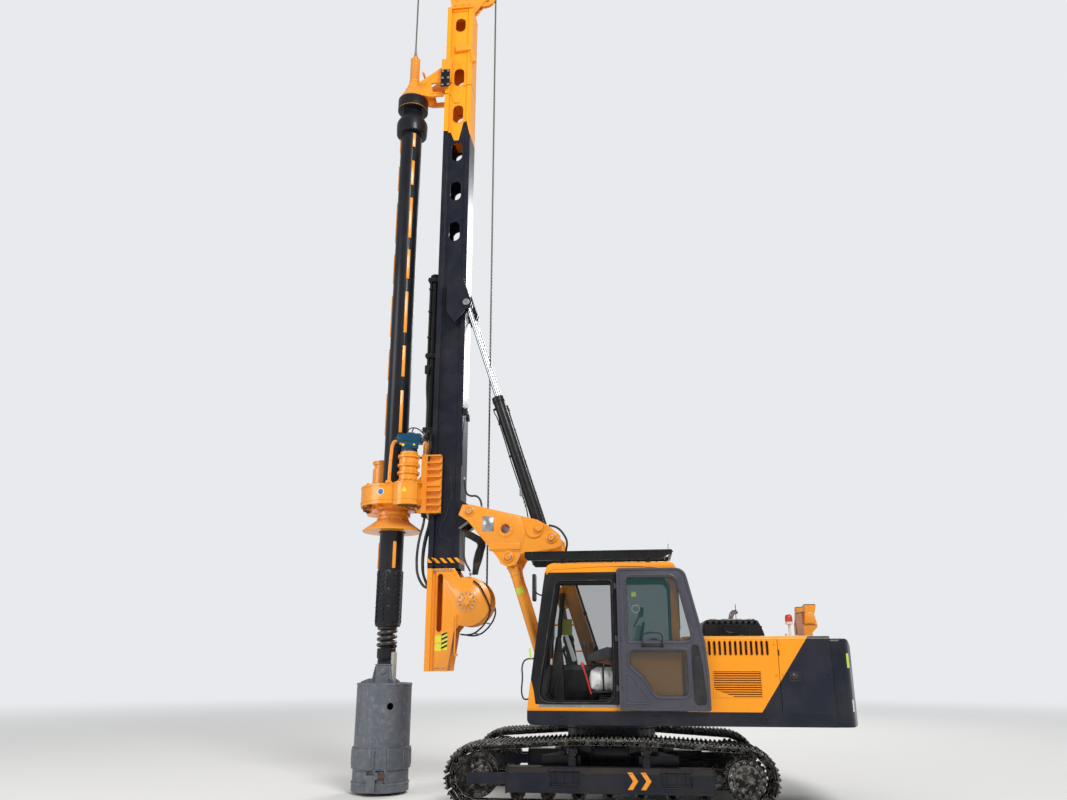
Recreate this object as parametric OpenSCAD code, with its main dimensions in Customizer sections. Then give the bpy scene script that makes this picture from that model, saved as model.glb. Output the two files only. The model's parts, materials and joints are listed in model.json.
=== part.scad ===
// Rotary piling rig on a crawler base, with its mast upright and its bucket on the ground.
// The machine faces -X, its cab is on the -Y side and +Z is up. Lengths are in millimetres.
// Places below are measured from the slewing axis; stand() sets the whole rig about its own middle.

/* [Undercarriage] */
// Length of a track loop over its grousers
track_length = 4100; // [3900:10:4300]
// Width over both tracks
track_width = 2800; // [2760:10:2900]
// Width of one track shoe
shoe_width = 600; // [500:10:620]
// Height of a loop over its end wheel
track_end_height = 790; // [770:2:800]
// Height of the top run over its carrier rollers
track_top = 863; // [850:1:868]
// Length of one shoe along the chain
shoe_pitch = 190; // [170:5:210]
// Height of a grouser bar
grouser_height = 26; // [15:1:30]
// Number of lower rollers on each side
roller_count = 7; // [5:1:8]
// Gap between a side frame's beam and the end wheels
beam_gap = 114; // [90:2:150]

/* [Upper structure] */
// Height of the deck's underside
deck_bottom = 1000; // [985:1:1010]
// Thickness of the deck and its skirt
deck_depth = 165; // [150:1:175]
// Width of the deck
deck_width = 2720; // [2700:2:2740]
// Distance from the slewing axis to the deck's front edge
deck_front = 1000; // [980:5:1030]
// Thickness of the counterweight, from its front face to the middle of its back
tail_depth = 440; // [420:5:460]
// Distance from the slewing axis to the middle of the counterweight's back
tail_radius = 3200; // [3150:5:3240]
// Height of the hood's top
hood_top_z = 2060; // [2040:2:2070]
// Radius of the slewing ring
slew_ring_r = 600; // [560:5:640]

/* [Cab] */
// Height of the cab's roof
cab_roof_z = 3000; // [2980:1:3010]
// Thickness of a cab wall
cab_wall = 45; // [35:1:50]
// Thickness of the cab door
door_thick = 35; // [28:1:38]
// Thickness of a pane of glass
glass_thick = 8; // [5:1:12]

/* [Mast] */
// Depth of the mast from its front face to its back face
mast_depth = 460; // [450:2:464]
// Width of the mast's box
mast_width = 380; // [360:2:390]
// Thickness of the mast's plates
mast_plate = 14; // [10:1:18]
// Height of the mast foot's lower end
mast_bottom = 1616; // [1600:2:1640]
// Height of the joint between the foot and the lower mast
foot_top = 3053; // [3040:1:3066]
// Height of the joint between the lower and the upper mast
mast_split = 10400; // [10360:2:10440]
// Height of the joint between the upper mast and the head
mast_end = 13080; // [13050:2:13110]
// Distance from the mast's front face to the kelly bar's axis
kelly_standoff = 630; // [626:1:640]

/* [Working tool] */
// Outer radius of the kelly bar
kelly_r = 178; // [170:1:180]
// Wall thickness of the kelly bar's outer tube
kelly_wall = 16; // [12:1:20]
// Radius of the drilling bucket
bucket_r = 390; // [360:2:400]
// Wall thickness of the bucket
bucket_wall = 20; // [14:1:25]
// Height of the bucket's top over the ground
bucket_top = 1452; // [1440:1:1460]

/* [Linkage] */
// Length of the luffing links between their pins
link_length = 1974; // [1960:1:1990]
// Forward lean of the luffing links at rest
link_lean = 17.63; // [17.2:0.01:18]
// Radius of a mast cylinder's barrel
mast_barrel_r = 85; // [80:1:88]
// Radius of a mast cylinder's rod
mast_rod_r = 36; // [30:1:42]
// Radius of a luffing cylinder's barrel
luff_barrel_r = 62; // [55:1:66]
// Radius of a luffing cylinder's rod
luff_rod_r = 32; // [28:1:38]

/* [Hidden] */
$fn = 48;
fit = 0.05;             // radial clearance of a pin or a rod in its bore
seat = 0.3;             // gap between pieces that move past each other

// Colours
navy = "#1b2233";
orange = "#ffa21a";
dark = "#26282c";
steel = "#6f747c";
grey = "#6b6b75";

// Undercarriage places
track_y = track_width / 2 - shoe_width / 2;
plate_top = 40;                                  // shoe plate over the chain's pin line
plate_low = 28;
link_low = -48;                                  // rail of the chain below its pin line
link_width = 180;
wheel_pin_r = track_end_height / 2 - plate_top - grouser_height;
wheel_z = track_end_height / 2;
wheel_x = track_length / 2 - track_end_height / 2;
carrier_x = 460;
rail_gap = 0.5;
beam_y0 = track_y - 190;
beam_y1 = track_y + 190;
beam_low = 216;
beam_shoulder = 440;
beam_top = 500;
roller_r = 76;
roller_z = plate_top + grouser_height - link_low + roller_r + rail_gap;
roller_half = 120;
carrier_r = 62;
carrier_z = track_top - plate_top - grouser_height + link_low - carrier_r - 4;
hub_r = 225;

// Upper structure places
deck_top = deck_bottom + deck_depth;
slew_bottom = 930;
hood_front = 985;
panel_thick = 25;
panel_seam = 2120;
seam_gap = 6;
hood_edge = 45;                                  // radius of the hood's long edges
deck_rear = tail_radius - tail_depth;            // counterweight's front face
tail_edge = 150;                                 // radius of the counterweight's lower edge
tail_top_edge = 220;                             // and of its upper one, which stands further forward
tail_lean = 80;
tail_corner = 170;
bay_y = 390;                                     // half the width of the bay between the foot plates
foot_plate = 40;
box_top = deck_top + 315;                        // of the tool box on the right side
rail_h = 820;
rail_tube_r = 17;

// Cab places
cab_y0 = -deck_width / 2 + door_thick + seat;    // outer face of the near wall
cab_y1 = -450;                                   // outer face of the wall beside the mast
cab_front_low = -1007;
cab_front_high = -771;
cab_back = 940;
cab_floor = deck_top;
cab_edge = 60;                                   // radius of the roof's side edges
pillar = 100;
b_pillar_x = 120;
door_hinge_y = -deck_width / 2 - 15;
door_hinge_x = 135;
door_hinge_r = 11;
door_pin_r = 5;
knuckle_h = 70;
knuckle_z = [1400, 2000, 2650];
sill_z = 1245;
header_z = 2780;

// Linkage places, as [x, z] of each pin
link_foot = [-800, 1300];
link_head = link_foot + link_length * [-sin(link_lean), cos(link_lean)];
boom_offset = [624, 266];
boom_foot = link_foot + boom_offset;
boom_head = link_head + boom_offset;
cylinder_foot = link_head + [448, 415];
mast_pin = link_head + [-584, 672];
deltoid_bore = link_head + [-45, 406];
luff_foot = [-450, 1320];
luff_reach = 1150;                               // along the boom to the luffing cylinders' eyes
luff_offset = 160;                               // in front of the boom's axis
boom_dir = [-sin(link_lean), cos(link_lean)];
boom_normal = [-cos(link_lean), -sin(link_lean)];
luff_eye = boom_foot + luff_reach * boom_dir + luff_offset * boom_normal;
plate_y0 = 370;                                  // inner and outer face of a deltoid plate
plate_y1 = 420;
bore_r = 68;                                     // round opening in a deltoid plate
cap_seat = 16;                                   // disc under the cylinder pin's cap
link_y = 270;
link_half = 60;
boom_half = 165;
luff_y = 100;
pin_r = 45;

// Mast places
mast_back = mast_pin[0] - 178;
mast_front = mast_back - mast_depth;
rail_half = 250;                                 // half width over the guide rails
rail_depth = 75;
back_half = 215;
back_depth = 80;
kelly_x = mast_front - kelly_standoff;
ear = [mast_pin[0] - 140, mast_pin[1] + 3370];   // eye of the mast cylinders
winch = [mast_pin[0] - 48, mast_pin[1] - 1273];
drum_r = 240;
drum_half = 190;
drum_flange_r = 290;
plate_r = 350;                                   // of the winch's plates around its axis
hole_z0 = 8588;
hole_pitch = 759;
hole_w = 180;
hole_h = 360;
rear_sheave_pin = [mast_back + 170, 13490];
front_sheave_pin = [kelly_x + 200, 13990];
sheave_r = 225;
sheave_half = 28;

// Drive places
drive_z = 3990;                                  // underside of the gearbox
drive_top = 4290;
gearbox_r = 504;
motor_offset = [330, -430];                      // of a reducer from the kelly's axis
lobe_r = 212;
sleeve_r = 228;
sleeve_bore = 204;
cone_z = 3625;
cone_r = 445;
carriage_low = 3855;
carriage_high = 4740;
crowd_x = mast_front - 100;
crowd_barrel_r = 75;
crowd_rod_r = 38;
crowd_low = 5050;
crowd_high = 7860;
crowd_lug_z = 4850;
crowd_eye_half = crowd_rod_r + 2;

// Kelly places
key_out = 20;
block_low = 2252;
block_high = 3052;
spring_low = 1935;
collar_low = 1790;
stub_half = 65;
skirt_r = 266;
skirt_low = 10391;
skirt_mid = 10744;
guide_low = 10985;
guide_seat = 11110;                              // top of the kelly's neck, under its swivel
neck_r = 168;
swivel_r = 264;
swivel_h = 218;
stem_r = 90;
door_axis_y = bucket_r + 45;                      // hinge of the bucket's floor, on its near side
door_axis_z = 250;
hinge_half = 60;
floor_pin_r = 16;
bucket_floor = 160;
bucket_base = 40;

// Outermost points, which set the origin in the middle of the rig's box
front_reach = -kelly_x + motor_offset[0] + lobe_r;
shift_x = (front_reach - tail_radius) / 2;
grab_out = 46;                                   // of the door's grab bar over its panel
door_out = -door_hinge_y * 2 - deck_width / 2 + door_thick + grab_out;

module stand() { translate([shift_x, 0, 0]) children(); }
module both() { children(); mirror([0, 1, 0]) children(); }

// A side-view outline drawn as [x, z], from y0 to y1
module slab(y0, y1) {
    translate([0, y1, 0]) rotate([90, 0, 0]) linear_extrude(y1 - y0) children();
}

// A round bar along Y at p = [x, z]
module bar_y(p, r, y0, y1) {
    translate([p[0], y0, p[1]]) rotate([-90, 0, 0]) cylinder(h = y1 - y0, r = r);
}

// Puts +Z on the line from p to q, at the height of p and the distance y from the middle
module aim(p, q, y) {
    translate([p[0], y, p[1]]) rotate([0, atan2(q[0] - p[0], q[1] - p[1]), 0]) children();
}

module block(lo, hi) { translate(lo) cube(hi - lo); }
module disc_at(p, r) { translate(p) circle(r = r); }

// A rectangle from lo to hi whose corners have the radius r
module soft_rect(lo, hi, r) {
    translate([lo[0] + r, lo[1]]) square([hi[0] - lo[0] - 2 * r, hi[1] - lo[1]]);
    translate([lo[0], lo[1] + r]) square([hi[0] - lo[0], hi[1] - lo[1] - 2 * r]);
    for (x = [lo[0] + r, hi[0] - r], z = [lo[1] + r, hi[1] - r]) disc_at([x, z], r);
}

// A front-view outline drawn as [y, z], from x0 to x1
module run_x(x0, x1) {
    translate([x0, 0, 0]) rotate([90, 0, 90]) linear_extrude(x1 - x0) children();
}
function span(p, q) = norm(q - p);

// Track path: the chain's pin line, as points around the loop from the front wheel's lowest one
function arc_points(c, r, a0, a1, n) = [for (i = [0 : n]) let (a = a0 + (a1 - a0) * i / n)
    c + r * [cos(a), sin(a)]];
carrier_line = track_top - plate_top - grouser_height;
path = concat(arc_points([wheel_x, wheel_z], wheel_pin_r, -90, 88, 24),
    [[carrier_x, carrier_line], [-carrier_x, carrier_line]],
    arc_points([-wheel_x, wheel_z], wheel_pin_r, 92, 270, 24));
function path_at(i) = path[i % len(path)];
function lengths(i = 0, sum = 0) = i == len(path) ? [sum] :
    concat([sum], lengths(i + 1, sum + span(path_at(i), path_at(i + 1))));
marks = lengths();
loop_length = marks[len(path)];
shoe_count = round(loop_length / shoe_pitch);
function segment(s, i = 0) = s < marks[i + 1] ? i : segment(s, i + 1);
function along(s) = let (w = s % loop_length, i = segment(w), t = (w - marks[i]) / (marks[i + 1] - marks[i]))
    path_at(i) + t * (path_at(i + 1) - path_at(i));
chord = loop_length / shoe_count;
rail_r = sqrt(pow(wheel_pin_r, 2) - pow(chord / 2, 2)) + link_low;   // tread radius of the end wheels
joints = [for (k = [0 : shoe_count - 1]) along(loop_length * k / shoe_count)];
beam_length = 2 * (wheel_x - rail_r - beam_gap);

// One shoe's outline, as [share of the pitch, height over the pin line]
shoe_outline = [[0.03, plate_low], [0.05, plate_top], [0.12, plate_top + grouser_height],
    [0.19, plate_top + grouser_height], [0.24, plate_top], [0.42, plate_top],
    [0.46, plate_top + grouser_height], [0.53, plate_top + grouser_height], [0.57, plate_top],
    [0.75, plate_top], [0.80, plate_top + grouser_height], [0.87, plate_top + grouser_height],
    [0.93, plate_top], [0.97, plate_low]];

module ring_outline(outline) {
    polygon([for (k = [0 : shoe_count - 1]) let (a = joints[k], b = joints[(k + 1) % shoe_count],
        d = (b - a) / span(a, b), n = [d[1], -d[0]])
        for (p = outline) a + p[0] * (b - a) + p[1] * n]);
}

module track_loops() {
    color(dark) both() {
        slab(track_y - shoe_width / 2, track_y + shoe_width / 2) difference() {
            ring_outline(shoe_outline);
            ring_outline([[0.03, plate_low - 14], [0.97, plate_low - 14]]);
        }
        slab(track_y - link_width / 2, track_y + link_width / 2) difference() {
            ring_outline([[0.03, plate_low - 6], [0.97, plate_low - 6]]);
            ring_outline([[0.12, link_low], [0.88, link_low]]);
        }
    }
}

module beam_section() {
    polygon([[beam_y0, beam_low], [beam_y0, beam_shoulder], [track_y - 90, beam_top],
        [track_y + 90, beam_top], [beam_y1, beam_shoulder], [beam_y1, beam_low],
        [track_y + roller_half, beam_low], [track_y + roller_half, beam_low + 90],
        [track_y - roller_half, beam_low + 90], [track_y - roller_half, beam_low]]);
}

module track_frames() {
    step_w = 360;
    step_depth = 40;
    step_z = [300, 485];
    yoke = 45;
    color(navy) both() {
        difference() {
            union() {
                translate([-beam_length / 2, 0, 0]) rotate([90, 0, 90])
                    linear_extrude(beam_length) beam_section();
                for (x = [-carrier_x, carrier_x])
                    block([x - 45, track_y - 60, beam_top - 5], [x + 45, track_y + 60, carrier_z - carrier_r - 12]);
            }
            for (x = [-545, 820])
                block([x - step_w / 2, beam_y1 - step_depth, step_z[0]],
                    [x + step_w / 2, beam_y1 + 1, step_z[1]]);
        }
        for (y = [track_y - roller_half - yoke, track_y + roller_half])
            block([-wheel_x - 120, y, wheel_z - 90], [-beam_length / 2, y + yoke, wheel_z + 40]);
        for (x = [-carrier_x, carrier_x], y = [track_y - 60, track_y + 46])
            block([x - 30, y, carrier_z - carrier_r - 12], [x + 30, y + 14, carrier_z + 25]);
    }
}

module idlers() {
    color(dark) both() {
        difference() {
            bar_y([-wheel_x, wheel_z], rail_r - rail_gap, track_y - 80, track_y + 80);
            for (y = [track_y - 81, track_y + 51])
                bar_y([-wheel_x, wheel_z], rail_r - 75, y, y + 30);
        }
        bar_y([-wheel_x, wheel_z], 70, track_y - roller_half, track_y - 51);
        bar_y([-wheel_x, wheel_z], 70, track_y + 51, track_y + roller_half);
    }
}

module sprocket_outline() {
    teeth = 21;
    root = rail_r - 26;
    polygon([for (i = [0 : teeth - 1], p = [[0, root], [0.3, root], [0.45, rail_r - rail_gap],
        [0.85, rail_r - rail_gap]]) let (a = 360 * (i + p[0]) / teeth)
        [wheel_x + p[1] * cos(a), wheel_z + p[1] * sin(a)]]);
}

module sprockets() {
    color(dark) both() {
        slab(track_y - 40, track_y + 40) sprocket_outline();
        bar_y([wheel_x, wheel_z], hub_r, track_y + 40, track_y + 165);
        bar_y([wheel_x, wheel_z], hub_r * 0.72, track_y + 165, track_y + 195);
        bar_y([wheel_x, wheel_z], hub_r, track_y - 230, track_y - 40);
        block([beam_length / 2, track_y - 190, wheel_z - 130], [wheel_x - 100, track_y - 60, wheel_z + 90]);
    }
}

module track_rollers() {
    spacing = (beam_length - 260) / (roller_count - 1);
    color(dark) both() {
        for (i = [0 : roller_count - 1]) {
            x = -beam_length / 2 + 130 + spacing * i;
            bar_y([x, roller_z], roller_r, track_y - link_width / 2, track_y + link_width / 2);
            bar_y([x, roller_z], 34, track_y - roller_half, track_y + roller_half);
        }
        for (x = [-carrier_x, carrier_x])
            bar_y([x, carrier_z], carrier_r, track_y - 46 + seat, track_y + 46 - seat);
    }
}

module car_body() {
    arm = 250;
    reach = beam_y0;
    color(navy) {
        difference() {
            union() {
                translate([0, 0, 430]) linear_extrude(330) polygon([[-620, -430], [-430, -620],
                    [430, -620], [620, -430], [620, 430], [430, 620], [-430, 620], [-620, 430]]);
                for (sx = [-1, 1], sy = [-1, 1]) translate([0, 0, 360]) linear_extrude(250) polygon([
                    [sx * 600, sy * 250], [sx * (620 + arm), sy * reach],
                    [sx * (620 - arm), sy * reach], [sx * 250, sy * 600]]);
            }
            for (sx = [-1, 1]) translate([sx * 560, 0, 500]) rotate([90, 0, 0])
                cylinder(h = 400, r = 130, center = true);
        }
        translate([0, 0, 760]) difference() {
            cylinder(h = slew_bottom - 760, r = slew_ring_r);
            translate([0, 0, -1]) cylinder(h = slew_bottom, r = slew_ring_r - 110);
        }
        // Towing lugs at both ends
        for (sx = [-1, 1]) difference() {
            block([sx * 640 - 60, -30, 470], [sx * 640 + 60, 30, 640]);
            bar_y([sx * 660, 555], 32, -31, 31);
        }
    }
}

// Deck with its slewing ring and pockets underneath
module deck() {
    half = deck_width / 2;
    pocket_z = deck_bottom + 110;
    color(navy) {
        difference() {
            union() {
                block([-deck_front, -half, deck_bottom], [deck_rear, half, deck_top]);
                translate([0, 0, slew_bottom + seat]) cylinder(h = deck_bottom - slew_bottom, r = slew_ring_r);
            }
            translate([0, 0, slew_bottom]) cylinder(h = 100, r = slew_ring_r - 110);
            for (x = [[-860, -650], [700, 1260], [1340, 1980], [2060, deck_rear - 120]], y = [-1250, -250, 430]) {
                block([x[0], y, deck_bottom - 1], [x[1], y + (y == -250 ? 500 : 820), pocket_z]);
            }
            // Rounded front corner below the cab
            both() translate([-deck_front, -half - 1, deck_bottom]) rotate([-90, 0, 0]) difference() {
                translate([-1, -70, 0]) cube([71, 71, 2 * half / 5]);
                translate([70, -70, -1]) cylinder(h = 2 * half, r = 70);
            }
        }
    }
}

// Plates on the deck that carry the linkage
module linkage_foot() {
    color(navy) {
        both() slab(bay_y - foot_plate, bay_y) difference() {
            polygon([[-940, deck_top], [-900, 1310], [-830, 1390], [-740, 1390], [-640, 1330],
                [-420, 1440], [-250, 1650], [-110, 1655], [40, 1500], [420, deck_top]]);
            disc_at(link_foot, pin_r);
            disc_at(boom_foot, pin_r);
            disc_at(luff_foot, pin_r);
        }
        // Pins through the foot plates, and a middle lug for the luffing cylinders
        for (p = [link_foot, boom_foot, luff_foot]) difference() {
            bar_y(p, pin_r, -bay_y - 25, bay_y + 25);
            if (p == link_foot) bar_y(p, pin_r + 1, -190, 190);
        }
        slab(-18, 18) difference() {
            polygon([[-620, deck_top], [-500, 1370], [-400, 1370], [-280, deck_top]]);
            disc_at(luff_foot, pin_r);
        }
    }
}

// Side view of the cab, drawn in from its skin by d
module cab_outline(d) {
    polygon([[cab_front_low + d, cab_floor + d], [cab_front_high + d, cab_roof_z - 110],
        [cab_front_high + 30 + d, cab_roof_z - 40 - d / 2], [cab_front_high + 100 + d, cab_roof_z - d],
        [cab_back - 110 - d, cab_roof_z - d], [cab_back - 40 - d, cab_roof_z - 30 - d / 2],
        [cab_back - d, cab_roof_z - 120], [cab_back - d, cab_floor + d]]);
}

function front_x(z) = cab_front_low + (cab_front_high - cab_front_low) * (z - cab_floor) /
    (cab_roof_z - 110 - cab_floor);

module door_opening() {
    polygon([[front_x(sill_z) + pillar, sill_z], [front_x(header_z) + pillar + 30, header_z - 60],
        [front_x(header_z) + pillar + 90, header_z], [b_pillar_x, header_z], [b_pillar_x, sill_z]]);
}

module quarter_opening() {
    polygon([[260, 1990], [260, 2790], [770, 2790], [840, 2700], [840, 1990]]);
}

module far_opening() {
    polygon([[front_x(1700) + 110, 1700], [front_x(2780) + 130, 2780], [780, 2780], [840, 2700],
        [840, 1900], [200, 1700]]);
}

module front_pane(grow) {
    for (z = [[1560, 2760], [1270, 1500]])
        block([-1200, cab_y0 + 90, z[0]], [-500 + grow, cab_y1 - 90, z[1]]);
}

module cab_shell() {
    color(orange) difference() {
        intersection() {
            slab(cab_y0, cab_y1) cab_outline(0);
            run_x(-1500, cab_back + 10) soft_rect([cab_y0, cab_floor - 500], [cab_y1, cab_roof_z], cab_edge);
        }
        intersection() {
            slab(cab_y0 + cab_wall, cab_y1 - cab_wall) cab_outline(cab_wall);
            run_x(-1500, cab_back + 10) soft_rect([cab_y0 + cab_wall, cab_floor - 500],
                [cab_y1 - cab_wall, cab_roof_z - cab_wall], cab_edge - cab_wall / 2);
        }
        slab(cab_y0 - 1, cab_y0 + cab_wall + 1) { door_opening(); quarter_opening(); }
        slab(cab_y1 - cab_wall - 1, cab_y1 + 1) far_opening();
        front_pane(0);
        block([cab_back - 100, cab_y0 + 110, 2150], [cab_back + 10, cab_y1 - 110, 2760]);
    }
    // Hinge brackets and pins of the door
    color(dark) for (z = knuckle_z) translate([door_hinge_x, door_hinge_y, z]) {
        for (h = [-14, knuckle_h + seat]) block([-10, -9, h], [10, cab_y0 - door_hinge_y + 2, h + 14 - seat]);
        translate([0, 0, -14]) cylinder(h = knuckle_h + 28, r = door_pin_r);
    }
}

module cab_glass() {
    mid = cab_wall / 2;
    h = glass_thick / 2;
    color("#7fa7a2", 0.5) {
        slab(cab_y0 + mid - h, cab_y0 + mid + h) quarter_opening();
        slab(cab_y1 - mid - h, cab_y1 - mid + h) far_opening();
        intersection() {
            front_pane(0);
            slab(cab_y0 + 90, cab_y1 - 90) difference() {
                cab_outline(mid - h);
                cab_outline(mid + h);
            }
        }
        block([cab_back - mid - h, cab_y0 + 110, 2150], [cab_back - mid + h, cab_y1 - 110, 2760]);
    }
}

// Door, folded right back against the cab; it closes about its hinge on the middle pillar
module door_outline(d) {
    polygon([[door_hinge_x + 25 + d, cab_floor + 12 + d], [door_hinge_x + 25 + d, 2905 - d],
        [900 - d, 2905 - d], [965 - d, 2850 - d / 2], [1180 - d, 2000], [1260 - d, 1600],
        [1260 - d, cab_floor + 12 + d]]);
}

door_y1 = 2 * door_hinge_y + deck_width / 2;
door_y0 = door_y1 - door_thick;
module door_windows() {
    polygon([[290, 2010], [290, 2790], [900, 2790], [1080, 2010]]);
    polygon([[300, 1890], [300, 1730], [650, 1350], [1020, 1350], [1060, 1400], [1060, 1890]]);
}

module cab_door() {
    color(grey) {
        difference() {
            slab(door_y0, door_y1) door_outline(0);
            slab(door_y0 - 1, door_y1 + 1) door_windows();
        }
        // Hinge knuckles and their straps
        for (z = knuckle_z) translate([door_hinge_x, door_hinge_y, z]) difference() {
            union() {
                cylinder(h = knuckle_h, r = door_hinge_r);
                block([0, door_y1 - door_hinge_y - 10, 0], [45, 0, knuckle_h]);
            }
            translate([0, 0, -1]) cylinder(h = knuckle_h + 2, r = door_pin_r + fit);
            block([26, door_y1 - door_hinge_y, -1], [46, 1, knuckle_h + 1]);
        }
        // Grab bar across the door
        for (x = [460, 700]) block([x, door_y0 - 30, 1930], [x + 16, door_y0, 1946]);
        block([460, door_y0 - grab_out, 1930], [716, door_y0 - 30, 1946]);
    }
}

module door_glass() {
    mid = (door_y0 + door_y1) / 2;
    color("#7fa7a2", 0.5) slab(mid - glass_thick / 2, mid + glass_thick / 2) door_windows();
}

module roof_guard() {
    z0 = cab_roof_z + 28;
    z1 = cab_roof_z + 151;
    y1 = cab_y1 + 20;
    color(dark) {
        for (y = [cab_y0 - 5, y1 - 40]) slab(y, y + 40)
            polygon([[-1043, z0 + 40], [-1043, z1 - 8], [880, z1], [906, z1 - 30], [740, z0], [-1000, z0]]);
        for (x = [-1030, 860]) block([x, cab_y0 + 35, z1 - 60], [x + 30, y1 - 40, z1 - 15]);
        for (x = [-880 : 120 : 800]) block([x, cab_y0 + 35, z1 - 55], [x + 20, y1 - 40, z1 - 20]);
        for (x = [-560, 560], y = [cab_y0 + 5, y1 - 110])
            block([x, y, cab_roof_z], [x + 40, y + 105, z0]);
    }
}

module seat() {
    color(dark) {
        block([-150, -1130, cab_floor + cab_wall], [350, -640, 1460]);
        translate([0, 0, 1460]) linear_extrude(140) polygon([[-230, -1140], [-230, -620],
            [330, -620], [330, -1140]]);
        slab(-1120, -650) polygon([[250, 1600], [330, 1600], [480, 2250], [400, 2280]]);
        slab(-1000, -780) polygon([[420, 2300], [490, 2300], [520, 2460], [450, 2470]]);
        slab(-900, -860) polygon([[400, 2260], [460, 2260], [480, 2320], [430, 2320]]);
    }
}

module controls() {
    color(dark) {
        for (y = [-1250, -600]) {
            block([-260, y, cab_floor + cab_wall], [120, y + 100, 1740]);
            translate([-200, y + 50, 1739]) cylinder(h = 180, r = 16);
            translate([-200, y + 50, 1900]) sphere(r = 36);
        }
        // Pedals and travel levers
        for (y = [-960, -820]) {
            block([-760, y, cab_floor + cab_wall], [-600, y + 70, 1250]);
            translate([-680, y + 35, 1249]) cylinder(h = 430, r = 12);
        }
        // Display on its column, beside the front pillar
        block([-780, -570, cab_floor + cab_wall], [-700, -510, 1800]);
        block([-790, -700, 1800], [-700, -510, 2050]);
    }
}

module slot_outline(p, w, h) {
    translate(p) {
        square([w, h - w], center = true);
        for (s = [-1, 1]) translate([0, s * (h - w) / 2]) circle(d = w);
    }
}

module side_panels() {
    half = deck_width / 2;
    y0 = half - panel_thick;
    slots = 12;
    panel_top = hood_top_z - hood_edge - seat;
    slot_pitch = 64;
    louvre = [1323, 1893, 1341, 1640];
    color(orange) both() {
        slab(y0, half) difference() {
            polygon([[hood_front, deck_top], [hood_front, panel_top],
                [panel_seam - seam_gap / 2, panel_top], [panel_seam - seam_gap / 2, deck_top]]);
            for (i = [0 : slots - 1]) slot_outline([1290 + slot_pitch * i, 1915], 30, 170);
            translate([louvre[0], louvre[2]]) square([louvre[1] - louvre[0], louvre[3] - louvre[2]]);
        }
        for (i = [0 : 10]) slab(y0 + 6, half - 6)
            translate([louvre[0], louvre[2] + 8 + 27 * i]) square([louvre[1] - louvre[0], 12]);
        slab(y0, half) polygon([[panel_seam + seam_gap / 2, deck_top], [panel_seam + seam_gap / 2, panel_top],
            [deck_rear - seam_gap, panel_top], [deck_rear - seam_gap, deck_top]]);
    }
}

module hood() {
    half = deck_width / 2;
    t = panel_thick;
    color(orange) {
        run_x(hood_front, deck_rear - seam_gap) difference() {
            soft_rect([-half, deck_top], [half, hood_top_z], hood_edge);
            soft_rect([-half + t, deck_top - 100], [half - t, hood_top_z - t], hood_edge - t);
            translate([-half - 1, deck_top - 1]) square([2 * half + 2, hood_top_z - hood_edge - deck_top + 1]);
        }
        block([hood_front, -half + t, deck_top], [hood_front + t, half - t, hood_top_z - t]);
        block([panel_seam - 12, -half + t, deck_top], [panel_seam + 12, half - t, deck_top + 300]);
    }
}

module engine_cover() {
    x0 = 1227;
    x1 = x0 + 788;
    h = 215;
    y = [-1120, 420];
    holes = 9;
    color(dark) difference() {
        intersection() {
            slab(y[0], y[1]) polygon([[x0, hood_top_z], [x0 + 15, hood_top_z + h - 70], [x0 + 60, hood_top_z + h - 12],
                [x0 + 110, hood_top_z + h], [x1 - 130, hood_top_z + h], [x1 - 75, hood_top_z + h - 20],
                [x1 - 20, hood_top_z + 70], [x1, hood_top_z]]);
            run_x(x0 - 1, x1 + 1) soft_rect([y[0], hood_top_z - 100], [y[1], hood_top_z + h], 60);
        }
        for (i = [0 : holes - 1]) bar_y([x0 + 80 + 74 * i, hood_top_z + h - 48], 20, y[0] - 1, y[0] + 40);
    }
}

module engine_block() {
    color(steel) block([1250, -480, deck_top], [panel_seam - 60, 430, hood_top_z - 100]);
}

// Plan of the counterweight: a shallow arc at the back between rounded corners
module tail_plan(half) {
    sag = tail_radius - deck_rear - 190;
    arc_r = (half * half + sag * sag) / (2 * sag);
    o = [tail_radius - arc_r, 0];
    y = half - tail_corner;
    c = o + [sqrt(pow(arc_r - tail_corner, 2) - y * y), 0];
    a = atan2(y, c[0] - o[0]);
    polygon(concat([[deck_rear, -half]], arc_points(c - [0, y], tail_corner, -90, -a, 5),
        arc_points(o, arc_r, -a * 0.75, a * 0.75, 6), arc_points(c + [0, y], tail_corner, a, 90, 5),
        [[deck_rear, half]]));
}

// Side view of the counterweight: its back leans out to a rounded lower edge
module tail_side(top) {
    polygon(concat([[deck_rear - 500, deck_bottom]],
        arc_points([tail_radius - tail_edge, deck_bottom + tail_edge], tail_edge, -90, 0, 6),
        arc_points([tail_radius - tail_lean - tail_top_edge, top - tail_top_edge], tail_top_edge, 6, 90, 8),
        [[deck_rear - 500, top]]));
}

module counterweight() {
    half = deck_width / 2 - 20;
    top = hood_top_z - 30;
    lug_x = deck_rear + 150;
    lug_y = 900;
    lug_room = 150;                              // of a pocket beside its lug, for the shackle's pin
    color(navy) {
        difference() {
            intersection() {
                translate([0, 0, deck_bottom]) linear_extrude(top - deck_bottom) tail_plan(half);
                slab(-half, half) tail_side(top);
                run_x(deck_rear, tail_radius) soft_rect([-half, deck_bottom - 500], [half, top], hood_edge);
            }
            for (k = [-1, 1]) block([lug_x - 75, k * lug_y - lug_room, top - 200], [lug_x + 75, k * lug_y + lug_room, top + 1]);
        }
        // Lifting lugs in the two pockets
        for (k = [-1, 1]) translate([0, k * lug_y, 0]) difference() {
            slab(-15, 15) translate([lug_x - 45, top - 200]) square([90, 150]);
            bar_y([lug_x, top - 100], 30, -16, 16);
        }
    }
}

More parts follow.
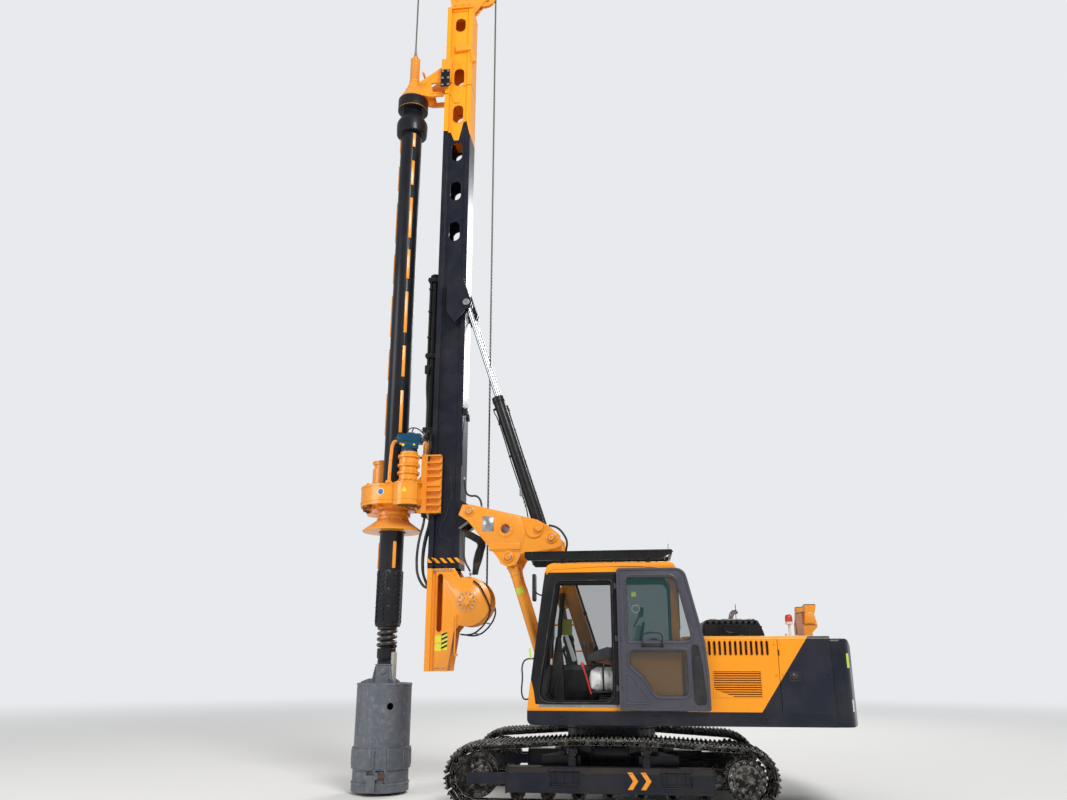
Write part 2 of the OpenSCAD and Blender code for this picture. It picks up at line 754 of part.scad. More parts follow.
module tanks() {
    half = deck_width / 2;
    color(orange) {
        block([420, 470, deck_top], [hood_front - 20, half, hood_top_z - 60]);
        block([-330, 470, deck_top], [400, half, hood_top_z - 190]);
        block([-960, 470, deck_top], [-350, half, box_top]);
    }
    color(dark) {
        for (p = [[650, 900, hood_top_z - 60], [40, 900, hood_top_z - 190]])
            translate(p) cylinder(h = 45, r = 60);
        block([-720, 760, box_top], [-430, half - 40, box_top + 180]);
    }
}

module exhaust() {
    color(dark) translate([1790, 700, hood_top_z]) {
        cylinder(h = 260, r = 75);
        cylinder(h = 380, r = 45);
    }
}

// Forked rest for the laid-down mast: two flared cups on feet, on a beam between them
module mast_rest() {
    x = deck_rear - 70;
    foot_z = hood_top_z + 176;
    color(orange) {
        for (s = [-1, 1]) translate([0, s * 310, 0]) {
            slab(-60, 60) polygon([[x - 50, hood_top_z], [x - 50, foot_z], [x + 130, foot_z],
                [x + 130, foot_z - 40], [x + 58, foot_z - 110], [x + 58, hood_top_z]]);
            slab(-80, 80) polygon([[x - 20, foot_z], [x - 20, foot_z + 250], [x + 132, foot_z + 250],
                [x + 90, foot_z + 96], [x + 90, foot_z]]);
        }
        block([x - 40, -260, hood_top_z], [x + 40, 260, hood_top_z + 290]);
        block([x - 50, -260, hood_top_z + 290], [x + 50, 260, hood_top_z + 330]);
    }
}

module beacon() {
    color("#c8321e") translate([deck_rear - 415, -deck_width / 2 + 360, hood_top_z]) {
        cylinder(h = 150, r = 20);
        translate([0, 0, 150]) cylinder(h = 130, r = 48);
    }
}

module handrails() {
    half = deck_width / 2;
    rail_y = half - 60;
    color(orange) {
        // Rail on the right side, over the tool box and tank
        for (x = [-930, -380]) {
            translate([x, rail_y, box_top]) cylinder(h = rail_h, r = rail_tube_r);
            translate([x, rail_y, box_top + rail_h]) sphere(r = rail_tube_r);
        }
        translate([-930, rail_y, box_top + rail_h]) rotate([0, 90, 0]) cylinder(h = 550, r = rail_tube_r);
    }
    color(dark) {
        // Mirror on the right rail, reaching as far out as the open door on the left
        block([-948, rail_y + rail_tube_r - 1, box_top + 570], [-912, door_out - 30, box_top + 600]);
        block([-960, door_out - 240, box_top + 600], [-900, door_out, box_top + 1000]);
        // Mirror and grab rail at the cab's front
        block([cab_front_high - 130, cab_y0 + 20, 2560], [front_x(2560), cab_y0 + 45, 2585]);
        block([cab_front_high - 170, cab_y0 - 30, 2500], [cab_front_high - 130, cab_y0 + 150, 2860]);
        for (z = [1290, 1760]) block([-1080, cab_y0 + 50, z], [front_x(z), cab_y0 + 70, z + 20]);
        block([-1080, cab_y0 + 50, 1310], [-1060, cab_y0 + 70, 1760]);
    }
}

module boom() {
    l = span(boom_foot, boom_head);
    depth = 90;
    color(orange) difference() {
        union() {
            aim(boom_foot, boom_head, 0) {
                block([-depth, -boom_half, 40], [depth, boom_half, l - 110]);
                difference() {
                    block([-luff_offset - 55, -boom_half - 30, luff_reach - 140],
                        [-depth, boom_half + 30, luff_reach + 140]);
                    for (s = [-1, 1]) block([-luff_offset - 120, s * luff_y - 70, luff_reach - 141],
                        [-depth - 1, s * luff_y + 70, luff_reach + 141]);
                }
                block([-depth * 0.7, -boom_half + 15, l - 110], [depth * 0.7, boom_half - 15, l - 60]);
            }
            bar_y(boom_foot, 105, -bay_y + foot_plate + seat, bay_y - foot_plate - seat);
            bar_y(boom_head, 100, -boom_half, boom_half);
        }
        bar_y(boom_foot, pin_r + fit, -bay_y, bay_y);
        bar_y(boom_head, pin_r + fit, -bay_y, bay_y);
        aim(boom_foot, boom_head, 0) block([-depth + 20, -boom_half + 20, 130],
            [depth - 20, boom_half - 20, l - 130]);
    }
}

module links() {
    l = span(link_foot, link_head);
    color(orange) both() difference() {
        union() {
            aim(link_foot, link_head, link_y) {
                translate([0, 0, 60]) cylinder(h = l - 120, r = 58);
                translate([0, 0, 60]) cylinder(h = 90, r1 = 78, r2 = 58);
                translate([0, 0, l - 260]) cylinder(h = 200, r1 = 58, r2 = 85);
            }
            bar_y(link_foot, 85, link_y - link_half, link_y + link_half);
            bar_y(link_head, 90, link_y - link_half, link_y + link_half);
        }
        bar_y(link_foot, pin_r + fit, link_y - 90, link_y + 90);
        bar_y(link_head, pin_r + fit, link_y - 90, link_y + 90);
    }
}

// A cylinder's barrel from its foot pin, with a gland for its rod
module cylinder_barrel(foot, eye, y, r, rod_r, l, eye_half) {
    difference() {
        union() {
            aim(foot, eye, y) {
                translate([0, 0, 50]) cylinder(h = l - 50, r = r);
                translate([0, 0, l - 90]) cylinder(h = 90, r = r + 4);
            }
            bar_y(foot, r + 3, y - eye_half, y + eye_half);
        }
        bar_y(foot, pin_r + fit, y - eye_half - 1, y + eye_half + 1);
        aim(foot, eye, y) translate([0, 0, r + 20]) cylinder(h = l, r = rod_r + fit);
    }
}

module cylinder_rod(foot, eye, y, rod_r, start, eye_r, eye_half, bore_r) {
    l = span(foot, eye);
    difference() {
        union() {
            aim(foot, eye, y) translate([0, 0, start]) cylinder(h = l - start - eye_r / 2, r = rod_r);
            bar_y(eye, eye_r, y - eye_half, y + eye_half);
        }
        bar_y(eye, bore_r, y - eye_half - 1, y + eye_half + 1);
    }
}

module luff_barrels() {
    color(dark) for (s = [-1, 1])
        cylinder_barrel(luff_foot, luff_eye, s * luff_y, luff_barrel_r, luff_rod_r, 790, 62);
}

module luff_rods() {
    color("#c9ccd1") for (s = [-1, 1])
        cylinder_rod(luff_foot, luff_eye, s * luff_y, luff_rod_r, 540, 48, 60, 26);
}

module deltoid_outline() {
    o = link_head;
    polygon([o + [-744, 622], o + [-687, 774], o + [-560, 771], o + [154, 598], o + [420, 530],
        o + [586, 440], o + [750, 300], o + [760, 150], o + [700, 120], o + [182, 48], o + [100, -110],
        o + [-5, -140], o + [-110, -90], o + [-149, -11], o + [-608, 534]]);
}

module deltoid() {
    color(orange) {
        both() difference() {
            union() {
                slab(plate_y0, plate_y1) deltoid_outline();
                for (p = [mast_pin, boom_head, link_head]) bar_y(p, 78, plate_y1, plate_y1 + 12);
                bar_y(cylinder_foot + [-70, -20], 128, plate_y1, plate_y1 + cap_seat);
                bar_y(deltoid_bore, 125, plate_y1, plate_y1 + 14);
            }
            bar_y(deltoid_bore, bore_r, plate_y0 - 1, plate_y1 + 15);
            for (p = [mast_pin, cylinder_foot, boom_head, link_head])
                bar_y(p, pin_r + fit, plate_y0 - 1, plate_y1 + cap_seat + 1);
        }
        // Tube between the plates, around a bore that is wider than theirs
        difference() {
            bar_y(deltoid_bore, 95, -plate_y0, plate_y0);
            bar_y(deltoid_bore, bore_r + 4, -plate_y0 - 1, plate_y0 + 1);
        }
    }
}

module linkage_pins() {
    color(steel) {
        for (p = [mast_pin, boom_head, link_head]) bar_y(p, pin_r, -plate_y1 - 40, plate_y1 + 40);
        bar_y(cylinder_foot, pin_r, -plate_y1 - cap_seat, plate_y1 + cap_seat);
        both() bar_y(cylinder_foot, 62, plate_y1 + cap_seat, plate_y1 + cap_seat + 44);
    }
}

module mast_section(z0, z1, holes) {
    difference() {
        union() {
            block([mast_front, -mast_width / 2, z0], [mast_back, mast_width / 2, z1]);
            block([mast_front, -rail_half, z0], [mast_front + rail_depth, rail_half, z1]);
            block([mast_back - back_depth, -back_half, z0], [mast_back, back_half, z1]);
        }
        block([mast_front + mast_plate + 12, -mast_width / 2 + mast_plate, z0 - 1],
            [mast_back - mast_plate - 12, mast_width / 2 - mast_plate, z1 + 1]);
        slab(-mast_width, mast_width) for (h = holes)
            slot_outline([mast_back - 225, h[0]], hole_w, h[1]);
    }
}

module mast_lower() {
    lug = [200, 345];
    ears = [[link_y - link_half - 12, link_y - 38], [link_y + 38, link_y + link_half + 12]];
    color(navy) {
        difference() {
            union() {
                mast_section(foot_top, mast_split, [for (i = [0 : 2]) [hole_z0 + hole_pitch * i, hole_h]]);
                // Lugs of the mast's hinge
                both() slab(lug[0], lug[1]) polygon([[mast_back, mast_pin[1] - 230],
                    [mast_back, mast_pin[1] + 200], mast_pin + [20, 88], mast_pin + [80, 40],
                    mast_pin + [80, -40], mast_pin + [20, -88]]);
                // Ears of the mast cylinders, on a saddle around the mast
                both() {
                    block([ear[0] - 320, mast_width / 2, ear[1] - 130], [mast_back, ears[0][0], ear[1] + 430]);
                    for (e = ears) slab(e[0], e[1]) polygon([[ear[0] - 320, ear[1] + 430],
                        [ear[0] - 60, ear[1] + 430], ear + [55, 70], ear + [85, 10], ear + [70, -60],
                        ear + [5, -90], ear + [-180, -340], ear + [-320, -130]]);
                    slab(ears[0][1], ears[1][0]) polygon([ear + [-320, 430], ear + [-60, 430],
                        ear + [-145, 60], ear + [-150, -100], ear + [-320, -100]]);
                }
            }
            both() {
                bar_y(mast_pin, pin_r + fit, lug[0] - 1, lug[1] + 1);
                bar_y(ear, 38, ears[0][0] - 1, ears[1][1] + 1);
            }
        }
    }
}

module mast_upper() {
    color(orange) mast_section(mast_split, mast_end,
        concat([for (i = [3 : 4]) [hole_z0 + hole_pitch * i, hole_h]], [[12744, 290]]));
}

// Foot of the mast: a box with the front rails, between two plates that carry the winch
module mast_foot() {
    y0 = drum_half + 6;
    y1 = y0 + 30;
    plate_x = mast_front + rail_depth + 60;
    box_x = winch[0] - drum_flange_r - 20;
    color(orange) {
        difference() {
            union() {
                block([mast_front, -y0, mast_bottom], [box_x, y0, foot_top]);
                block([mast_front, -rail_half, mast_bottom], [mast_front + rail_depth, rail_half, foot_top]);
            }
            block([mast_front + 26, -y0 + mast_plate, mast_bottom - 1],
                [box_x - 26, y0 - mast_plate, foot_top + 1]);
        }
        both() slab(y0, y1) {
            polygon([[plate_x, mast_bottom], [plate_x, foot_top], [mast_back - 60, foot_top],
                [mast_back - 20, foot_top - 60], [winch[0], winch[1] + 150],
                [winch[0], winch[1] - 200], [mast_back - 50, 2160], [mast_back - 130, mast_bottom]]);
            disc_at(winch, plate_r);
        }
        bar_y(winch, pin_r, -y0, y0);
        both() for (d = [[120, 14], [78, 34]]) bar_y(winch, d[0], y1, y1 + d[1]);
    }
}

module winch_drum() {
    half = drum_half;
    color(dark) difference() {
        union() {
            bar_y(winch, drum_r, -half, half);
            for (y = [-half, half - 18]) bar_y(winch, drum_flange_r, y, y + 18);
        }
        bar_y(winch, pin_r + fit, -half - 1, half + 1);
    }
}

module sheave(p) {
    difference() {
        translate([p[0], 0, p[1]]) rotate([90, 0, 0]) rotate_extrude($fn = 64)
            polygon([[40 + fit, -sheave_half], [sheave_r, -sheave_half], [sheave_r - 34, -8],
                [sheave_r - 34, 8], [sheave_r, sheave_half], [40 + fit, sheave_half]]);
        for (a = [0 : 60 : 300])
            bar_y(p + 118 * [cos(a), sin(a)], 36, -sheave_half - 1, sheave_half + 1);
    }
}

module front_sheave() { color(orange) sheave(front_sheave_pin); }
module rear_sheave() { color(orange) sheave(rear_sheave_pin); }

module mast_head() {
    y0 = sheave_half + 12;
    y1 = y0 + 22;
    f = front_sheave_pin;
    r = rear_sheave_pin;
    color(orange) {
        block([mast_front, -rail_half, mast_end], [mast_back, rail_half, mast_end + 30]);
        both() slab(y0, y1) difference() {
            polygon([[mast_front + 60, mast_end + 30], [mast_front - 30, 13560], f + [-90, -70],
                f + [-90, 60], f + [-30, 120], f + [80, 110], [mast_back - 60, 13900],
                [mast_back + 60, 13700], r + [70, 90], r + [90, 0], r + [50, -80], [mast_back, mast_end + 30]]);
            disc_at(f, 40);
            disc_at(r, 40);
        }
        for (p = [f, r]) {
            bar_y(p, 40, -y1, y1);
            both() bar_y(p, 62, y1, y1 + 22);
        }
        block([mast_front + 80, -y0, mast_end + 30], [mast_back - 100, y0, 13200]);
    }
}

module crowd_barrel() {
    color(dark) {
        difference() {
            translate([crowd_x, 0, crowd_low]) cylinder(h = crowd_high - crowd_low, r = crowd_barrel_r);
            translate([crowd_x, 0, crowd_low - 1]) cylinder(h = crowd_high - crowd_low - 60, r = crowd_rod_r + fit);
        }
        for (z = [crowd_high - 130, 6400, crowd_low + 120]) difference() {
            block([crowd_x - 20, -110, z], [mast_front, 110, z + 70]);
            translate([crowd_x, 0, z - 1]) cylinder(h = 72, r = crowd_barrel_r);
        }
    }
}

module crowd_rod() {
    color("#c9ccd1") {
        translate([crowd_x, 0, crowd_lug_z]) cylinder(h = 2640, r = crowd_rod_r);
        bar_y([crowd_x, crowd_lug_z], 55, -crowd_eye_half, crowd_eye_half);
    }
}

module mast_barrels() {
    color(dark) both()
        cylinder_barrel(cylinder_foot, ear, link_y, mast_barrel_r, mast_rod_r, 2140, 70);
}

module mast_rods() {
    color("#c9ccd1") both()
        cylinder_rod(cylinder_foot, ear, link_y, mast_rod_r, 1620, 52, 36, 30);
}

// Slide of the rotary drive: jaws around both guide rails, stiffened by fins
module carriage() {
    front = mast_front - 35;
    fin_pitch = (carriage_high - carriage_low - 20) / 8;
    function fin_z(i) = carriage_low + fin_pitch * i;
    color(orange) {
        difference() {
            block([front - 90, -350, carriage_low], [front, 350, carriage_high]);
            block([front - 100, -110, carriage_high - 260], [front + 1, 110, carriage_high + 1]);
        }
        both() {
            block([front, rail_half + seat, carriage_low], [mast_front + 176, rail_half + seat + 30, carriage_high]);
            for (i = [0 : 8]) if (i != 4)
                block([front - 30, rail_half + seat + 30, fin_z(i)], [mast_front + 176, 345, fin_z(i) + 20]);
            slab(rail_half + seat + 30, rail_half + seat + 55) polygon([[front - 30, fin_z(4) - 20],
                [mast_front + 170, fin_z(4) - 20], [mast_front + 170, fin_z(4) + 85], [front - 30, fin_z(4) + 15]]);
            block([mast_front + rail_depth + seat, mast_width / 2 + 30, carriage_low],
                [mast_front + rail_depth + seat + 40, rail_half + seat, carriage_high]);
            block([front - 60, crowd_eye_half + 30, carriage_high - 260], [front - 20, 109, carriage_high - 120]);
        }
        // Cheeks of the crowd rod's eye, clear of the eye itself
        for (s = [-1, 1]) slab(s * (crowd_eye_half + seat + 12) - 12, s * (crowd_eye_half + seat + 12) + 12)
            translate([crowd_x - 60, carriage_high - 260]) square([90, 300 + crowd_lug_z - carriage_high]);
    }
}

module gearbox() {
    o = [kelly_x, 0, 0];
    color(orange) difference() {
        union() {
            translate(o + [0, 0, drive_z]) cylinder(h = drive_top - drive_z - 30, r = gearbox_r - 8);
            translate(o + [0, 0, drive_top - 30]) cylinder(h = 30, r = gearbox_r);
            for (s = [-1, 1]) translate(o + [s * motor_offset[0], s * motor_offset[1], drive_z - 40])
                cylinder(h = drive_top - drive_z + 40, r = lobe_r);
            translate(o + [0, 0, drive_z - 45]) cylinder(h = 45, r = 330);
            block([kelly_x + 300, -330, drive_z], [mast_front - 125, 330, drive_top - 30]);
        }
        translate(o + [0, 0, drive_z - 60]) cylinder(h = 400, r = sleeve_r + seat);
        block([mast_front - 125, -600, drive_z - 60], [mast_front + 200, 600, drive_top + 1]);
    }
}

module drive_motors() {
    z = drive_top;
    near_rings = [[160, 0, 40], [138, 40, 130], [165, 130, 165], [135, 165, 245], [165, 245, 280],
        [140, 280, 380], [165, 380, 420], [130, 420, 470]];
    far_rings = [[160, 0, 405], [138, 405, 475], [158, 475, 530]];
    for (s = [-1, 1]) translate([kelly_x + s * motor_offset[0], s * motor_offset[1], z])
        color(orange) for (r = s > 0 ? near_rings : far_rings) translate([0, 0, r[1]]) cylinder(h = r[2] - r[1], r = r[0]);
    color("#1f5a8a") translate([kelly_x + motor_offset[0], motor_offset[1], z]) {
        translate([0, 0, 470]) cylinder(h = 120, r = 115);
        translate([-110, -90, 590]) cube([220, 180, 150]);
    }
}

module drive_sleeve() {
    color(orange) translate([kelly_x, 0, 0]) difference() {
        union() {
            translate([0, 0, cone_z + 40]) cylinder(h = drive_top + 20 - cone_z, r = sleeve_r);
            translate([0, 0, cone_z + 20]) cylinder(h = 160, r1 = cone_r, r2 = sleeve_r);
            translate([0, 0, cone_z]) cylinder(h = 20, r = cone_r);
            translate([0, 0, 3860]) cylinder(h = 50, r = 262);
        }
        translate([0, 0, cone_z - 1]) cylinder(h = 900, r = sleeve_bore);
        for (a = [22.5 : 45 : 359]) rotate(a) translate([400, 0, cone_z - 1]) cylinder(h = 60, r = 11);
    }
}

// Frame that carries the kelly bar's head on a swivel and guides it along the mast
module kelly_guide() {
    tip = guide_seat + 425;
    cone = guide_seat + swivel_h;
    shoe_low = 11500;
    shoe_high = 11940;
    arm_low = 11290;
    arm_y0 = 130;
    arm_y1 = 170;
    color(orange) {
        difference() {
            union() {
                translate([kelly_x, 0, guide_seat + seat]) cylinder(h = swivel_h, r = swivel_r);
                translate([kelly_x, 0, cone]) cylinder(h = tip - cone, r1 = swivel_r, r2 = 150);
                translate([kelly_x, 0, tip]) cylinder(h = 190, r1 = 150, r2 = 88);
                translate([kelly_x, 0, tip + 190]) cylinder(h = 500, r = 86);
                translate([kelly_x, 0, tip + 690]) cylinder(h = 60, r1 = 86, r2 = 40);
            }
            translate([kelly_x, 0, guide_seat - 1]) cylinder(h = 130, r = stem_r + fit);
        }
        both() {
            slab(arm_y0, arm_y1) polygon([[kelly_x + 100, arm_low + 90], [kelly_x + 60, arm_low + 190],
                [kelly_x + 120, tip + 60], [mast_front - 100, shoe_high - 60], [mast_front - 50, shoe_high - 60],
                [mast_front - 50, arm_low], [kelly_x + 330, arm_low]]);
            block([mast_front - 60, arm_y0, shoe_low], [mast_front - 20, rail_half + 60, shoe_high]);
            block([mast_front - 20, rail_half + seat, shoe_low], [mast_front + rail_depth + 40, rail_half + 60, shoe_high]);
            block([mast_front + rail_depth + 5, mast_width / 2 + 20, shoe_low],
                [mast_front + rail_depth + 40, rail_half + seat, shoe_high]);
        }
    }
}

module kelly() {
    o = [kelly_x, 0, 0];
    keys = [[3080, 3469], [5154, 5841], [6073, 6599], [6821, 7544], [7776, 8306], [8527, 9286], [9535, 10007]];
    color(dark) {
        difference() {
            union() {
                translate(o + [0, 0, block_low]) cylinder(h = guide_low - block_low, r = kelly_r);
                translate(o + [0, 0, guide_low]) cylinder(h = guide_seat - guide_low, r = neck_r);
                translate(o + [0, 0, guide_seat]) cylinder(h = 120, r = stem_r);
                translate(o + [0, 0, skirt_low]) cylinder(h = skirt_mid - skirt_low, r1 = skirt_r, r2 = skirt_r * 0.93);
                translate(o + [0, 0, skirt_mid]) cylinder(h = guide_low - skirt_mid, r1 = skirt_r * 0.93, r2 = kelly_r);
            }
            translate(o + [0, 0, block_low - 1]) cylinder(h = guide_low - block_low, r = kelly_r - kelly_wall);
        }
        translate(o + [0, 0, block_low]) cylinder(h = 60, r = kelly_r - kelly_wall);
        for (a = [0 : 120 : 240], k = keys) translate(o) rotate(a - 60)
            block([kelly_r - 6, -24, k[0]], [kelly_r + key_out, 24, k[1]]);
        // Lower collar, square stub and its pin
        translate(o + [0, 0, collar_low]) cylinder(h = spring_low - collar_low, r = 135);
        translate(o + [0, 0, spring_low]) cylinder(h = block_low - spring_low, r = 88);
        translate(o + [-stub_half, -stub_half, bucket_top + 20]) cube([2 * stub_half, 2 * stub_half,
            collar_low - bucket_top - 20]);
    }
}

// Buffer spring: a wire of radius w wound round the kelly, its ends on the two collars
module kelly_spring() {
    turns = 4;
    steps = 16;
    sides = 8;
    w = 25;
    coil_r = 122;
    rise = block_low - spring_low - 2 * w - 2 * seat;
    n = turns * steps;
    function ring(i) = let (a = 360 * i / steps, c = [coil_r * cos(a), coil_r * sin(a), w + seat + rise * i / n])
        [for (k = [0 : sides - 1]) let (b = 360 * (k + 0.5) / sides)
            c + w / cos(180 / sides) * [cos(b) * cos(a), cos(b) * sin(a), sin(b)]];
    color(dark) translate([kelly_x, 0, spring_low]) polyhedron(
        points = [for (i = [0 : n]) each ring(i)],
        faces = concat([[for (k = [0 : sides - 1]) k]],
            [for (i = [0 : n - 1], k = [0 : sides - 1]) let (m = (k + 1) % sides)
                [i * sides + k, (i + 1) * sides + k, (i + 1) * sides + m, i * sides + m]],
            [[for (k = [sides - 1 : -1 : 0]) n * sides + k]]));
}

module bucket() {
    low = bucket_floor + seat;
    color(steel) {
        translate([kelly_x, 0, 0]) difference() {
            union() {
                translate([0, 0, low]) cylinder(h = bucket_top - low, r = bucket_r);
                translate([0, 0, 330]) cylinder(h = 270, r = bucket_r + 24);
            }
            translate([0, 0, low - 1]) cylinder(h = bucket_top - low - 24, r = bucket_r - bucket_wall);
            for (a = [-60, 35]) rotate(a) translate([bucket_r - 60, 0, 1150]) rotate([0, 90, 0])
                cylinder(h = 100, r = 48);
            for (a = [150, 210, 270, 90]) translate([250 * cos(a), 250 * sin(a), bucket_top - 60])
                cylinder(h = 100, r = 55);
            translate([-stub_half - seat, -stub_half - seat, bucket_top - 200])
                cube([2 * (stub_half + seat), 2 * (stub_half + seat), 400]);
        }
        // Lugs of the floor's hinge
        for (x = [-hinge_half - seat - 34, hinge_half + seat]) translate([kelly_x + x, 0, 0]) difference() {
            block([0, -door_axis_y - 28, door_axis_z - 28], [34, -bucket_r + 30, door_axis_z + 60]);
            translate([-1, -door_axis_y, door_axis_z]) rotate([0, 90, 0]) cylinder(h = 36, r = floor_pin_r);
            translate([-200, 0, door_axis_z - 200]) cylinder(h = 400, r = bucket_r - 2);
        }
        translate([kelly_x - hinge_half - 40, -door_axis_y, door_axis_z]) rotate([0, 90, 0])
            cylinder(h = 2 * hinge_half + 80, r = floor_pin_r);
        // Kelly box with its gussets
        translate([kelly_x, 0, bucket_top]) {
            difference() {
                translate([-110, -110, 0]) cube([220, 220, 260]);
                translate([-stub_half - seat, -stub_half - seat, -1])
                    cube([2 * (stub_half + seat), 2 * (stub_half + seat), 300]);
            }
            for (a = [-170, -50, 70]) rotate(a) translate([0, 15, 0]) rotate([90, 0, 0])
                linear_extrude(30) polygon([[100, 0], [345, 0], [345, 20], [235, 62], [188, 62], [150, 235], [100, 235]]);
        }
    }
}

module bucket_door() {
    pitch = 60;
    color(steel) {
        translate([kelly_x, 0, bucket_base]) difference() {
            cylinder(h = bucket_floor - bucket_base, r = bucket_r + 10);
            for (s = [0, 180]) rotate(s) translate([60, 20, -1]) cube([260, 90, 200]);
        }
        for (s = [0, 180], i = [0 : 4]) translate([kelly_x, 0, 0]) rotate(s)
            slab(-30, 20) polygon([[70 + pitch * i, bucket_base], [110 + pitch * i, bucket_base],
                [100 + pitch * i, 0], [80 + pitch * i, 0]]);
        // Hinge arm on the floor's near edge
        translate([kelly_x, 0, 0]) difference() {
            union() {
                block([-hinge_half, -door_axis_y - 28, bucket_base + 20], [hinge_half, -bucket_r + 5, bucket_floor]);
                block([-hinge_half, -door_axis_y - 28, bucket_base + 20],
                    [hinge_half, -bucket_r - 14, door_axis_z]);
                translate([-hinge_half, -door_axis_y, door_axis_z]) rotate([0, 90, 0])
                    cylinder(h = 2 * hinge_half, r = 28);
            }
            translate([-hinge_half - 1, -door_axis_y, door_axis_z]) rotate([0, 90, 0])
                cylinder(h = 2 * hinge_half + 2, r = floor_pin_r + fit);
        }
    }
}

stand() car_body();
stand() track_frames();
stand() track_loops();
stand() idlers();
stand() sprockets();
stand() track_rollers();
stand() deck();
stand() linkage_foot();
stand() cab_shell();
stand() cab_glass();
stand() roof_guard();
stand() seat();
stand() controls();
stand() side_panels();
stand() hood();
stand() engine_cover();
stand() engine_block();
stand() counterweight();
stand() tanks();
stand() exhaust();
stand() mast_rest();
stand() beacon();
stand() handrails();
stand() cab_door();
stand() door_glass();
stand() boom();
stand() links();
stand() luff_barrels();
stand() luff_rods();
stand() deltoid();
stand() linkage_pins();
stand() mast_foot();
stand() mast_lower();
stand() mast_upper();
stand() mast_head();
stand() crowd_barrel();
stand() mast_barrels();
stand() mast_rods();
stand() winch_drum();
stand() front_sheave();
stand() rear_sheave();
stand() carriage();
stand() gearbox();
stand() drive_motors();
stand() crowd_rod();
stand() drive_sleeve();
stand() kelly_guide();
stand() kelly();
stand() kelly_spring();
stand() bucket();
stand() bucket_door();
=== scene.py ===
# Looks of a rotary piling rig: paint, steel, glass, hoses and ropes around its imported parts.
# Lengths are in metres in the row frame: the rig faces -X, its cab is on the -Y side, +Z is up.
import json
import math

import bpy
from mathutils import Matrix, Vector


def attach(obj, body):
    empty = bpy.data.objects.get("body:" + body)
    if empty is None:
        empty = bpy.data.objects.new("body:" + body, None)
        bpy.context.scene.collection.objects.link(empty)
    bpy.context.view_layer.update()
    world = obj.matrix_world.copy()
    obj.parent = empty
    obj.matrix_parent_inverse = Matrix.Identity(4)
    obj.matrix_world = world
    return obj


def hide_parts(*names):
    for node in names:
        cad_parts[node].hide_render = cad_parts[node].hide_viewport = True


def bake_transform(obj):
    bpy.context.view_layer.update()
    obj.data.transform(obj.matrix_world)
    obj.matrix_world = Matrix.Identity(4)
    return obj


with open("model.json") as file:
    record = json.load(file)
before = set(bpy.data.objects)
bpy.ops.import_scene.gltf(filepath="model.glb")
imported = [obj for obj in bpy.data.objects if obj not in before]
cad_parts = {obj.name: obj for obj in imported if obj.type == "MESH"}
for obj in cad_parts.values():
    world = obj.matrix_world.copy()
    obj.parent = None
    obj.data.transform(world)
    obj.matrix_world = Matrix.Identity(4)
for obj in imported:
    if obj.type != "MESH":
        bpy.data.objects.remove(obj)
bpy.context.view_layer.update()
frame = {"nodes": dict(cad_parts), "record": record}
cad = frame["nodes"]
bpy.ops.object.select_all(action="DESELECT")

# Pins of the joints as (x, z), and other places in the row frame
PIN = {}
for joint in frame["record"]["behaviour"]["joints"]:
    if "pos_m" in joint:
        PIN[joint["name"]] = (joint["pos_m"][0], joint["pos_m"][2])
SLEW_X = PIN["slew"][0]
BOOM_FOOT, BOOM_HEAD = PIN["luff"], PIN["deltoid_level"]
LINK_FOOT, MAST_PIN = PIN["link_swing"], PIN["mast_tilt"]
LINK_HEAD = (LINK_FOOT[0] + BOOM_HEAD[0] - BOOM_FOOT[0], LINK_FOOT[1] + BOOM_HEAD[1] - BOOM_FOOT[1])
CYLINDER_FOOT, LUFF_FOOT = PIN["mast_barrel_swing"], PIN["luff_barrel_swing"]
WINCH, REAR_SHEAVE, FRONT_SHEAVE = PIN["winch_spin"], PIN["rear_sheave_spin"], PIN["front_sheave_spin"]
KELLY_X = PIN["kelly_spin"][0]
LINKAGE_BORE = (LINK_HEAD[0] - 0.045, LINK_HEAD[1] + 0.406)
EAR = (MAST_PIN[0] - 0.14, MAST_PIN[1] + 3.37)
LUFF_EYE = (BOOM_FOOT[0] - 1.150 * 0.30287 - 0.160 * 0.95303, BOOM_FOOT[1] + 1.150 * 0.95303 - 0.160 * 0.30287)
MAST_BACK = MAST_PIN[0] - 0.178
MAST_FRONT = MAST_BACK - 0.46
MAST_HALF, RAIL_HALF, BACK_HALF = 0.19, 0.25, 0.215
DECK_TOP, HOOD_TOP, HALF = 1.165, 2.06, 1.36


# Making pieces: each is modelled in place, in the row frame, and ends with its origin at the world's

AXES = {"x": Vector((1, 0, 0)), "y": Vector((0, 1, 0)), "z": Vector((0, 0, 1))}


def settle(piece=None):
    """Puts the piece's place into its mesh."""
    piece = piece or bpy.context.object
    bpy.ops.object.select_all(action="DESELECT")
    piece.select_set(True)
    bpy.context.view_layer.objects.active = piece
    bpy.ops.object.transform_apply(location=True, rotation=True, scale=True)
    return piece


def outward(piece):
    bpy.ops.object.mode_set(mode="EDIT")
    bpy.ops.mesh.select_all(action="SELECT")
    bpy.ops.mesh.remove_doubles(threshold=0.00005)
    bpy.ops.mesh.normals_make_consistent(inside=False)
    bpy.ops.object.mode_set(mode="OBJECT")
    return piece


def modify(piece, kind, **settings):
    """Adds a modifier with its settings and applies it."""
    bpy.context.view_layer.objects.active = piece
    step = piece.modifiers.new("step", kind)
    for key, value in settings.items():
        setattr(step, key, value)
    bpy.ops.object.modifier_apply(modifier=step.name)
    return piece


def rounded(piece, width, segments=2, angle=35):
    """Breaks the piece's sharp edges, as grinding or a press radius does."""
    if width:
        modify(piece, "BEVEL", width=width, segments=segments, limit_method="ANGLE",
               angle_limit=math.radians(angle), use_clamp_overlap=True)
    return piece


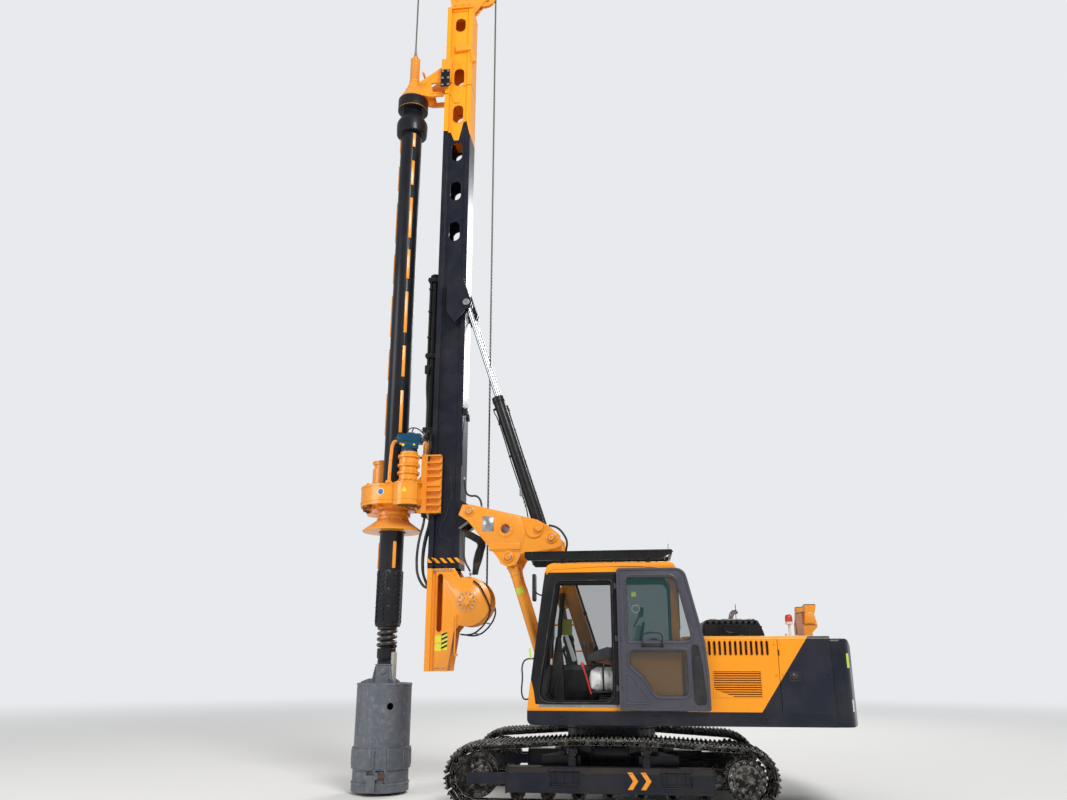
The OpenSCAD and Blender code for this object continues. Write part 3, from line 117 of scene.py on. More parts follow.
def plate(points, low, high, axis="y", edge=0.003, segments=2):
    """An outline raised into a plate between two levels along an axis. Points are (x, z), (y, z) or (x, y)."""
    bpy.ops.mesh.primitive_circle_add(vertices=len(points), fill_type="NGON")
    piece = bpy.context.object
    at = {"y": lambda u, v: (u, low, v), "x": lambda u, v: (low, u, v), "z": lambda u, v: (u, v, low)}[axis]
    for corner, (u, v) in zip(piece.data.vertices, points):
        corner.co = at(u, v)
    bpy.ops.object.mode_set(mode="EDIT")
    bpy.ops.mesh.select_all(action="SELECT")
    bpy.ops.mesh.extrude_region_move(TRANSFORM_OT_translate={"value": AXES[axis] * (high - low)})
    bpy.ops.object.mode_set(mode="OBJECT")
    settle(piece)
    outward(piece)
    return rounded(piece, edge, segments)


def block(low, high, edge=0.003, segments=2):
    """A box between two corners with its edges broken."""
    bpy.ops.mesh.primitive_cube_add(size=1, location=[(a + b) / 2 for a, b in zip(low, high)])
    piece = bpy.context.object
    piece.scale = [b - a for a, b in zip(low, high)]
    settle(piece)
    return rounded(piece, edge, segments)


def bar(a, b, r, sides=24, edge=0.0, r2=None):
    """A round bar between two points, tapering to r2 where it is given."""
    a, b = Vector(a), Vector(b)
    run = b - a
    bpy.ops.mesh.primitive_cone_add(vertices=sides, radius1=r, radius2=r if r2 is None else r2, depth=run.length,
                                    location=(a + b) / 2)
    piece = bpy.context.object
    piece.rotation_euler = run.to_track_quat("Z", "Y").to_euler()
    settle(piece)
    return rounded(piece, edge, 2)


def turned(profile, foot, along=(0, 0, 1), steps=48, edge=0.0):
    """A lathe-turned piece: (radius, height) points spun about a line from foot. Radius 0 closes an end."""
    bpy.ops.mesh.primitive_circle_add(vertices=len(profile), fill_type="NOTHING")
    piece = bpy.context.object
    for corner, (r, h) in zip(piece.data.vertices, profile):
        corner.co = (r, 0, h)
    bpy.ops.object.mode_set(mode="EDIT")
    bpy.ops.mesh.select_all(action="SELECT")
    bpy.ops.mesh.spin(steps=steps, angle=math.tau, center=(0, 0, 0), axis=(0, 0, 1))
    bpy.ops.mesh.select_all(action="SELECT")
    bpy.ops.mesh.remove_doubles(threshold=0.00005)
    bpy.ops.mesh.dissolve_degenerate(threshold=0.00005)
    bpy.ops.mesh.normals_make_consistent(inside=False)
    bpy.ops.object.mode_set(mode="OBJECT")
    piece.location = foot
    piece.rotation_euler = Vector(along).to_track_quat("Z", "Y").to_euler()
    settle(piece)
    return rounded(piece, edge, 2)


def hose(points, r, sides=10, closed=False, straight=False, steps=8):
    """A bent tube through points, as a hose, pipe or rope, or with straight runs between them, as a weld or a rim."""
    line = bpy.data.curves.new("line", "CURVE")
    line.dimensions = "3D"
    line.bevel_depth = r
    line.bevel_resolution = max(0, sides // 2 - 2)
    line.resolution_u = 1 if straight else steps
    line.use_fill_caps = True
    spline = line.splines.new("BEZIER")
    spline.bezier_points.add(len(points) - 1)
    for knot, place in zip(spline.bezier_points, points):
        knot.co = place
        knot.handle_left_type = knot.handle_right_type = "VECTOR" if straight else "AUTO"
    spline.use_cyclic_u = closed
    piece = bpy.data.objects.new("hose", line)
    bpy.context.scene.collection.objects.link(piece)
    bpy.ops.object.select_all(action="DESELECT")
    piece.select_set(True)
    bpy.context.view_layer.objects.active = piece
    bpy.ops.object.convert(target="MESH")
    return bpy.context.object


def weld_run(a, b, r=0.005, step=0.03):
    """A fillet weld between two points, with its slight waves."""
    a, b = Vector(a), Vector(b)
    count = max(2, int((b - a).length / step))
    wave = Vector((0.0012, 0.0012, 0.0012))
    return hose([tuple(a + (b - a) * k / count + wave * (k % 2)) for k in range(count + 1)], r, 6, straight=True)


def node_copy(name):
    """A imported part's own shape, to be cut or dressed further in place of it."""
    piece = cad[name].copy()
    piece.data = cad[name].data.copy()
    piece.data.transform(cad[name].matrix_world)
    piece.matrix_world = Matrix.Identity(4)
    piece.parent = None
    bpy.context.scene.collection.objects.link(piece)
    settle(piece)
    outward(piece)
    return piece


def joined(parts):
    """Several meshes as one piece."""
    bpy.ops.object.select_all(action="DESELECT")
    for part in parts:
        part.select_set(True)
    bpy.context.view_layer.objects.active = parts[0]
    if len(parts) > 1:
        bpy.ops.object.join()
    return bpy.context.object


def copies(piece, moves):
    """The piece repeated at each move, a 4x4 matrix or an offset, as one mesh; the first model is used up."""
    made = []
    for move in moves:
        twin = piece.copy()
        twin.data = piece.data.copy()
        bpy.context.scene.collection.objects.link(twin)
        turn = move if isinstance(move, Matrix) else Matrix.Translation(move)
        twin.data.transform(turn)
        if turn.determinant() < 0:
            twin.data.flip_normals()
        made.append(twin)
    bpy.data.objects.remove(piece)
    return joined(made)


def mirrored(piece):
    """The piece and its mirror image across the rig's middle, as one mesh."""
    return copies(piece, [Matrix.Identity(4), Matrix.Scale(-1, 4, AXES["y"])])


def bolts(places, r=0.015, h=0.012, along=(0, -1, 0), washer=1.5):
    """Hexagon-head screws on washers, seated on a face: their heads point along the face's outward normal."""
    head = bar((0, 0, 0), (0, 0, h), r, 6)
    rounded(head, r * 0.12, 1)
    ring = bar((0, 0, -0.001), (0, 0, h * 0.22), r * washer, 16)
    screw = joined([head, ring])
    turn = Vector(along).to_track_quat("Z", "Y").to_matrix().to_4x4()
    return copies(screw, [Matrix.Translation(p) @ turn for p in places])


def bolt_circle(centre, r, count, along, size=0.015, start_angle=0.0, h=None):
    """Screws on a circle about a line through centre."""
    turn = Vector(along).to_track_quat("Z", "Y").to_matrix()
    places = []
    for k in range(count):
        a = start_angle + math.tau * k / count
        places.append(Vector(centre) + turn @ Vector((r * math.cos(a), r * math.sin(a), 0)))
    return bolts(places, size, h or size * 0.8, along)


def finished(name, parts, body, finish, smooth=32, stands_for=()):
    """Names a piece, gives it its finish and the body that it moves with (None: it is left without a body)."""
    piece = joined(parts if isinstance(parts, list) else [parts])
    piece.name = name
    piece.data.name = name
    finishes = finish if isinstance(finish, list) else [finish]
    if not (isinstance(finish, list) and len(piece.data.materials) == len(finish)):
        piece.data.materials.clear()
        for one in finishes:
            piece.data.materials.append(one)
    bpy.ops.object.select_all(action="DESELECT")
    piece.select_set(True)
    bpy.context.view_layer.objects.active = piece
    bpy.ops.object.shade_smooth_by_angle(angle=math.radians(smooth))
    if body:
        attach(piece, body)
    if stands_for:
        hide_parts(*stands_for)
    return piece


# Camera and light

def place_camera():
    """Stands where the photograph was taken: eye height, in front of the cab side, tipped up."""
    camera = bpy.data.objects.new("camera", bpy.data.cameras.new("camera"))
    bpy.context.scene.collection.objects.link(camera)
    camera.data.sensor_width = 36.0
    camera.data.lens = 28.27
    camera.data.clip_end = 400.0
    camera.location = (SLEW_X + 0.423, -12.445, 1.80)
    camera.rotation_euler = (math.radians(90 + 17.1), 0, math.radians(6.9))
    bpy.context.scene.camera = camera


def place_lights():
    """One big soft key from the camera's right, a weaker fill, and an even pale surrounding."""
    for name, place, size, power in (("key", (9, -17, 19), 9.0, 3900.0), ("fill", (-17, -11, 9), 10.0, 1100.0),
                                     ("rim", (4, 17, 15), 9.0, 1500.0)):
        light = bpy.data.objects.new(name, bpy.data.lights.new(name, "AREA"))
        bpy.context.scene.collection.objects.link(light)
        light.data.shape = "DISK"
        light.data.size = size
        light.data.energy = power
        light.location = place
        aim = Vector((-1.0, 0, 4.5)) - Vector(place)
        light.rotation_euler = aim.to_track_quat("-Z", "Y").to_euler()


# Finishes

def linear(code, alpha=1.0):
    """An sRGB hex value as a linear colour."""
    parts = [int(code[i:i + 2], 16) / 255 for i in (1, 3, 5)]
    return tuple(c / 12.92 if c <= 0.04045 else ((c + 0.055) / 1.055) ** 2.4 for c in parts) + (alpha,)


def add(tree, kind, inputs=None, output=0, stops=(), **settings):
    """Adds one node with its settings. Each input is a number, an sRGB hex value or another node's socket."""
    made = tree.nodes.new("ShaderNode" + kind)
    for key, value in settings.items():
        setattr(made, key, value)
    for k, (place, tone) in enumerate(stops):
        elements = made.color_ramp.elements
        element = elements[k] if k < len(elements) else elements.new(place)
        element.position = place
        element.color = linear(tone) if isinstance(tone, str) else (tone, tone, tone, 1)
    for socket, value in (inputs or {}).items():
        if isinstance(value, bpy.types.NodeSocket):
            tree.links.new(value, made.inputs[socket])
        else:
            made.inputs[socket].default_value = linear(value) if isinstance(value, str) else value
    return made.outputs[output]


def start(name):
    """A new material with its shader and the piece's own coordinates."""
    finish = bpy.data.materials.new(name)
    finish.use_nodes = True
    tree = finish.node_tree
    return finish, tree, tree.nodes["Principled BSDF"].inputs, add(tree, "TexCoord", output="Object")


def patches(tree, where, scale, low, high, detail=6.0, rough=0.6):
    """Cloudy patches: white above high and black below low."""
    cloud = add(tree, "TexNoise", {"Vector": where, "Scale": scale, "Detail": detail, "Roughness": rough})
    return add(tree, "MapRange", {"Value": cloud, "From Min": low, "From Max": high})


def worn_edges(tree, radius=0.006):
    """White along a piece's sharp edges, where paint and dirt rub off, and its rounded normal."""
    soft = add(tree, "Bevel", {"Radius": radius}, samples=4)
    turn = add(tree, "VectorMath", {0: soft, 1: add(tree, "NewGeometry", output="Normal")}, output="Value",
               operation="DOT_PRODUCT")
    return add(tree, "MapRange", {"Value": turn, "From Min": 0.985, "From Max": 0.90}), soft


def settled(tree, where, amount):
    """Dust: a film on what faces up, and cloudy patches elsewhere."""
    height = add(tree, "SeparateXYZ", {"Vector": add(tree, "NewGeometry", output="Normal")}, output="Z")
    lying = add(tree, "MapRange", {"Value": height, "From Min": 0.35, "From Max": 0.9, "To Max": 0.75 * amount})
    cloud = patches(tree, where, 2.3, 0.42, 0.75, 8.0, 0.65)
    return add(tree, "Math", {0: cloud, 1: 0.35 * amount, 2: lying}, operation="MULTIPLY_ADD")


def within(tree, value, low, high):
    """1 where a value lies between two limits, else 0."""
    above = add(tree, "Math", {0: value, 1: low}, operation="GREATER_THAN")
    return add(tree, "Math", {0: add(tree, "Math", {0: value, 1: high}, operation="LESS_THAN"), 1: above},
               operation="MULTIPLY")


def enamel(name, tone, dark, dust=0.25, gloss=0.28, chip="#5A5550", zones=None, wear=0.5, coat=0.35):
    """Sprayed two-pack enamel on welded plate: glossy, with orange peel, a film of site dust and rubbed edges.
    zones(tree, where, base) lays other colours over the base one, where the real machine is masked and sprayed."""
    finish, tree, shader, where = start(name)
    drift = add(tree, "TexNoise", {"Vector": where, "Scale": 0.9, "Detail": 4.0, "Roughness": 0.55})
    base = add(tree, "Mix", {0: drift, 6: tone, 7: dark}, 2, data_type="RGBA")
    if zones:
        base = zones(tree, where, base)
    edges, soft = worn_edges(tree)
    film = settled(tree, where, dust)
    dusty = add(tree, "Mix", {0: film, 6: base, 7: DUST}, 2, data_type="RGBA")
    # Chips are broken up, so that only short lengths of an edge are bare
    broken = add(tree, "Math", {0: patches(tree, where, 9.0, 0.55, 0.66, 5.0, 0.7), 1: wear}, operation="MULTIPLY")
    chips = add(tree, "Math", {0: edges, 1: broken}, operation="MULTIPLY")
    tree.links.new(add(tree, "Mix", {0: chips, 6: dusty, 7: chip}, 2, data_type="RGBA"), shader["Base Color"])
    smear = add(tree, "TexNoise", {"Vector": where, "Scale": 5.0, "Detail": 6.0})
    sheen = add(tree, "MapRange", {"Value": smear, "To Min": gloss - 0.05, "To Max": gloss + 0.16})
    tree.links.new(add(tree, "Math", {0: film, 1: 0.8, 2: sheen}, operation="MULTIPLY_ADD"), shader["Roughness"])
    # Orange peel of about 4 mm, and the slow waves of welded sheet
    peel = add(tree, "TexNoise", {"Vector": where, "Scale": 260.0, "Detail": 2.0})
    wave = add(tree, "TexNoise", {"Vector": where, "Scale": 6.0, "Detail": 2.0})
    fine = add(tree, "Bump", {"Height": peel, "Normal": soft, "Strength": 0.10, "Distance": 0.001})
    tree.links.new(add(tree, "Bump", {"Height": wave, "Normal": fine, "Strength": 0.10, "Distance": 0.01}),
                   shader["Normal"])
    shader["Coat Weight"].default_value = coat
    shader["Specular IOR Level"].default_value = 0.5 if coat > 0.3 else 0.2
    shader["Coat Roughness"].default_value = 0.12
    return finish


def bare_steel(name, tone, dark, rub, mud=0.5, mud_tone="#9C8C72", rough=(0.38, 0.72), metal=0.75, grain=90.0,
               mud_scale=4.5):
    """Working steel: dark mill skin, scuffed bright along its edges, with dried soil on it. On the tracks the
    near-white edge tone is worn steel and also a painted highlight of the grousers' glints.
    """
    finish, tree, shader, where = start(name)
    edges, soft = worn_edges(tree, 0.008)
    skin = add(tree, "TexNoise", {"Vector": where, "Scale": 3.0, "Detail": 8.0, "Roughness": 0.7})
    base = add(tree, "Mix", {0: skin, 6: tone, 7: dark}, 2, data_type="RGBA")
    scuffs = add(tree, "Math", {0: patches(tree, where, 14.0, 0.50, 0.72, 9.0, 0.72), 1: 0.45}, operation="MULTIPLY")
    rubbed = add(tree, "Math", {0: edges, 1: 0.7, 2: scuffs}, operation="MULTIPLY_ADD")
    # Edge tone: rubbed steel, and on the tracks also a painted highlight
    worn_and_glint_tone = add(tree, "Mix", {0: rubbed, 6: base, 7: rub}, 2, data_type="RGBA")
    soil = add(tree, "Math", {0: patches(tree, where, mud_scale, 0.48, 0.62, 10.0, 0.75), 1: mud},
               operation="MULTIPLY")
    tree.links.new(add(tree, "Mix", {0: soil, 6: worn_and_glint_tone, 7: mud_tone}, 2, data_type="RGBA"), shader["Base Color"])
    smear = add(tree, "TexNoise", {"Vector": where, "Scale": 11.0, "Detail": 6.0})
    tree.links.new(add(tree, "MapRange", {"Value": smear, "To Min": rough[0], "To Max": rough[1]}),
                   shader["Roughness"])
    tree.links.new(add(tree, "MapRange", {"Value": soil, "To Min": metal, "To Max": 0.0}), shader["Metallic"])
    pits = add(tree, "TexNoise", {"Vector": where, "Scale": grain, "Detail": 8.0, "Roughness": 0.7})
    rusted = add(tree, "Bump", {"Height": pits, "Normal": soft, "Strength": 0.35, "Distance": 0.004})
    tree.links.new(add(tree, "Bump", {"Height": soil, "Normal": rusted, "Strength": 0.5, "Distance": 0.006}),
                   shader["Normal"])
    return finish


def moulded(name, tone, rough=0.5, grain=420.0, depth=0.25, film=0.16):
    """Moulded plastic or vulcanised rubber: an even colour with a fine leathery grain, dulled by dust."""
    finish, tree, shader, where = start(name)
    soft = worn_edges(tree, 0.004)[1]
    dust = add(tree, "Math", {0: patches(tree, where, 6.0, 0.45, 0.8), 1: film}, operation="MULTIPLY")
    tree.links.new(add(tree, "Mix", {0: dust, 6: tone, 7: DUST}, 2, data_type="RGBA"), shader["Base Color"])
    shader["Roughness"].default_value = rough
    skin = add(tree, "TexNoise", {"Vector": where, "Scale": grain, "Detail": 3.0})
    tree.links.new(add(tree, "Bump", {"Height": skin, "Normal": soft, "Strength": depth, "Distance": 0.001}),
                   shader["Normal"])
    return finish


def woven(name, tone, thread="#8A8A8A", pitch=0.004):
    """Upholstery cloth: crossed threads, drawn 4 mm apart so that the weave shows, with a dull sheen."""
    finish, tree, shader, where = start(name)
    bands = []
    for direction in ("X", "Z"):
        bands.append(add(tree, "TexWave", {"Vector": where, "Scale": 0.314 / pitch, "Distortion": 1.2}, 1,
                         bands_direction=direction))
    weave = add(tree, "Math", {0: bands[0], 1: bands[1]}, operation="MULTIPLY")
    fleck = add(tree, "Math", {0: weave, 1: 0.35}, operation="MULTIPLY")
    tree.links.new(add(tree, "Mix", {0: fleck, 6: tone, 7: thread}, 2, data_type="RGBA"), shader["Base Color"])
    tree.links.new(add(tree, "Bump", {"Height": weave, "Strength": 0.5, "Distance": 0.0015}), shader["Normal"])
    shader["Roughness"].default_value = 0.85
    shader["Sheen Weight"].default_value = 0.3
    return finish


def chrome(name):
    """Hard-chromed, ground piston rod: nearly a mirror, with a faint haze of oil and dust."""
    finish, tree, shader, where = start(name)
    haze = add(tree, "TexNoise", {"Vector": where, "Scale": 18.0, "Detail": 4.0})
    tree.links.new(add(tree, "Mix", {0: haze, 6: "#A9ADB2", 7: "#8C9197"}, 2, data_type="RGBA"),
                   shader["Base Color"])
    shader["Metallic"].default_value = 1.0
    tree.links.new(add(tree, "MapRange", {"Value": haze, "To Min": 0.08, "To Max": 0.28}), shader["Roughness"])
    return finish


def safety_glass(name):
    """Tempered glass with a dark green tint and a little road film on it."""
    finish, tree, shader, where = start(name)
    film = add(tree, "MapRange", {"Value": patches(tree, where, 3.0, 0.4, 0.8), "To Min": 0.02, "To Max": 0.12})
    tree.links.new(film, shader["Roughness"])
    shader["Base Color"].default_value = linear("#2B4F52")
    shader["IOR"].default_value = 1.5
    # Seen straight on it is nearly clear; at a slant it mirrors and hides more
    slant = add(tree, "LayerWeight", {"Blend": 0.35}, output="Facing")
    tree.links.new(add(tree, "MapRange", {"Value": slant, "To Min": 0.34, "To Max": 0.85}), shader["Alpha"])
    return finish


def wire_rope(name):
    """Galvanised rope: strands laid round it at a slant, 30 mm apart along it, greased dark between them."""
    finish, tree, shader, where = start(name)
    lay = add(tree, "TexWave", {"Vector": where, "Scale": 10.5, "Distortion": 0.6}, 1, bands_direction="DIAGONAL")
    tree.links.new(add(tree, "Mix", {0: lay, 6: "#2B2A28", 7: "#85857F"}, 2, data_type="RGBA"),
                   shader["Base Color"])
    tree.links.new(add(tree, "Bump", {"Height": lay, "Strength": 0.8, "Distance": 0.004}), shader["Normal"])
    shader["Metallic"].default_value = 0.6
    shader["Roughness"].default_value = 0.45
    return finish


def cab_zones(tree, where, base):
    """Black round the door opening and on the front pillars, orange roof band, sill and rear, grey lining, and painted
    shade on the far wall's inner face.
    """
    x, y, z = (add(tree, "SeparateXYZ", {"Vector": where}, output=axis) for axis in "XYZ")
    band = within(tree, z, 1.243, 2.868)
    # Inner face of the far wall: painted shade, a dark brown-olive laid over its paint
    turn = add(tree, "SeparateXYZ", {"Vector": add(tree, "NewGeometry", output="Normal")}, output="Y")
    inner = add(tree, "Math", {0: within(tree, turn, -1.1, -0.4), 1: within(tree, y, -1.10, -0.35)}, operation="MULTIPLY")
    inner = add(tree, "Math", {0: inner, 1: within(tree, x, -2.0, SLEW_X + 0.62)}, operation="MULTIPLY")
    base = add(tree, "Mix", {0: inner, 6: base, 7: "#3B3426"}, 2, data_type="RGBA")
    front = add(tree, "Math", {0: x, 1: SLEW_X + 0.185}, operation="LESS_THAN")
    slant = add(tree, "Math", {0: z, 1: 0.15, 2: x}, operation="MULTIPLY_ADD")
    corner = add(tree, "Math", {0: within(tree, z, 1.0, 1.53), 1: within(tree, slant, -2.0, -0.4155)},
                 operation="MULTIPLY")
    dark = add(tree, "Math", {0: add(tree, "Math", {0: band, 1: front}, operation="MULTIPLY"), 1: corner},
               operation="SUBTRACT", use_clamp=True)
    two = add(tree, "Mix", {0: dark, 6: base, 7: "#17181A"}, 2, data_type="RGBA")
    room = add(tree, "Math", {0: within(tree, y, -1.288, -0.487), 1: within(tree, z, 1.20, 2.962)},
               operation="MULTIPLY")
    length = add(tree, "Math", {0: z, 1: -0.137, 2: x}, operation="MULTIPLY_ADD")
    inside = add(tree, "Math", {0: room, 1: within(tree, length, -0.845, 0.85)}, operation="MULTIPLY")
    return add(tree, "Mix", {0: inside, 6: two, 7: "#43454A"}, 2, data_type="RGBA")


def hood_zones(tree, where, base):
    """Navy behind a slanting line that runs on into the counterweight."""
    x, z = (add(tree, "SeparateXYZ", {"Vector": where}, output=axis) for axis in "XZ")
    slant = add(tree, "Math", {0: z, 1: -0.691, 2: x}, operation="MULTIPLY_ADD")
    behind = add(tree, "Math", {0: slant, 1: 1.368}, operation="GREATER_THAN")
    return add(tree, "Mix", {0: behind, 6: base, 7: NAVY}, 2, data_type="RGBA")


def mast_zones(tree, where, base):
    """Orange above a stepped line near the top, a thin line over it, and slanting bars above the foot."""
    x, z = (add(tree, "SeparateXYZ", {"Vector": where}, output=axis) for axis in "XZ")
    # Each masked line is a level with steps: from one x to the next it climbs or falls by so much
    lines = []
    for level, steps in ((10.500, ((-2.208, -2.147, -0.163), (-2.068, -1.988, 0.362), (-1.932, -1.869, -0.277))),
                         (11.261, ((-2.230, -2.169, -0.167), (-2.066, -2.006, 0.342)))):
        for x0, x1, climb in steps:
            step = add(tree, "MapRange", {"Value": x, "From Min": x0, "From Max": x1, "To Max": climb})
            level = add(tree, "Math", {0: step, 1: level}, operation="ADD")
        lines.append(add(tree, "Math", {0: z, 1: level}, operation="SUBTRACT"))
    above = add(tree, "Math", {0: lines[0], 1: 0.0}, operation="GREATER_THAN")
    two = add(tree, "Mix", {0: above, 6: base, 7: ORANGE}, 2, data_type="RGBA")
    two = add(tree, "Mix", {0: within(tree, lines[1], -0.007, 0.007), 6: two, 7: "#3A2A1C"}, 2, data_type="RGBA")
    run = add(tree, "Math", {0: x, 1: z}, operation="ADD")
    saw = add(tree, "Math", {0: add(tree, "Math", {0: run, 1: 9.1}, operation="MULTIPLY")}, operation="FRACT")
    bars = add(tree, "Math", {0: saw, 1: 0.5}, operation="GREATER_THAN")
    tone = add(tree, "Mix", {0: bars, 6: "#151617", 7: ORANGE}, 2, data_type="RGBA")
    return add(tree, "Mix", {0: within(tree, z, 3.134, 3.208), 6: two, 7: tone}, 2, data_type="RGBA")


ORANGE, NAVY, DUST = "#FBA01C", "#151A29", "#B9A88C"
place_camera()
place_lights()
paint_orange = enamel("orange_enamel", ORANGE, "#F39412")
paint_navy = enamel("navy_enamel", NAVY, "#111521", chip="#6E6B66", dust=0.12, coat=0.22)
paint_grey = enamel("grey_enamel", "#4C4C57", "#44444E", chip="#8C8A86", dust=0.14, coat=0.2)
paint_black = enamel("black_enamel", "#17181B", "#111215", gloss=0.36, chip="#77736C", dust=0.07, coat=0.15)
kelly_paint = enamel("kelly_enamel", "#161922", "#10121A", gloss=0.34, chip="#83868C", dust=0.05, coat=0.2, wear=0.3)
screw_black = enamel("blackened_screws", "#26272A", "#1B1C1F", gloss=0.4, chip="#8A8A88", dust=0.10, coat=0.05)
paint_blue = enamel("blue_enamel", "#124A66", "#0E3F58", chip="#7A7F85", dust=0.08, coat=0.25)
cab_paint = enamel("cab_enamel", ORANGE, "#F39412", zones=cab_zones, dust=0.14, coat=0.28)
hood_paint = enamel("hood_enamel", ORANGE, "#F39412", zones=hood_zones, dust=0.10, coat=0.28)
mast_paint = enamel("mast_enamel", NAVY, "#111521", chip="#6E6B66", zones=mast_zones, dust=0.12, coat=0.25)
# Near-white edge tone of the tracks: worn grouser steel and a painted highlight of its glints
track_steel = bare_steel("track_steel", "#1F1E1E", "#151515", "#DAD8D2", mud=0.22, mud_tone="#7E7060")
tool_steel = bare_steel("tool_steel", "#70757E", "#5E636B", "#A4A8AE", mud=0.14, metal=0.5, grain=40.0)
cast_black = bare_steel("cast_iron", "#2A2B2D", "#1D1E20", "#6F6F70", mud=0.2, metal=0.4)
pin_steel = bare_steel("zinc_plated_steel", "#9FA2A5", "#85888B", "#D0D2D4", mud=0.12, metal=0.8, rough=(0.25, 0.5))
soil_cake = bare_steel("dried_soil", "#7A5038", "#5E3D2B", "#8C6348", mud=0.9, mud_tone="#86583D", metal=0.0, rough=(0.85, 0.95),
                       mud_scale=20.0)
chromed = chrome("chromed_rod")
glass = safety_glass("tinted_glass")
rope_steel = wire_rope("galvanised_rope")
seat_cloth = woven("seat_cloth", "#26272B")
cover_film = moulded("seat_cover_vinyl", "#E6E7E5", rough=0.32, grain=60.0, depth=0.6, film=0.05)
rubber = moulded("hose_rubber", "#151516", rough=0.55)
plastic = moulded("moulded_plastic", "#141519", rough=0.5, film=0.06)
grey_plastic = moulded("console_plastic", "#A3A49F", rough=0.45)
pale_plastic = moulded("lamp_base_plastic", "#D9D6CE", rough=0.4)
lamp_red = moulded("red_lens", "#C7321F", rough=0.2, depth=0.05)
lever_red = moulded("lever_knob_plastic", "#C22A20", rough=0.3)
mark_yellow = moulded("yellow_marking_film", "#E7DC3A", rough=0.35, depth=0.03, film=0.3)
mark_lime = moulded("lime_marking_film", "#C6DB4A", rough=0.3, depth=0.03, film=0.2)
mark_olive = moulded("olive_marking_sheet", "#8C9446", rough=0.6, depth=0.03, film=0.3)
mark_white = moulded("white_marking_film", "#E4E4E0", rough=0.3, depth=0.03, film=0.2)
lamp_clear = moulded("clear_lamp_lens", "#C9CDD0", rough=0.12, depth=0.4, film=0.05)
mirror_face = chrome("silvered_mirror")
mark_blue = moulded("blue_marking_film", "#2F6FB0", rough=0.3, depth=0.03, film=0.2)
spring_steel = enamel("spring_enamel", "#1B1C1F", "#141518", gloss=0.30, chip="#6A6A6A", dust=0.2)

for names, finish in (
    ("car_body track_frames deck counterweight linkage_foot", paint_navy),
    ("mast_lower mast_upper", mast_paint),
    ("track_loops idlers sprockets track_rollers", track_steel),
    ("cab_shell", cab_paint),
    ("side_panels hood", hood_paint),
    ("tanks mast_rest handrails boom links deltoid mast_foot", paint_orange),
    ("mast_head front_sheave rear_sheave carriage gearbox drive_motors drive_sleeve kelly_guide", paint_orange),
    ("roof_guard engine_cover exhaust luff_barrels mast_barrels crowd_barrel winch_drum", paint_black),
    ("cab_door", paint_grey),
    ("linkage_pins", pin_steel),
    ("engine_block kelly_spring", cast_black),
    ("kelly", kelly_paint),
    ("bucket bucket_door", tool_steel),
    ("luff_rods mast_rods crowd_rod", chromed),
    ("cab_glass door_glass", glass),
    ("seat controls", plastic),
    ("beacon", lamp_red),
):
    for piece in names.split():
        if piece in cad:
            cad[piece].data.materials.clear()
            cad[piece].data.materials.append(finish)


# Undercarriage

TRACK_Y = 1.10
WHEEL_X, WHEEL_Z, PIN_R = 1.655, 0.395, 0.329
CARRIER_X, TOP_Z = 0.46, 0.797
BEAM_Y = -1.29           # outer face of the near side frame
BEAM_HALF = 1.2739
SHOES = 52


def chain_line(count):
    """Evenly spaced points on the chain's pins, round one track, from below the idler."""
    line = []
    for x, first, last in ((WHEEL_X, -90, 88), (-WHEEL_X, 92, 270)):
        for k in range(25):
            a = math.radians(first + (last - first) * k / 24)
            line.append((x + PIN_R * math.cos(a), WHEEL_Z + PIN_R * math.sin(a)))
        if x > 0:
            line += [(CARRIER_X, TOP_Z), (-CARRIER_X, TOP_Z)]
    line.append(line[0])
    steps = [math.dist(a, b) for a, b in zip(line, line[1:])]
    total, spots, walked, k = sum(steps), [], 0.0, 0
    for n in range(count):
        target = total * n / count
        while walked + steps[k] < target:
            walked += steps[k]
            k += 1
        t = (target - walked) / steps[k]
        a, b = line[k], line[k + 1]
        spots.append((a[0] + t * (b[0] - a[0]) + SLEW_X, a[1] + t * (b[1] - a[1])))
    return spots


def shoe_places(side):
    """For each shoe: a matrix with X along the chain, Z outwards from the loop, at its first pin."""
    spots = chain_line(SHOES)
    made = []
    for a, b in zip(spots, spots[1:] + spots[:1]):
        run = Vector((b[0] - a[0], 0, b[1] - a[1])).normalized()
        out = Vector((run.z, 0, -run.x))
        turn = Matrix((run, Vector((0, 1, 0)), out)).transposed().to_4x4()
        turn.translation = (a[0], side * TRACK_Y, a[1])
        made.append(turn)
    return made


def track_shoe(pitch):
    """A rolled triple-grouser shoe with its four screws, lying on a pair of forged links."""
    plate_low, plate_top, tip = 0.030, 0.040, 0.0645
    ribs = []
    for share in (0.16, 0.495, 0.83):
        c = share * pitch
        ribs += [(c - 0.016, plate_top), (c - 0.007, tip), (c + 0.007, tip), (c + 0.016, plate_top)]
    profile = [(0.012 * pitch, plate_low - 0.010), (0.012 * pitch, plate_top)] + ribs
    profile += [(0.985 * pitch, plate_top), (0.985 * pitch, plate_low)]
    parts = [plate(profile, -0.298, 0.298, edge=0.0)]
    heads = [(share * pitch, y, plate_top) for share in (0.33, 0.66) for y in (-0.075, 0.075)]
    parts.append(copies(bar((0, 0, 0), (0, 0, 0.014), 0.017, 6), heads))
    link = [(-0.030, -0.020), (-0.018, -0.040), (0.02, -0.046), (pitch - 0.02, -0.046), (pitch + 0.018, -0.040),
            (pitch + 0.030, -0.020), (pitch + 0.026, 0.020), (pitch - 0.035, 0.029), (0.035, 0.029), (-0.026, 0.020)]
    parts.append(copies(plate(link, -0.014, 0.014, edge=0.0), [(0, -0.072, 0), (0, 0.072, 0)]))
    parts.append(bar((0, -0.094, 0), (0, 0.094, 0), 0.019, 10))
    return joined(parts)


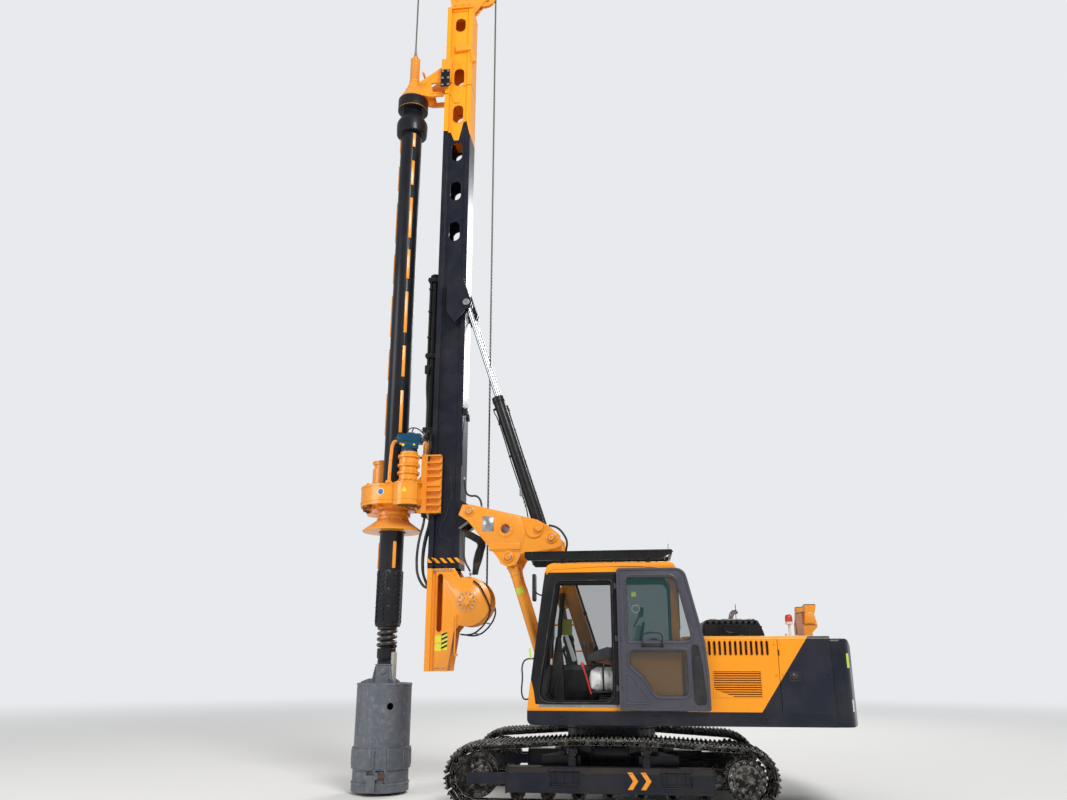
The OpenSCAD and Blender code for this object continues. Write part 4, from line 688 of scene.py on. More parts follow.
def make_tracks():
    spots = chain_line(SHOES)
    pitch = math.dist(spots[0], spots[1])
    shoe = track_shoe(pitch)
    finished("track_shoes", copies(shoe, shoe_places(-1) + shoe_places(1)), "undercarriage", track_steel,
             smooth=25, stands_for=["track_loops"])


def make_frame_details():
    parts = []
    # Idler's dished cover and hub cap, sprocket's bolted cover
    x0, x1 = SLEW_X - WHEEL_X, SLEW_X + WHEEL_X
    face = -TRACK_Y - 0.08
    parts.append(turned([(0.0, 0.050), (0.060, 0.050), (0.070, 0.042), (0.075, 0.026), (0.150, 0.022), (0.196, 0.012),
                         (0.204, 0.0), (0.0, 0.0)], (x0, face, WHEEL_Z), (0, -1, 0)))
    parts.append(bolt_circle((x0, face - 0.024, WHEEL_Z), 0.115, 6, (0, -1, 0), 0.012))
    hub = -TRACK_Y - 0.195
    parts.append(turned([(0.0, 0.026), (0.100, 0.024), (0.150, 0.010), (0.158, 0.0), (0.0, 0.0)], (x1, hub, WHEEL_Z),
                        (0, -1, 0)))
    parts.append(bolt_circle((x1, hub - 0.010, WHEEL_Z), 0.128, 9, (0, -1, 0), 0.011))
    parts.append(bolt_circle((x1, -TRACK_Y - 0.165, WHEEL_Z), 0.192, 15, (0, -1, 0), 0.014))
    near = joined(parts)
    finished("wheel_covers", mirrored(near), "undercarriage", track_steel)

    # Side frame: a lip along its foot, end plates, gussets and the rims of its two step pockets
    parts = []
    left, right = SLEW_X - BEAM_HALF, SLEW_X + BEAM_HALF
    parts.append(block((left, BEAM_Y - 0.012, 0.216), (right, BEAM_Y + 0.001, 0.236), 0.004))
    for x in (left - 0.004, right - 0.012):
        parts.append(plate([(-1.302, 0.205), (-1.302, 0.450), (-1.19, 0.515), (-1.01, 0.515), (-0.898, 0.450),
                            (-0.898, 0.205)], x, x + 0.016, "x", 0.002))
    for x in (SLEW_X - 0.545, SLEW_X + 0.820):
        rim = [(x - 0.190, 0.500), (x + 0.190, 0.500), (x + 0.190, 0.330), (x + 0.150, 0.290), (x - 0.165, 0.290),
               (x - 0.190, 0.330)]
        parts.append(bead(softened(rim, 0.02), BEAM_Y - 0.002, 0.006))
        tread = block((x - 0.165, BEAM_Y + 0.002, 0.305), (x + 0.165, BEAM_Y + 0.037, 0.317), 0.002)
        parts.append(tread)
        parts.append(copies(bar((0, 0, 0), (0, 0, 0.006), 0.008, 8),
                            [(x - 0.15 + 0.03 * k, BEAM_Y + 0.020, 0.317) for k in range(11)]))
        for k in range(3):
            parts.append(block((x - 0.12 + 0.11 * k, BEAM_Y + 0.030, 0.330), (x - 0.112 + 0.11 * k, BEAM_Y + 0.041, 0.480)))
    # Slot, grease valve's cover, and the weld along the shoulder
    parts.append(plate([(0.822, 0.322), (0.822, 0.415), (0.868, 0.415), (0.868, 0.322)], BEAM_Y - 0.006, BEAM_Y + 0.001,
                       edge=0.006))
    parts.append(bolts([(0.832, BEAM_Y - 0.006, 0.334), (0.858, BEAM_Y - 0.006, 0.403)], 0.006))
    parts.append(weld_run((left + 0.02, BEAM_Y + 0.002, 0.441), (right - 0.02, BEAM_Y + 0.002, 0.441)))
    finished("side_frame_details", mirrored(joined(parts)), "undercarriage", paint_navy)

    # Double chevron on each side frame
    parts = []
    for x in (0.520, 0.680):
        parts.append(plate([(x, 0.268), (x + 0.062, 0.268), (x + 0.130, 0.366), (x + 0.062, 0.464), (x, 0.464),
                            (x + 0.068, 0.366)], BEAM_Y - 0.0015, BEAM_Y - 0.0002, edge=0.0))
    finished("chevrons", mirrored(joined(parts)), "undercarriage", paint_orange)
    # Lower rollers' flanges and end collars, and the mounting screws of carrier rollers
    parts = []
    for k in range(7):
        x = SLEW_X - BEAM_HALF + 0.130 + (2 * BEAM_HALF - 0.26) / 6 * k
        for y in (-TRACK_Y - 0.083, -TRACK_Y + 0.071):
            parts.append(bar((x, y, 0.191), (x, y + 0.012, 0.191), 0.088, 28, 0.003))
        parts.append(bar((x, -TRACK_Y - 0.120, 0.191), (x, -TRACK_Y - 0.092, 0.191), 0.046, 16, 0.004))
    for x in (SLEW_X - CARRIER_X, SLEW_X + CARRIER_X):
        parts.append(bar((x, -TRACK_Y - 0.072, 0.683), (x, -TRACK_Y - 0.060, 0.683), 0.040, 16, 0.004))
    finished("roller_details", mirrored(joined(parts)), "undercarriage", cast_black)
    # Slewing ring's screws and the car body's cover plates
    parts = [bolt_circle((SLEW_X, 0, 0.900), 0.612, 40, (0, 0, -1), 0.014)]
    for side in (-1, 1):
        parts.append(block((SLEW_X - 0.25, side * 0.621 - 0.006, 0.50), (SLEW_X + 0.25, side * 0.621 + 0.006, 0.70), 0.004))
        parts.append(bolts([(SLEW_X + u, side * 0.627, v) for u in (-0.22, 0, 0.22) for v in (0.52, 0.68)], 0.012,
                           along=(0, side, 0)))
    finished("car_body_details", parts, "undercarriage", paint_navy)


# Cab

CAB_Y, CAB_FAR = -1.3252, -0.45       # outer faces of the near wall and of the wall beside the mast
CAB_BACK = SLEW_X + 0.940
DOOR_OUT, DOOR_IN = -1.4252, -1.3902     # faces of the folded-back door


def sx(x):
    """A place measured back from the slewing axis."""
    return SLEW_X + x


def cab_front(z):
    """Front face of the cab at a height: it leans back."""
    return sx(-1.007) + 0.236 * (z - 1.165) / 1.725


def softened(points, radii, steps=5):
    """An outline with its corners rounded, by one radius or by one for each corner."""
    made = []
    for k, point in enumerate(points):
        r = radii[k] if isinstance(radii, (list, tuple)) else radii
        before, corner, after = Vector(points[k - 1]), Vector(point), Vector(points[(k + 1) % len(points)])
        u, v = (before - corner).normalized(), (after - corner).normalized()
        half = u.angle(v) / 2
        if r <= 0 or half > 1.54:
            made.append(tuple(corner))
            continue
        reach = min(r / math.tan(half), 0.48 * (before - corner).length, 0.48 * (after - corner).length)
        for n in range(steps + 1):
            t = n / steps
            made.append(tuple((1 - t) ** 2 * (corner + u * reach) + 2 * t * (1 - t) * corner + t * t * (corner + v * reach)))
    return made


def grown(points, by):
    """An outline set off by a width, outwards or, below 0, inwards."""
    area = sum(a[0] * b[1] - b[0] * a[1] for a, b in zip(points, points[1:] + points[:1]))
    side = 1 if area > 0 else -1
    made = []
    for k, point in enumerate(points):
        before, here, after = Vector(points[k - 1]), Vector(point), Vector(points[(k + 1) % len(points)])
        u, v = (here - before).normalized(), (after - here).normalized()
        n, m = Vector((u.y, -u.x)) * side, Vector((v.y, -v.x)) * side
        bisector = (n + m).normalized()
        made.append(tuple(here + bisector * by / max(0.3, bisector.dot(n))))
    return made


def cut(piece, *tools):
    """Takes the shapes of the tools out of the piece."""
    for tool in tools:
        modify(piece, "BOOLEAN", object=tool, operation="DIFFERENCE", solver="EXACT")
        bpy.data.objects.remove(tool)
    return piece


def ring(outer, inner, low, high, axis="y", edge=0.003):
    """A flat frame between two outlines."""
    piece = cut(plate(outer, low, high, axis, 0), plate(inner, low - 0.05, high + 0.05, axis, 0))
    return rounded(piece, edge, 2, 50)


def bead(points, y, r, sides=8):
    """A closed rubber or weld bead along an outline on a face at y."""
    return hose([(u, y, v) for u, v in points], r, sides, closed=True, straight=True)


def kept(piece, tool):
    """The part of the piece that lies inside the tool."""
    modify(piece, "BOOLEAN", object=tool, operation="INTERSECT", solver="EXACT")
    bpy.data.objects.remove(tool)
    return piece


def circle_line(x, z, r, count=32):
    """Points on a circle, as an outline."""
    return [(x + r * math.cos(math.tau * k / count), z + r * math.sin(math.tau * k / count)) for k in range(count)]


def cushion(name, low, high, swell, body, finish, seams=(), tilt=0.0):
    """A stuffed pad: a block cut a little small, remeshed, blown up as cloth, with its sewn channels pulled in."""
    middle = (Vector(low) + Vector(high)) / 2
    bpy.ops.mesh.primitive_cube_add(size=1, location=middle)
    pad = bpy.context.object
    pad.scale = [b - a - 0.016 for a, b in zip(low, high)]
    settle(pad)
    rounded(pad, 0.022, 3)
    modify(pad, "REMESH", mode="VOXEL", voxel_size=0.009)
    cloth = pad.modifiers.new("air", "CLOTH")
    cloth.settings.use_pressure = True
    cloth.settings.uniform_pressure_force = 4.0
    cloth.settings.effector_weights.gravity = 0.0
    bpy.context.view_layer.objects.active = pad
    rest = [v.co.copy() for v in pad.data.vertices]
    for frame_number in range(1, 21):
        bpy.context.scene.frame_set(frame_number)
    bpy.ops.object.modifier_apply(modifier=cloth.name)
    bpy.context.scene.frame_set(1)
    for v, was in zip(pad.data.vertices, rest):
        step = v.co - was
        if step.length > swell:
            v.co = was + step * (swell / step.length)
    # Sewn channels: a shallow dip beside each seam line, at x from the pad's front
    for v in pad.data.vertices:
        for seam in seams:
            away = abs(v.co.x - middle.x - seam)
            if away < 0.018:
                v.co.z -= 0.010 * (1 - away / 0.018) * (1 if v.co.z > middle.z else 0)
    if tilt:
        spin = Matrix.Translation(middle) @ Matrix.Rotation(tilt, 4, "Y") @ Matrix.Translation(-middle)
        pad.data.transform(spin)
    modify(pad, "SUBSURF", levels=1, render_levels=1)
    finished(name, pad, body, finish, smooth=60)
    return pad


def make_cab():
    # Black frame with big soft corners, laid round the door opening, and its rubber seal
    z0, z1 = 1.245, 2.780
    opening = [(cab_front(z0) + 0.100, z0), (cab_front(z1) + 0.130, z1 - 0.060), (cab_front(z1) + 0.190, z1),
               (sx(0.120), z1), (sx(0.120), z0)]
    outer = [(cab_front(z0) + 0.040, z0 + 0.300), (cab_front(z1) + 0.050, z1 - 0.02), (cab_front(z1) + 0.150, z1 + 0.078),
             (sx(0.165), z1 + 0.078), (sx(0.165), z0 - 0.004), (cab_front(z0) + 0.120, z0 - 0.004)]
    inner = softened(grown(opening, -0.006), [0.17, 0.05, 0.16, 0.06, 0.17], 7)
    frame_ring = ring(softened(outer, [0.05, 0.10, 0.12, 0.02, 0.02, 0.05]), inner, CAB_Y - 0.006, CAB_Y + 0.040)
    inset = ring(softened(grown(opening, -0.003), [0.17, 0.05, 0.16, 0.06, 0.17], 7),
                 softened(grown(opening, -0.045), [0.15, 0.05, 0.14, 0.05, 0.15], 7), CAB_Y + 0.044, CAB_Y + 0.060)
    finished("door_frame", [frame_ring, inset], "upper", paint_black)
    seal = bead(softened(grown(opening, -0.016), [0.16, 0.05, 0.15, 0.05, 0.16], 7), CAB_Y - 0.002, 0.010)
    seams = [hose([(CAB_BACK + 0.002, y, z) for y, z in ((-1.215, 2.150), (-1.215, 2.760), (-0.560, 2.760),
                                                         (-0.560, 2.150))], 0.012, 8, closed=True, straight=True)]
    far = [(cab_front(1.70) + 0.110, 1.70), (cab_front(2.78) + 0.130, 2.78), (sx(0.780), 2.78), (sx(0.840), 2.70),
           (sx(0.840), 1.90), (sx(0.200), 1.70)]
    seams.append(bead(far, CAB_FAR + 0.002, 0.012))
    for low, high in ((1.560, 2.760), (1.270, 1.500)):
        seams.append(hose([(cab_front(low) - 0.002, -1.235, low), (cab_front(high) - 0.002, -1.235, high),
                           (cab_front(high) - 0.002, -0.540, high), (cab_front(low) - 0.002, -0.540, low)], 0.011, 8,
                          closed=True, straight=True))
    finished("window_seals", [seal] + seams, "upper", rubber)

    # Sill: tread strip with a ribbed grip, and the orange edge under it
    parts = [block((sx(-0.86), CAB_Y - 0.001, 1.206), (sx(0.150), CAB_Y + 0.048, 1.243), 0.004)]
    for k in range(26):
        x = sx(-0.80) + 0.035 * k
        parts.append(block((x, CAB_Y + 0.004, 1.242), (x + 0.014, CAB_Y + 0.042, 1.247), 0.001, 1))
    finished("sill", parts, "upper", pin_steel)

    # Roof: drip rails along both sides, stiffening swages and a sun hatch
    parts = []
    for y in (CAB_Y - 0.002, CAB_FAR + 0.002):
        parts.append(hose([(cab_front(2.80) + 0.03, y, 2.845), (cab_front(2.87) + 0.075, y, 2.895),
                           (sx(-0.50), y, 2.918), (sx(0.70), y, 2.918), (sx(0.915), y, 2.870)], 0.007, 8))
    parts.append(block((sx(-0.35), -1.16, 2.996), (sx(0.45), -0.62, 3.016), 0.010, 3))
    for x in (-0.58, 0.62):
        parts.append(block((sx(x), -1.20, 2.997), (sx(x) + 0.10, -0.58, 3.006), 0.004))
    finished("roof_details", parts, "upper", paint_orange)

    # Guard over the roof: slats, fixing screws, lamp and thin aerial
    parts = []
    for k in range(34):
        x = sx(-0.97) + 0.052 * k
        parts.append(block((x, CAB_Y - 0.010, 3.060), (x + 0.008, CAB_Y - 0.0045, 3.128), 0.001, 1))
    parts.append(block((sx(-1.035), CAB_Y - 0.012, 3.128), (sx(0.870), CAB_Y + 0.038, 3.143), 0.003))
    parts.append(plate([(sx(-1.040), 3.066), (sx(-1.040), 3.120), (sx(-0.93), 3.120), (sx(-0.90), 3.044),
                        (sx(-1.0), 3.034)], CAB_Y - 0.014, CAB_Y - 0.004))
    parts.append(bolts([(sx(x), CAB_Y - 0.005, 3.05) for x in (-0.55, -0.53, 0.57, 0.59)], 0.008))
    parts.append(hose([(sx(0.84), -1.22, 3.13), (sx(0.845), -1.22, 3.19), (sx(0.848), -1.22, 3.235)], 0.004, 6))
    for y in (-1.20, -0.56):
        parts.append(block((sx(-1.036), y - 0.055, 3.075), (sx(-0.985), y + 0.055, 3.145), 0.012, 3))
    finished("guard_details", parts, "upper", paint_black)
    parts = [block((sx(-1.0395), y - 0.046, 3.083), (sx(-1.034), y + 0.046, 3.137), 0.006) for y in (-1.20, -0.56)]
    finished("roof_lamp_lenses", parts, "upper", lamp_clear)

    # Door: a pressed skin with a raised rim, ridges round its windows, a folded corner panel and a lock strip
    skin = softened([(sx(0.160), 1.177), (sx(0.160), 2.905), (sx(1.025), 2.905), (sx(1.238), 2.000), (sx(1.270), 1.600),
                     (sx(1.270), 1.177)], [0.03, 0.05, 0.16, 0.1, 0.2, 0.03], 6)
    upper = softened([(sx(0.285), 2.005), (sx(0.285), 2.792), (sx(0.905), 2.792), (sx(1.085), 2.005)],
                     [0.06, 0.06, 0.13, 0.07], 6)
    lower = softened([(sx(0.300), 1.885), (sx(0.300), 1.720), (sx(0.455), 1.585), (sx(0.590), 1.385), (sx(0.650), 1.350),
                      (sx(1.010), 1.350), (sx(1.010), 1.885)], [0.05, 0.05, 0.06, 0.08, 0.06, 0.07, 0.05], 5)
    panel = cut(plate(skin, DOOR_OUT, DOOR_IN, "y", 0), plate(upper, DOOR_OUT - 0.1, DOOR_IN + 0.1, "y", 0),
                plate(lower, DOOR_OUT - 0.1, DOOR_IN + 0.1, "y", 0))
    rounded(panel, 0.003, 2, 50)
    parts = [panel, ring(skin, softened(grown([(sx(0.160), 1.177), (sx(0.160), 2.905), (sx(1.025), 2.905),
                                               (sx(1.238), 2.000), (sx(1.270), 1.600), (sx(1.270), 1.177)], -0.030),
                                        [0.03, 0.05, 0.14, 0.1, 0.2, 0.03], 6), DOOR_OUT - 0.010, DOOR_OUT + 0.004,
                         edge=0.004)]
    for outline in (upper, lower):
        parts.append(bead(grown(outline, 0.026), DOOR_OUT + 0.001, 0.011, 10))
    # Folded corner below the lower window
    corner = softened([(sx(0.245), 1.255), (sx(0.245), 1.600), (sx(0.300), 1.600), (sx(0.530), 1.300), (sx(0.530), 1.255)],
                      [0.03, 0.03, 0.02, 0.03, 0.02])
    parts.append(bead(corner, DOOR_OUT + 0.002, 0.009, 10))
    parts.append(plate(softened(grown([(sx(0.245), 1.255), (sx(0.245), 1.590), (sx(0.300), 1.590), (sx(0.520), 1.300),
                                       (sx(0.520), 1.255)], -0.022), 0.02), DOOR_OUT - 0.004, DOOR_OUT + 0.002, edge=0.003))
    for z in (1.4, 2.0, 2.65):
        parts.append(bar((sx(0.135), -1.375, z), (sx(0.135), -1.375, z + 0.070), 0.011, 16, 0.002))
        parts.append(block((sx(0.135), -1.386, z + 0.004), (sx(0.185), -1.3765, z + 0.066), 0.002))
        parts.append(bolts([(sx(0.205), DOOR_OUT + 0.001, z + 0.015), (sx(0.205), DOOR_OUT + 0.001, z + 0.055)], 0.008))
    finished("door_panel", parts, "cab_door", paint_grey, stands_for=["cab_door"])
    parts = [bead(grown(outline, 0.004), DOOR_OUT + 0.010, 0.009) for outline in (upper, lower)]
    finished("door_window_seals", parts, "cab_door", rubber)
    # Black lock strip with its latch, and the bent grab bar across the window
    strip = softened([(sx(1.075), 1.960), (sx(1.060), 1.900), (sx(1.068), 1.300), (sx(1.100), 1.245), (sx(1.205), 1.245),
                      (sx(1.225), 1.300), (sx(1.195), 1.700), (sx(1.150), 1.960)], 0.04)
    parts = [plate(strip, DOOR_OUT - 0.005, DOOR_OUT + 0.003, edge=0.004),
             ring(softened([(sx(1.085), 1.835), (sx(1.085), 1.950), (sx(1.150), 1.950), (sx(1.165), 1.835)], 0.02),
                  softened([(sx(1.098), 1.850), (sx(1.098), 1.937), (sx(1.140), 1.937), (sx(1.150), 1.850)], 0.015),
                  DOOR_OUT - 0.014, DOOR_OUT - 0.003, edge=0.003),
             block((sx(1.104), DOOR_OUT - 0.012, 1.862), (sx(1.134), DOOR_OUT - 0.004, 1.915), 0.004),
             hose([(sx(0.468), DOOR_OUT - 0.001, 1.945), (sx(0.468), DOOR_OUT - 0.028, 1.945),
                   (sx(0.470), DOOR_OUT - 0.036, 1.962), (sx(0.474), DOOR_OUT - 0.037, 2.070), (sx(0.490), DOOR_OUT - 0.037, 2.088),
                   (sx(0.690), DOOR_OUT - 0.037, 2.088), (sx(0.706), DOOR_OUT - 0.037, 2.070),
                   (sx(0.710), DOOR_OUT - 0.036, 1.962), (sx(0.712), DOOR_OUT - 0.028, 1.945),
                   (sx(0.712), DOOR_OUT - 0.001, 1.945)], 0.008, 10),
             block((sx(0.448), DOOR_OUT - 0.006, 1.925), (sx(0.732), DOOR_OUT + 0.002, 1.962), 0.006)]
    parts.append(bolts([(sx(0.50), DOOR_OUT - 0.006, 1.943), (sx(0.68), DOOR_OUT - 0.006, 1.943)], 0.007))
    finished("door_fittings", parts, "cab_door", plastic)
    parts = [plate(softened([(sx(0.345), 2.545), (sx(0.345), 2.605), (sx(0.405), 2.605), (sx(0.405), 2.545)], 0.008),
                   -1.4045, -1.4030, edge=0)]
    finished("door_stickers", parts, "cab_door", mark_lime)
    finished("door_sticker_ring", ring([(sx(0.395) + 0.052 * math.cos(a), 2.395 + 0.052 * math.sin(a))
                                        for a in [math.tau * k / 32 for k in range(32)]],
                                       [(sx(0.395) + 0.045 * math.cos(a), 2.395 + 0.045 * math.sin(a))
                                        for a in [math.tau * k / 32 for k in range(32)]], -1.4045, -1.4030, edge=0),
             "cab_door", mark_white)


def make_cab_inside():
    # Seat: base with bellows, stuffed cushion and back under a pale dust cover, headrest, armrests
    parts = [block((sx(-0.12), -1.10, 1.210), (sx(0.32), -0.66, 1.300), 0.02),
             block((sx(-0.20), -1.12, 1.365), (sx(0.34), -0.64, 1.400), 0.015)]
    for k in range(2):
        parts.append(block((sx(-0.105), -1.085, 1.300 + 0.030 * k), (sx(0.305), -0.675, 1.325 + 0.030 * k), 0.011, 3))
    parts.append(hose([(sx(0.36), -0.88, 2.20), (sx(0.41), -0.88, 2.27), (sx(0.43), -0.88, 2.33)], 0.012))
    for y in (-1.155, -0.625):
        parts.append(block((sx(0.00), y - 0.022, 1.805), (sx(0.32), y + 0.022, 1.850), 0.016, 3))
        parts.append(bar((sx(0.31), y, 1.45), (sx(0.31), y, 1.82), 0.015, 12))
    parts.append(plate(softened([(sx(0.310), 1.500), (sx(0.350), 1.500), (sx(0.510), 2.230), (sx(0.480), 2.260)], 0.02),
                       -1.10, -0.67, edge=0.012))
    finished("seat_frame", parts, "upper", plastic, stands_for=["seat"])
    cushion("seat_cushion", (sx(-0.225), -1.120, 1.410), (sx(0.300), -0.645, 1.660), 0.030, "upper", cover_film,
            seams=(-0.09, 0.09))
    cushion("seat_back", (sx(0.325), -1.10, 1.600), (sx(0.425), -0.670, 2.240), 0.022, "upper", cover_film, tilt=0.20)
    cushion("headrest", (sx(0.425), -0.990, 2.305), (sx(0.500), -0.790, 2.455), 0.015, "upper", seat_cloth, tilt=0.15)
    finished("seat_cover_band", hose([(sx(-0.045), y, z) for y, z in ((-1.10, 1.405), (-1.150, 1.440), (-1.158, 1.530),
                                                                       (-1.150, 1.640), (-1.08, 1.695), (-0.88, 1.705),
                                                                       (-0.70, 1.690))], 0.012, 8), "upper", plastic)

    # Side consoles with their joysticks, gaiters and the red safety lever
    parts, pale = [], []
    for y in (-1.245, -0.595):
        if y < -1.0:
            # The near one is a slim arm, and leaves the seat in view
            arm = softened([(sx(-0.270), 1.770), (sx(-0.255), 1.830), (sx(-0.150), 1.880), (sx(0.02), 1.935), (sx(0.12), 1.905),
                            (sx(0.12), 1.800), (sx(-0.12), 1.755)], 0.03)
            parts.append(plate(arm, y + 0.006, y + 0.094, edge=0.014, segments=3))
            parts.append(hose([(sx(0.06), y + 0.05, 1.82), (sx(0.10), y + 0.08, 1.60), (sx(0.12), y + 0.10, 1.39)], 0.024, 12))
        body = softened([(sx(-0.255), 1.215), (sx(-0.275), 1.560), (sx(-0.200), 1.725), (sx(-0.08), 1.735),
                         (sx(0.115), 1.660), (sx(0.115), 1.215)], [0.03, 0.09, 0.06, 0.06, 0.05, 0.03])
        if y > -1.0:
            parts.append(plate(body, y + 0.006, y + 0.094, edge=0.012, segments=3))
        grip = [(0.0, 0.0), (0.034, 0.0), (0.030, 0.012), (0.033, 0.022), (0.024, 0.036), (0.026, 0.044), (0.014, 0.060),
                (0.013, 0.095), (0.021, 0.110), (0.025, 0.150), (0.022, 0.185), (0.012, 0.200), (0.0, 0.202)]
        parts.append(turned(grip, (sx(-0.20), y + 0.05, 1.722), (0.12, 0, 1), 20) if y > -1.0 else
                     turned(grip, (sx(-0.240), y + 0.05, 1.815), (-0.25, 0, 1), 20))
        if y > -1.0:
            pale.append(block((sx(-0.12), y + 0.015, 1.722), (sx(0.05), y + 0.085, 1.740), 0.008, 3))
            parts.append(copies(bar((0, 0, 0), (0, 0, 0.010), 0.008, 10),
                                [(sx(-0.10) + 0.032 * k, y + 0.035 + 0.03 * (k % 2), 1.735) for k in range(5)]))
    # Front column: display, cluster, trim panels, pedals and travel levers
    parts.append(plate(softened([(sx(-0.815), 1.215), (sx(-0.700), 2.080), (sx(-0.640), 2.080), (sx(-0.600), 1.700),
                                 (sx(-0.590), 1.215)], 0.04), -0.600, -0.505, edge=0.015, segments=3))
    parts.append(plate(softened([(sx(-0.790), 1.790), (sx(-0.770), 2.050), (sx(-0.735), 2.050), (sx(-0.745), 1.790)], 0.01),
                       -0.760, -0.560, edge=0.006))
    parts.append(hose([(sx(-0.66), -0.55, 2.06), (sx(-0.64), -0.56, 2.30), (sx(-0.60), -0.56, 2.66)], 0.030, 12))
    for y in (-0.945, -0.805):
        parts.append(block((sx(-0.770), y - 0.030, 1.232), (sx(-0.600), y + 0.075, 1.248), 0.006))
        parts.append(hose([(sx(-0.690), y + 0.02, 1.245), (sx(-0.670), y + 0.02, 1.45), (sx(-0.610), y + 0.02, 1.60),
                           (sx(-0.610), y + 0.02, 1.665)], 0.010, 10))
        parts.append(turned([(0, 0), (0.018, 0.0), (0.022, 0.03), (0.016, 0.06), (0, 0.066)], (sx(-0.610), y + 0.02, 1.655),
                            steps=16))
    # Low trim along the front, with the wiper's motor, and a rubber mat
    parts.append(plate(softened([(sx(-0.900), 1.212), (sx(-0.880), 1.330), (sx(-0.800), 1.360), (sx(-0.720), 1.212)], 0.03),
                       -1.200, -0.620, edge=0.01))
    parts.append(block((sx(-0.90), -1.26, 1.2105), (sx(0.10), -0.60, 1.222), 0.003))
    parts.append(hose([(sx(-0.79), -1.10, 1.36), (sx(-0.72), -1.06, 1.90), (sx(-0.67), -1.02, 2.30)], 0.006, 8))
    finished("cab_fittings", parts, "upper", plastic, stands_for=["controls"])
    pale.append(plate(softened([(-0.290, 2.098), (-0.236, 2.098), (-0.118, 1.760), (-0.180, 1.746)], 0.02), -0.640, -0.604,
                      edge=0.008))
    finished("cab_pale_trim", pale, "upper", grey_plastic)
    parts = [hose([(sx(-0.200), -1.21, 1.36), (sx(-0.250), -1.21, 1.54), (sx(-0.300), -1.21, 1.690)], 0.011, 10),
             turned([(0, 0), (0.020, 0.004), (0.024, 0.03), (0.018, 0.062), (0, 0.068)], (sx(-0.297), -1.21, 1.682),
                    (-0.3, 0, 1), 16)]
    finished("safety_lever", parts, "upper", lever_red)
    # Lining of the far wall below its window, its blank sheet, and the rear shelf
    parts = [block((sx(-0.60), -0.512, 1.215), (sx(0.88), -0.497, 1.640), 0.006),
             block((sx(0.62), -1.24, 1.212), (sx(0.885), -0.52, 1.760), 0.03, 3),
             block((sx(-0.60), -1.22, 2.940), (sx(0.86), -0.52, 2.953), 0.006)]
    parts.append(plate(softened([(sx(0.640), 1.400), (sx(0.640), 1.640), (sx(0.860), 1.640), (sx(0.860), 1.400)], 0.05),
                       -1.252, -1.240, edge=0.005))
    finished("cab_lining", parts, "upper", plastic)
    parts = [plate(softened([(0.780, 1.300), (0.760, 1.560), (0.860, 1.690), (0.980, 1.690), (0.980, 1.300)], 0.07), -1.200, -0.700,
                   edge=0.02, segments=3)]
    finished("rear_cover", parts, "upper", plastic)
    finished("blank_sheet", block((-0.385, -0.515, 2.094), (-0.189, -0.510, 2.310), 0.0), "upper", mark_olive)
    finished("pillar_mark", plate([(-0.672, 1.79), (-0.690, 1.92), (-0.664, 1.92), (-0.646, 1.79)], CAB_Y - 0.0015,
                                  CAB_Y + 0.001, edge=0), "upper", mark_lime)


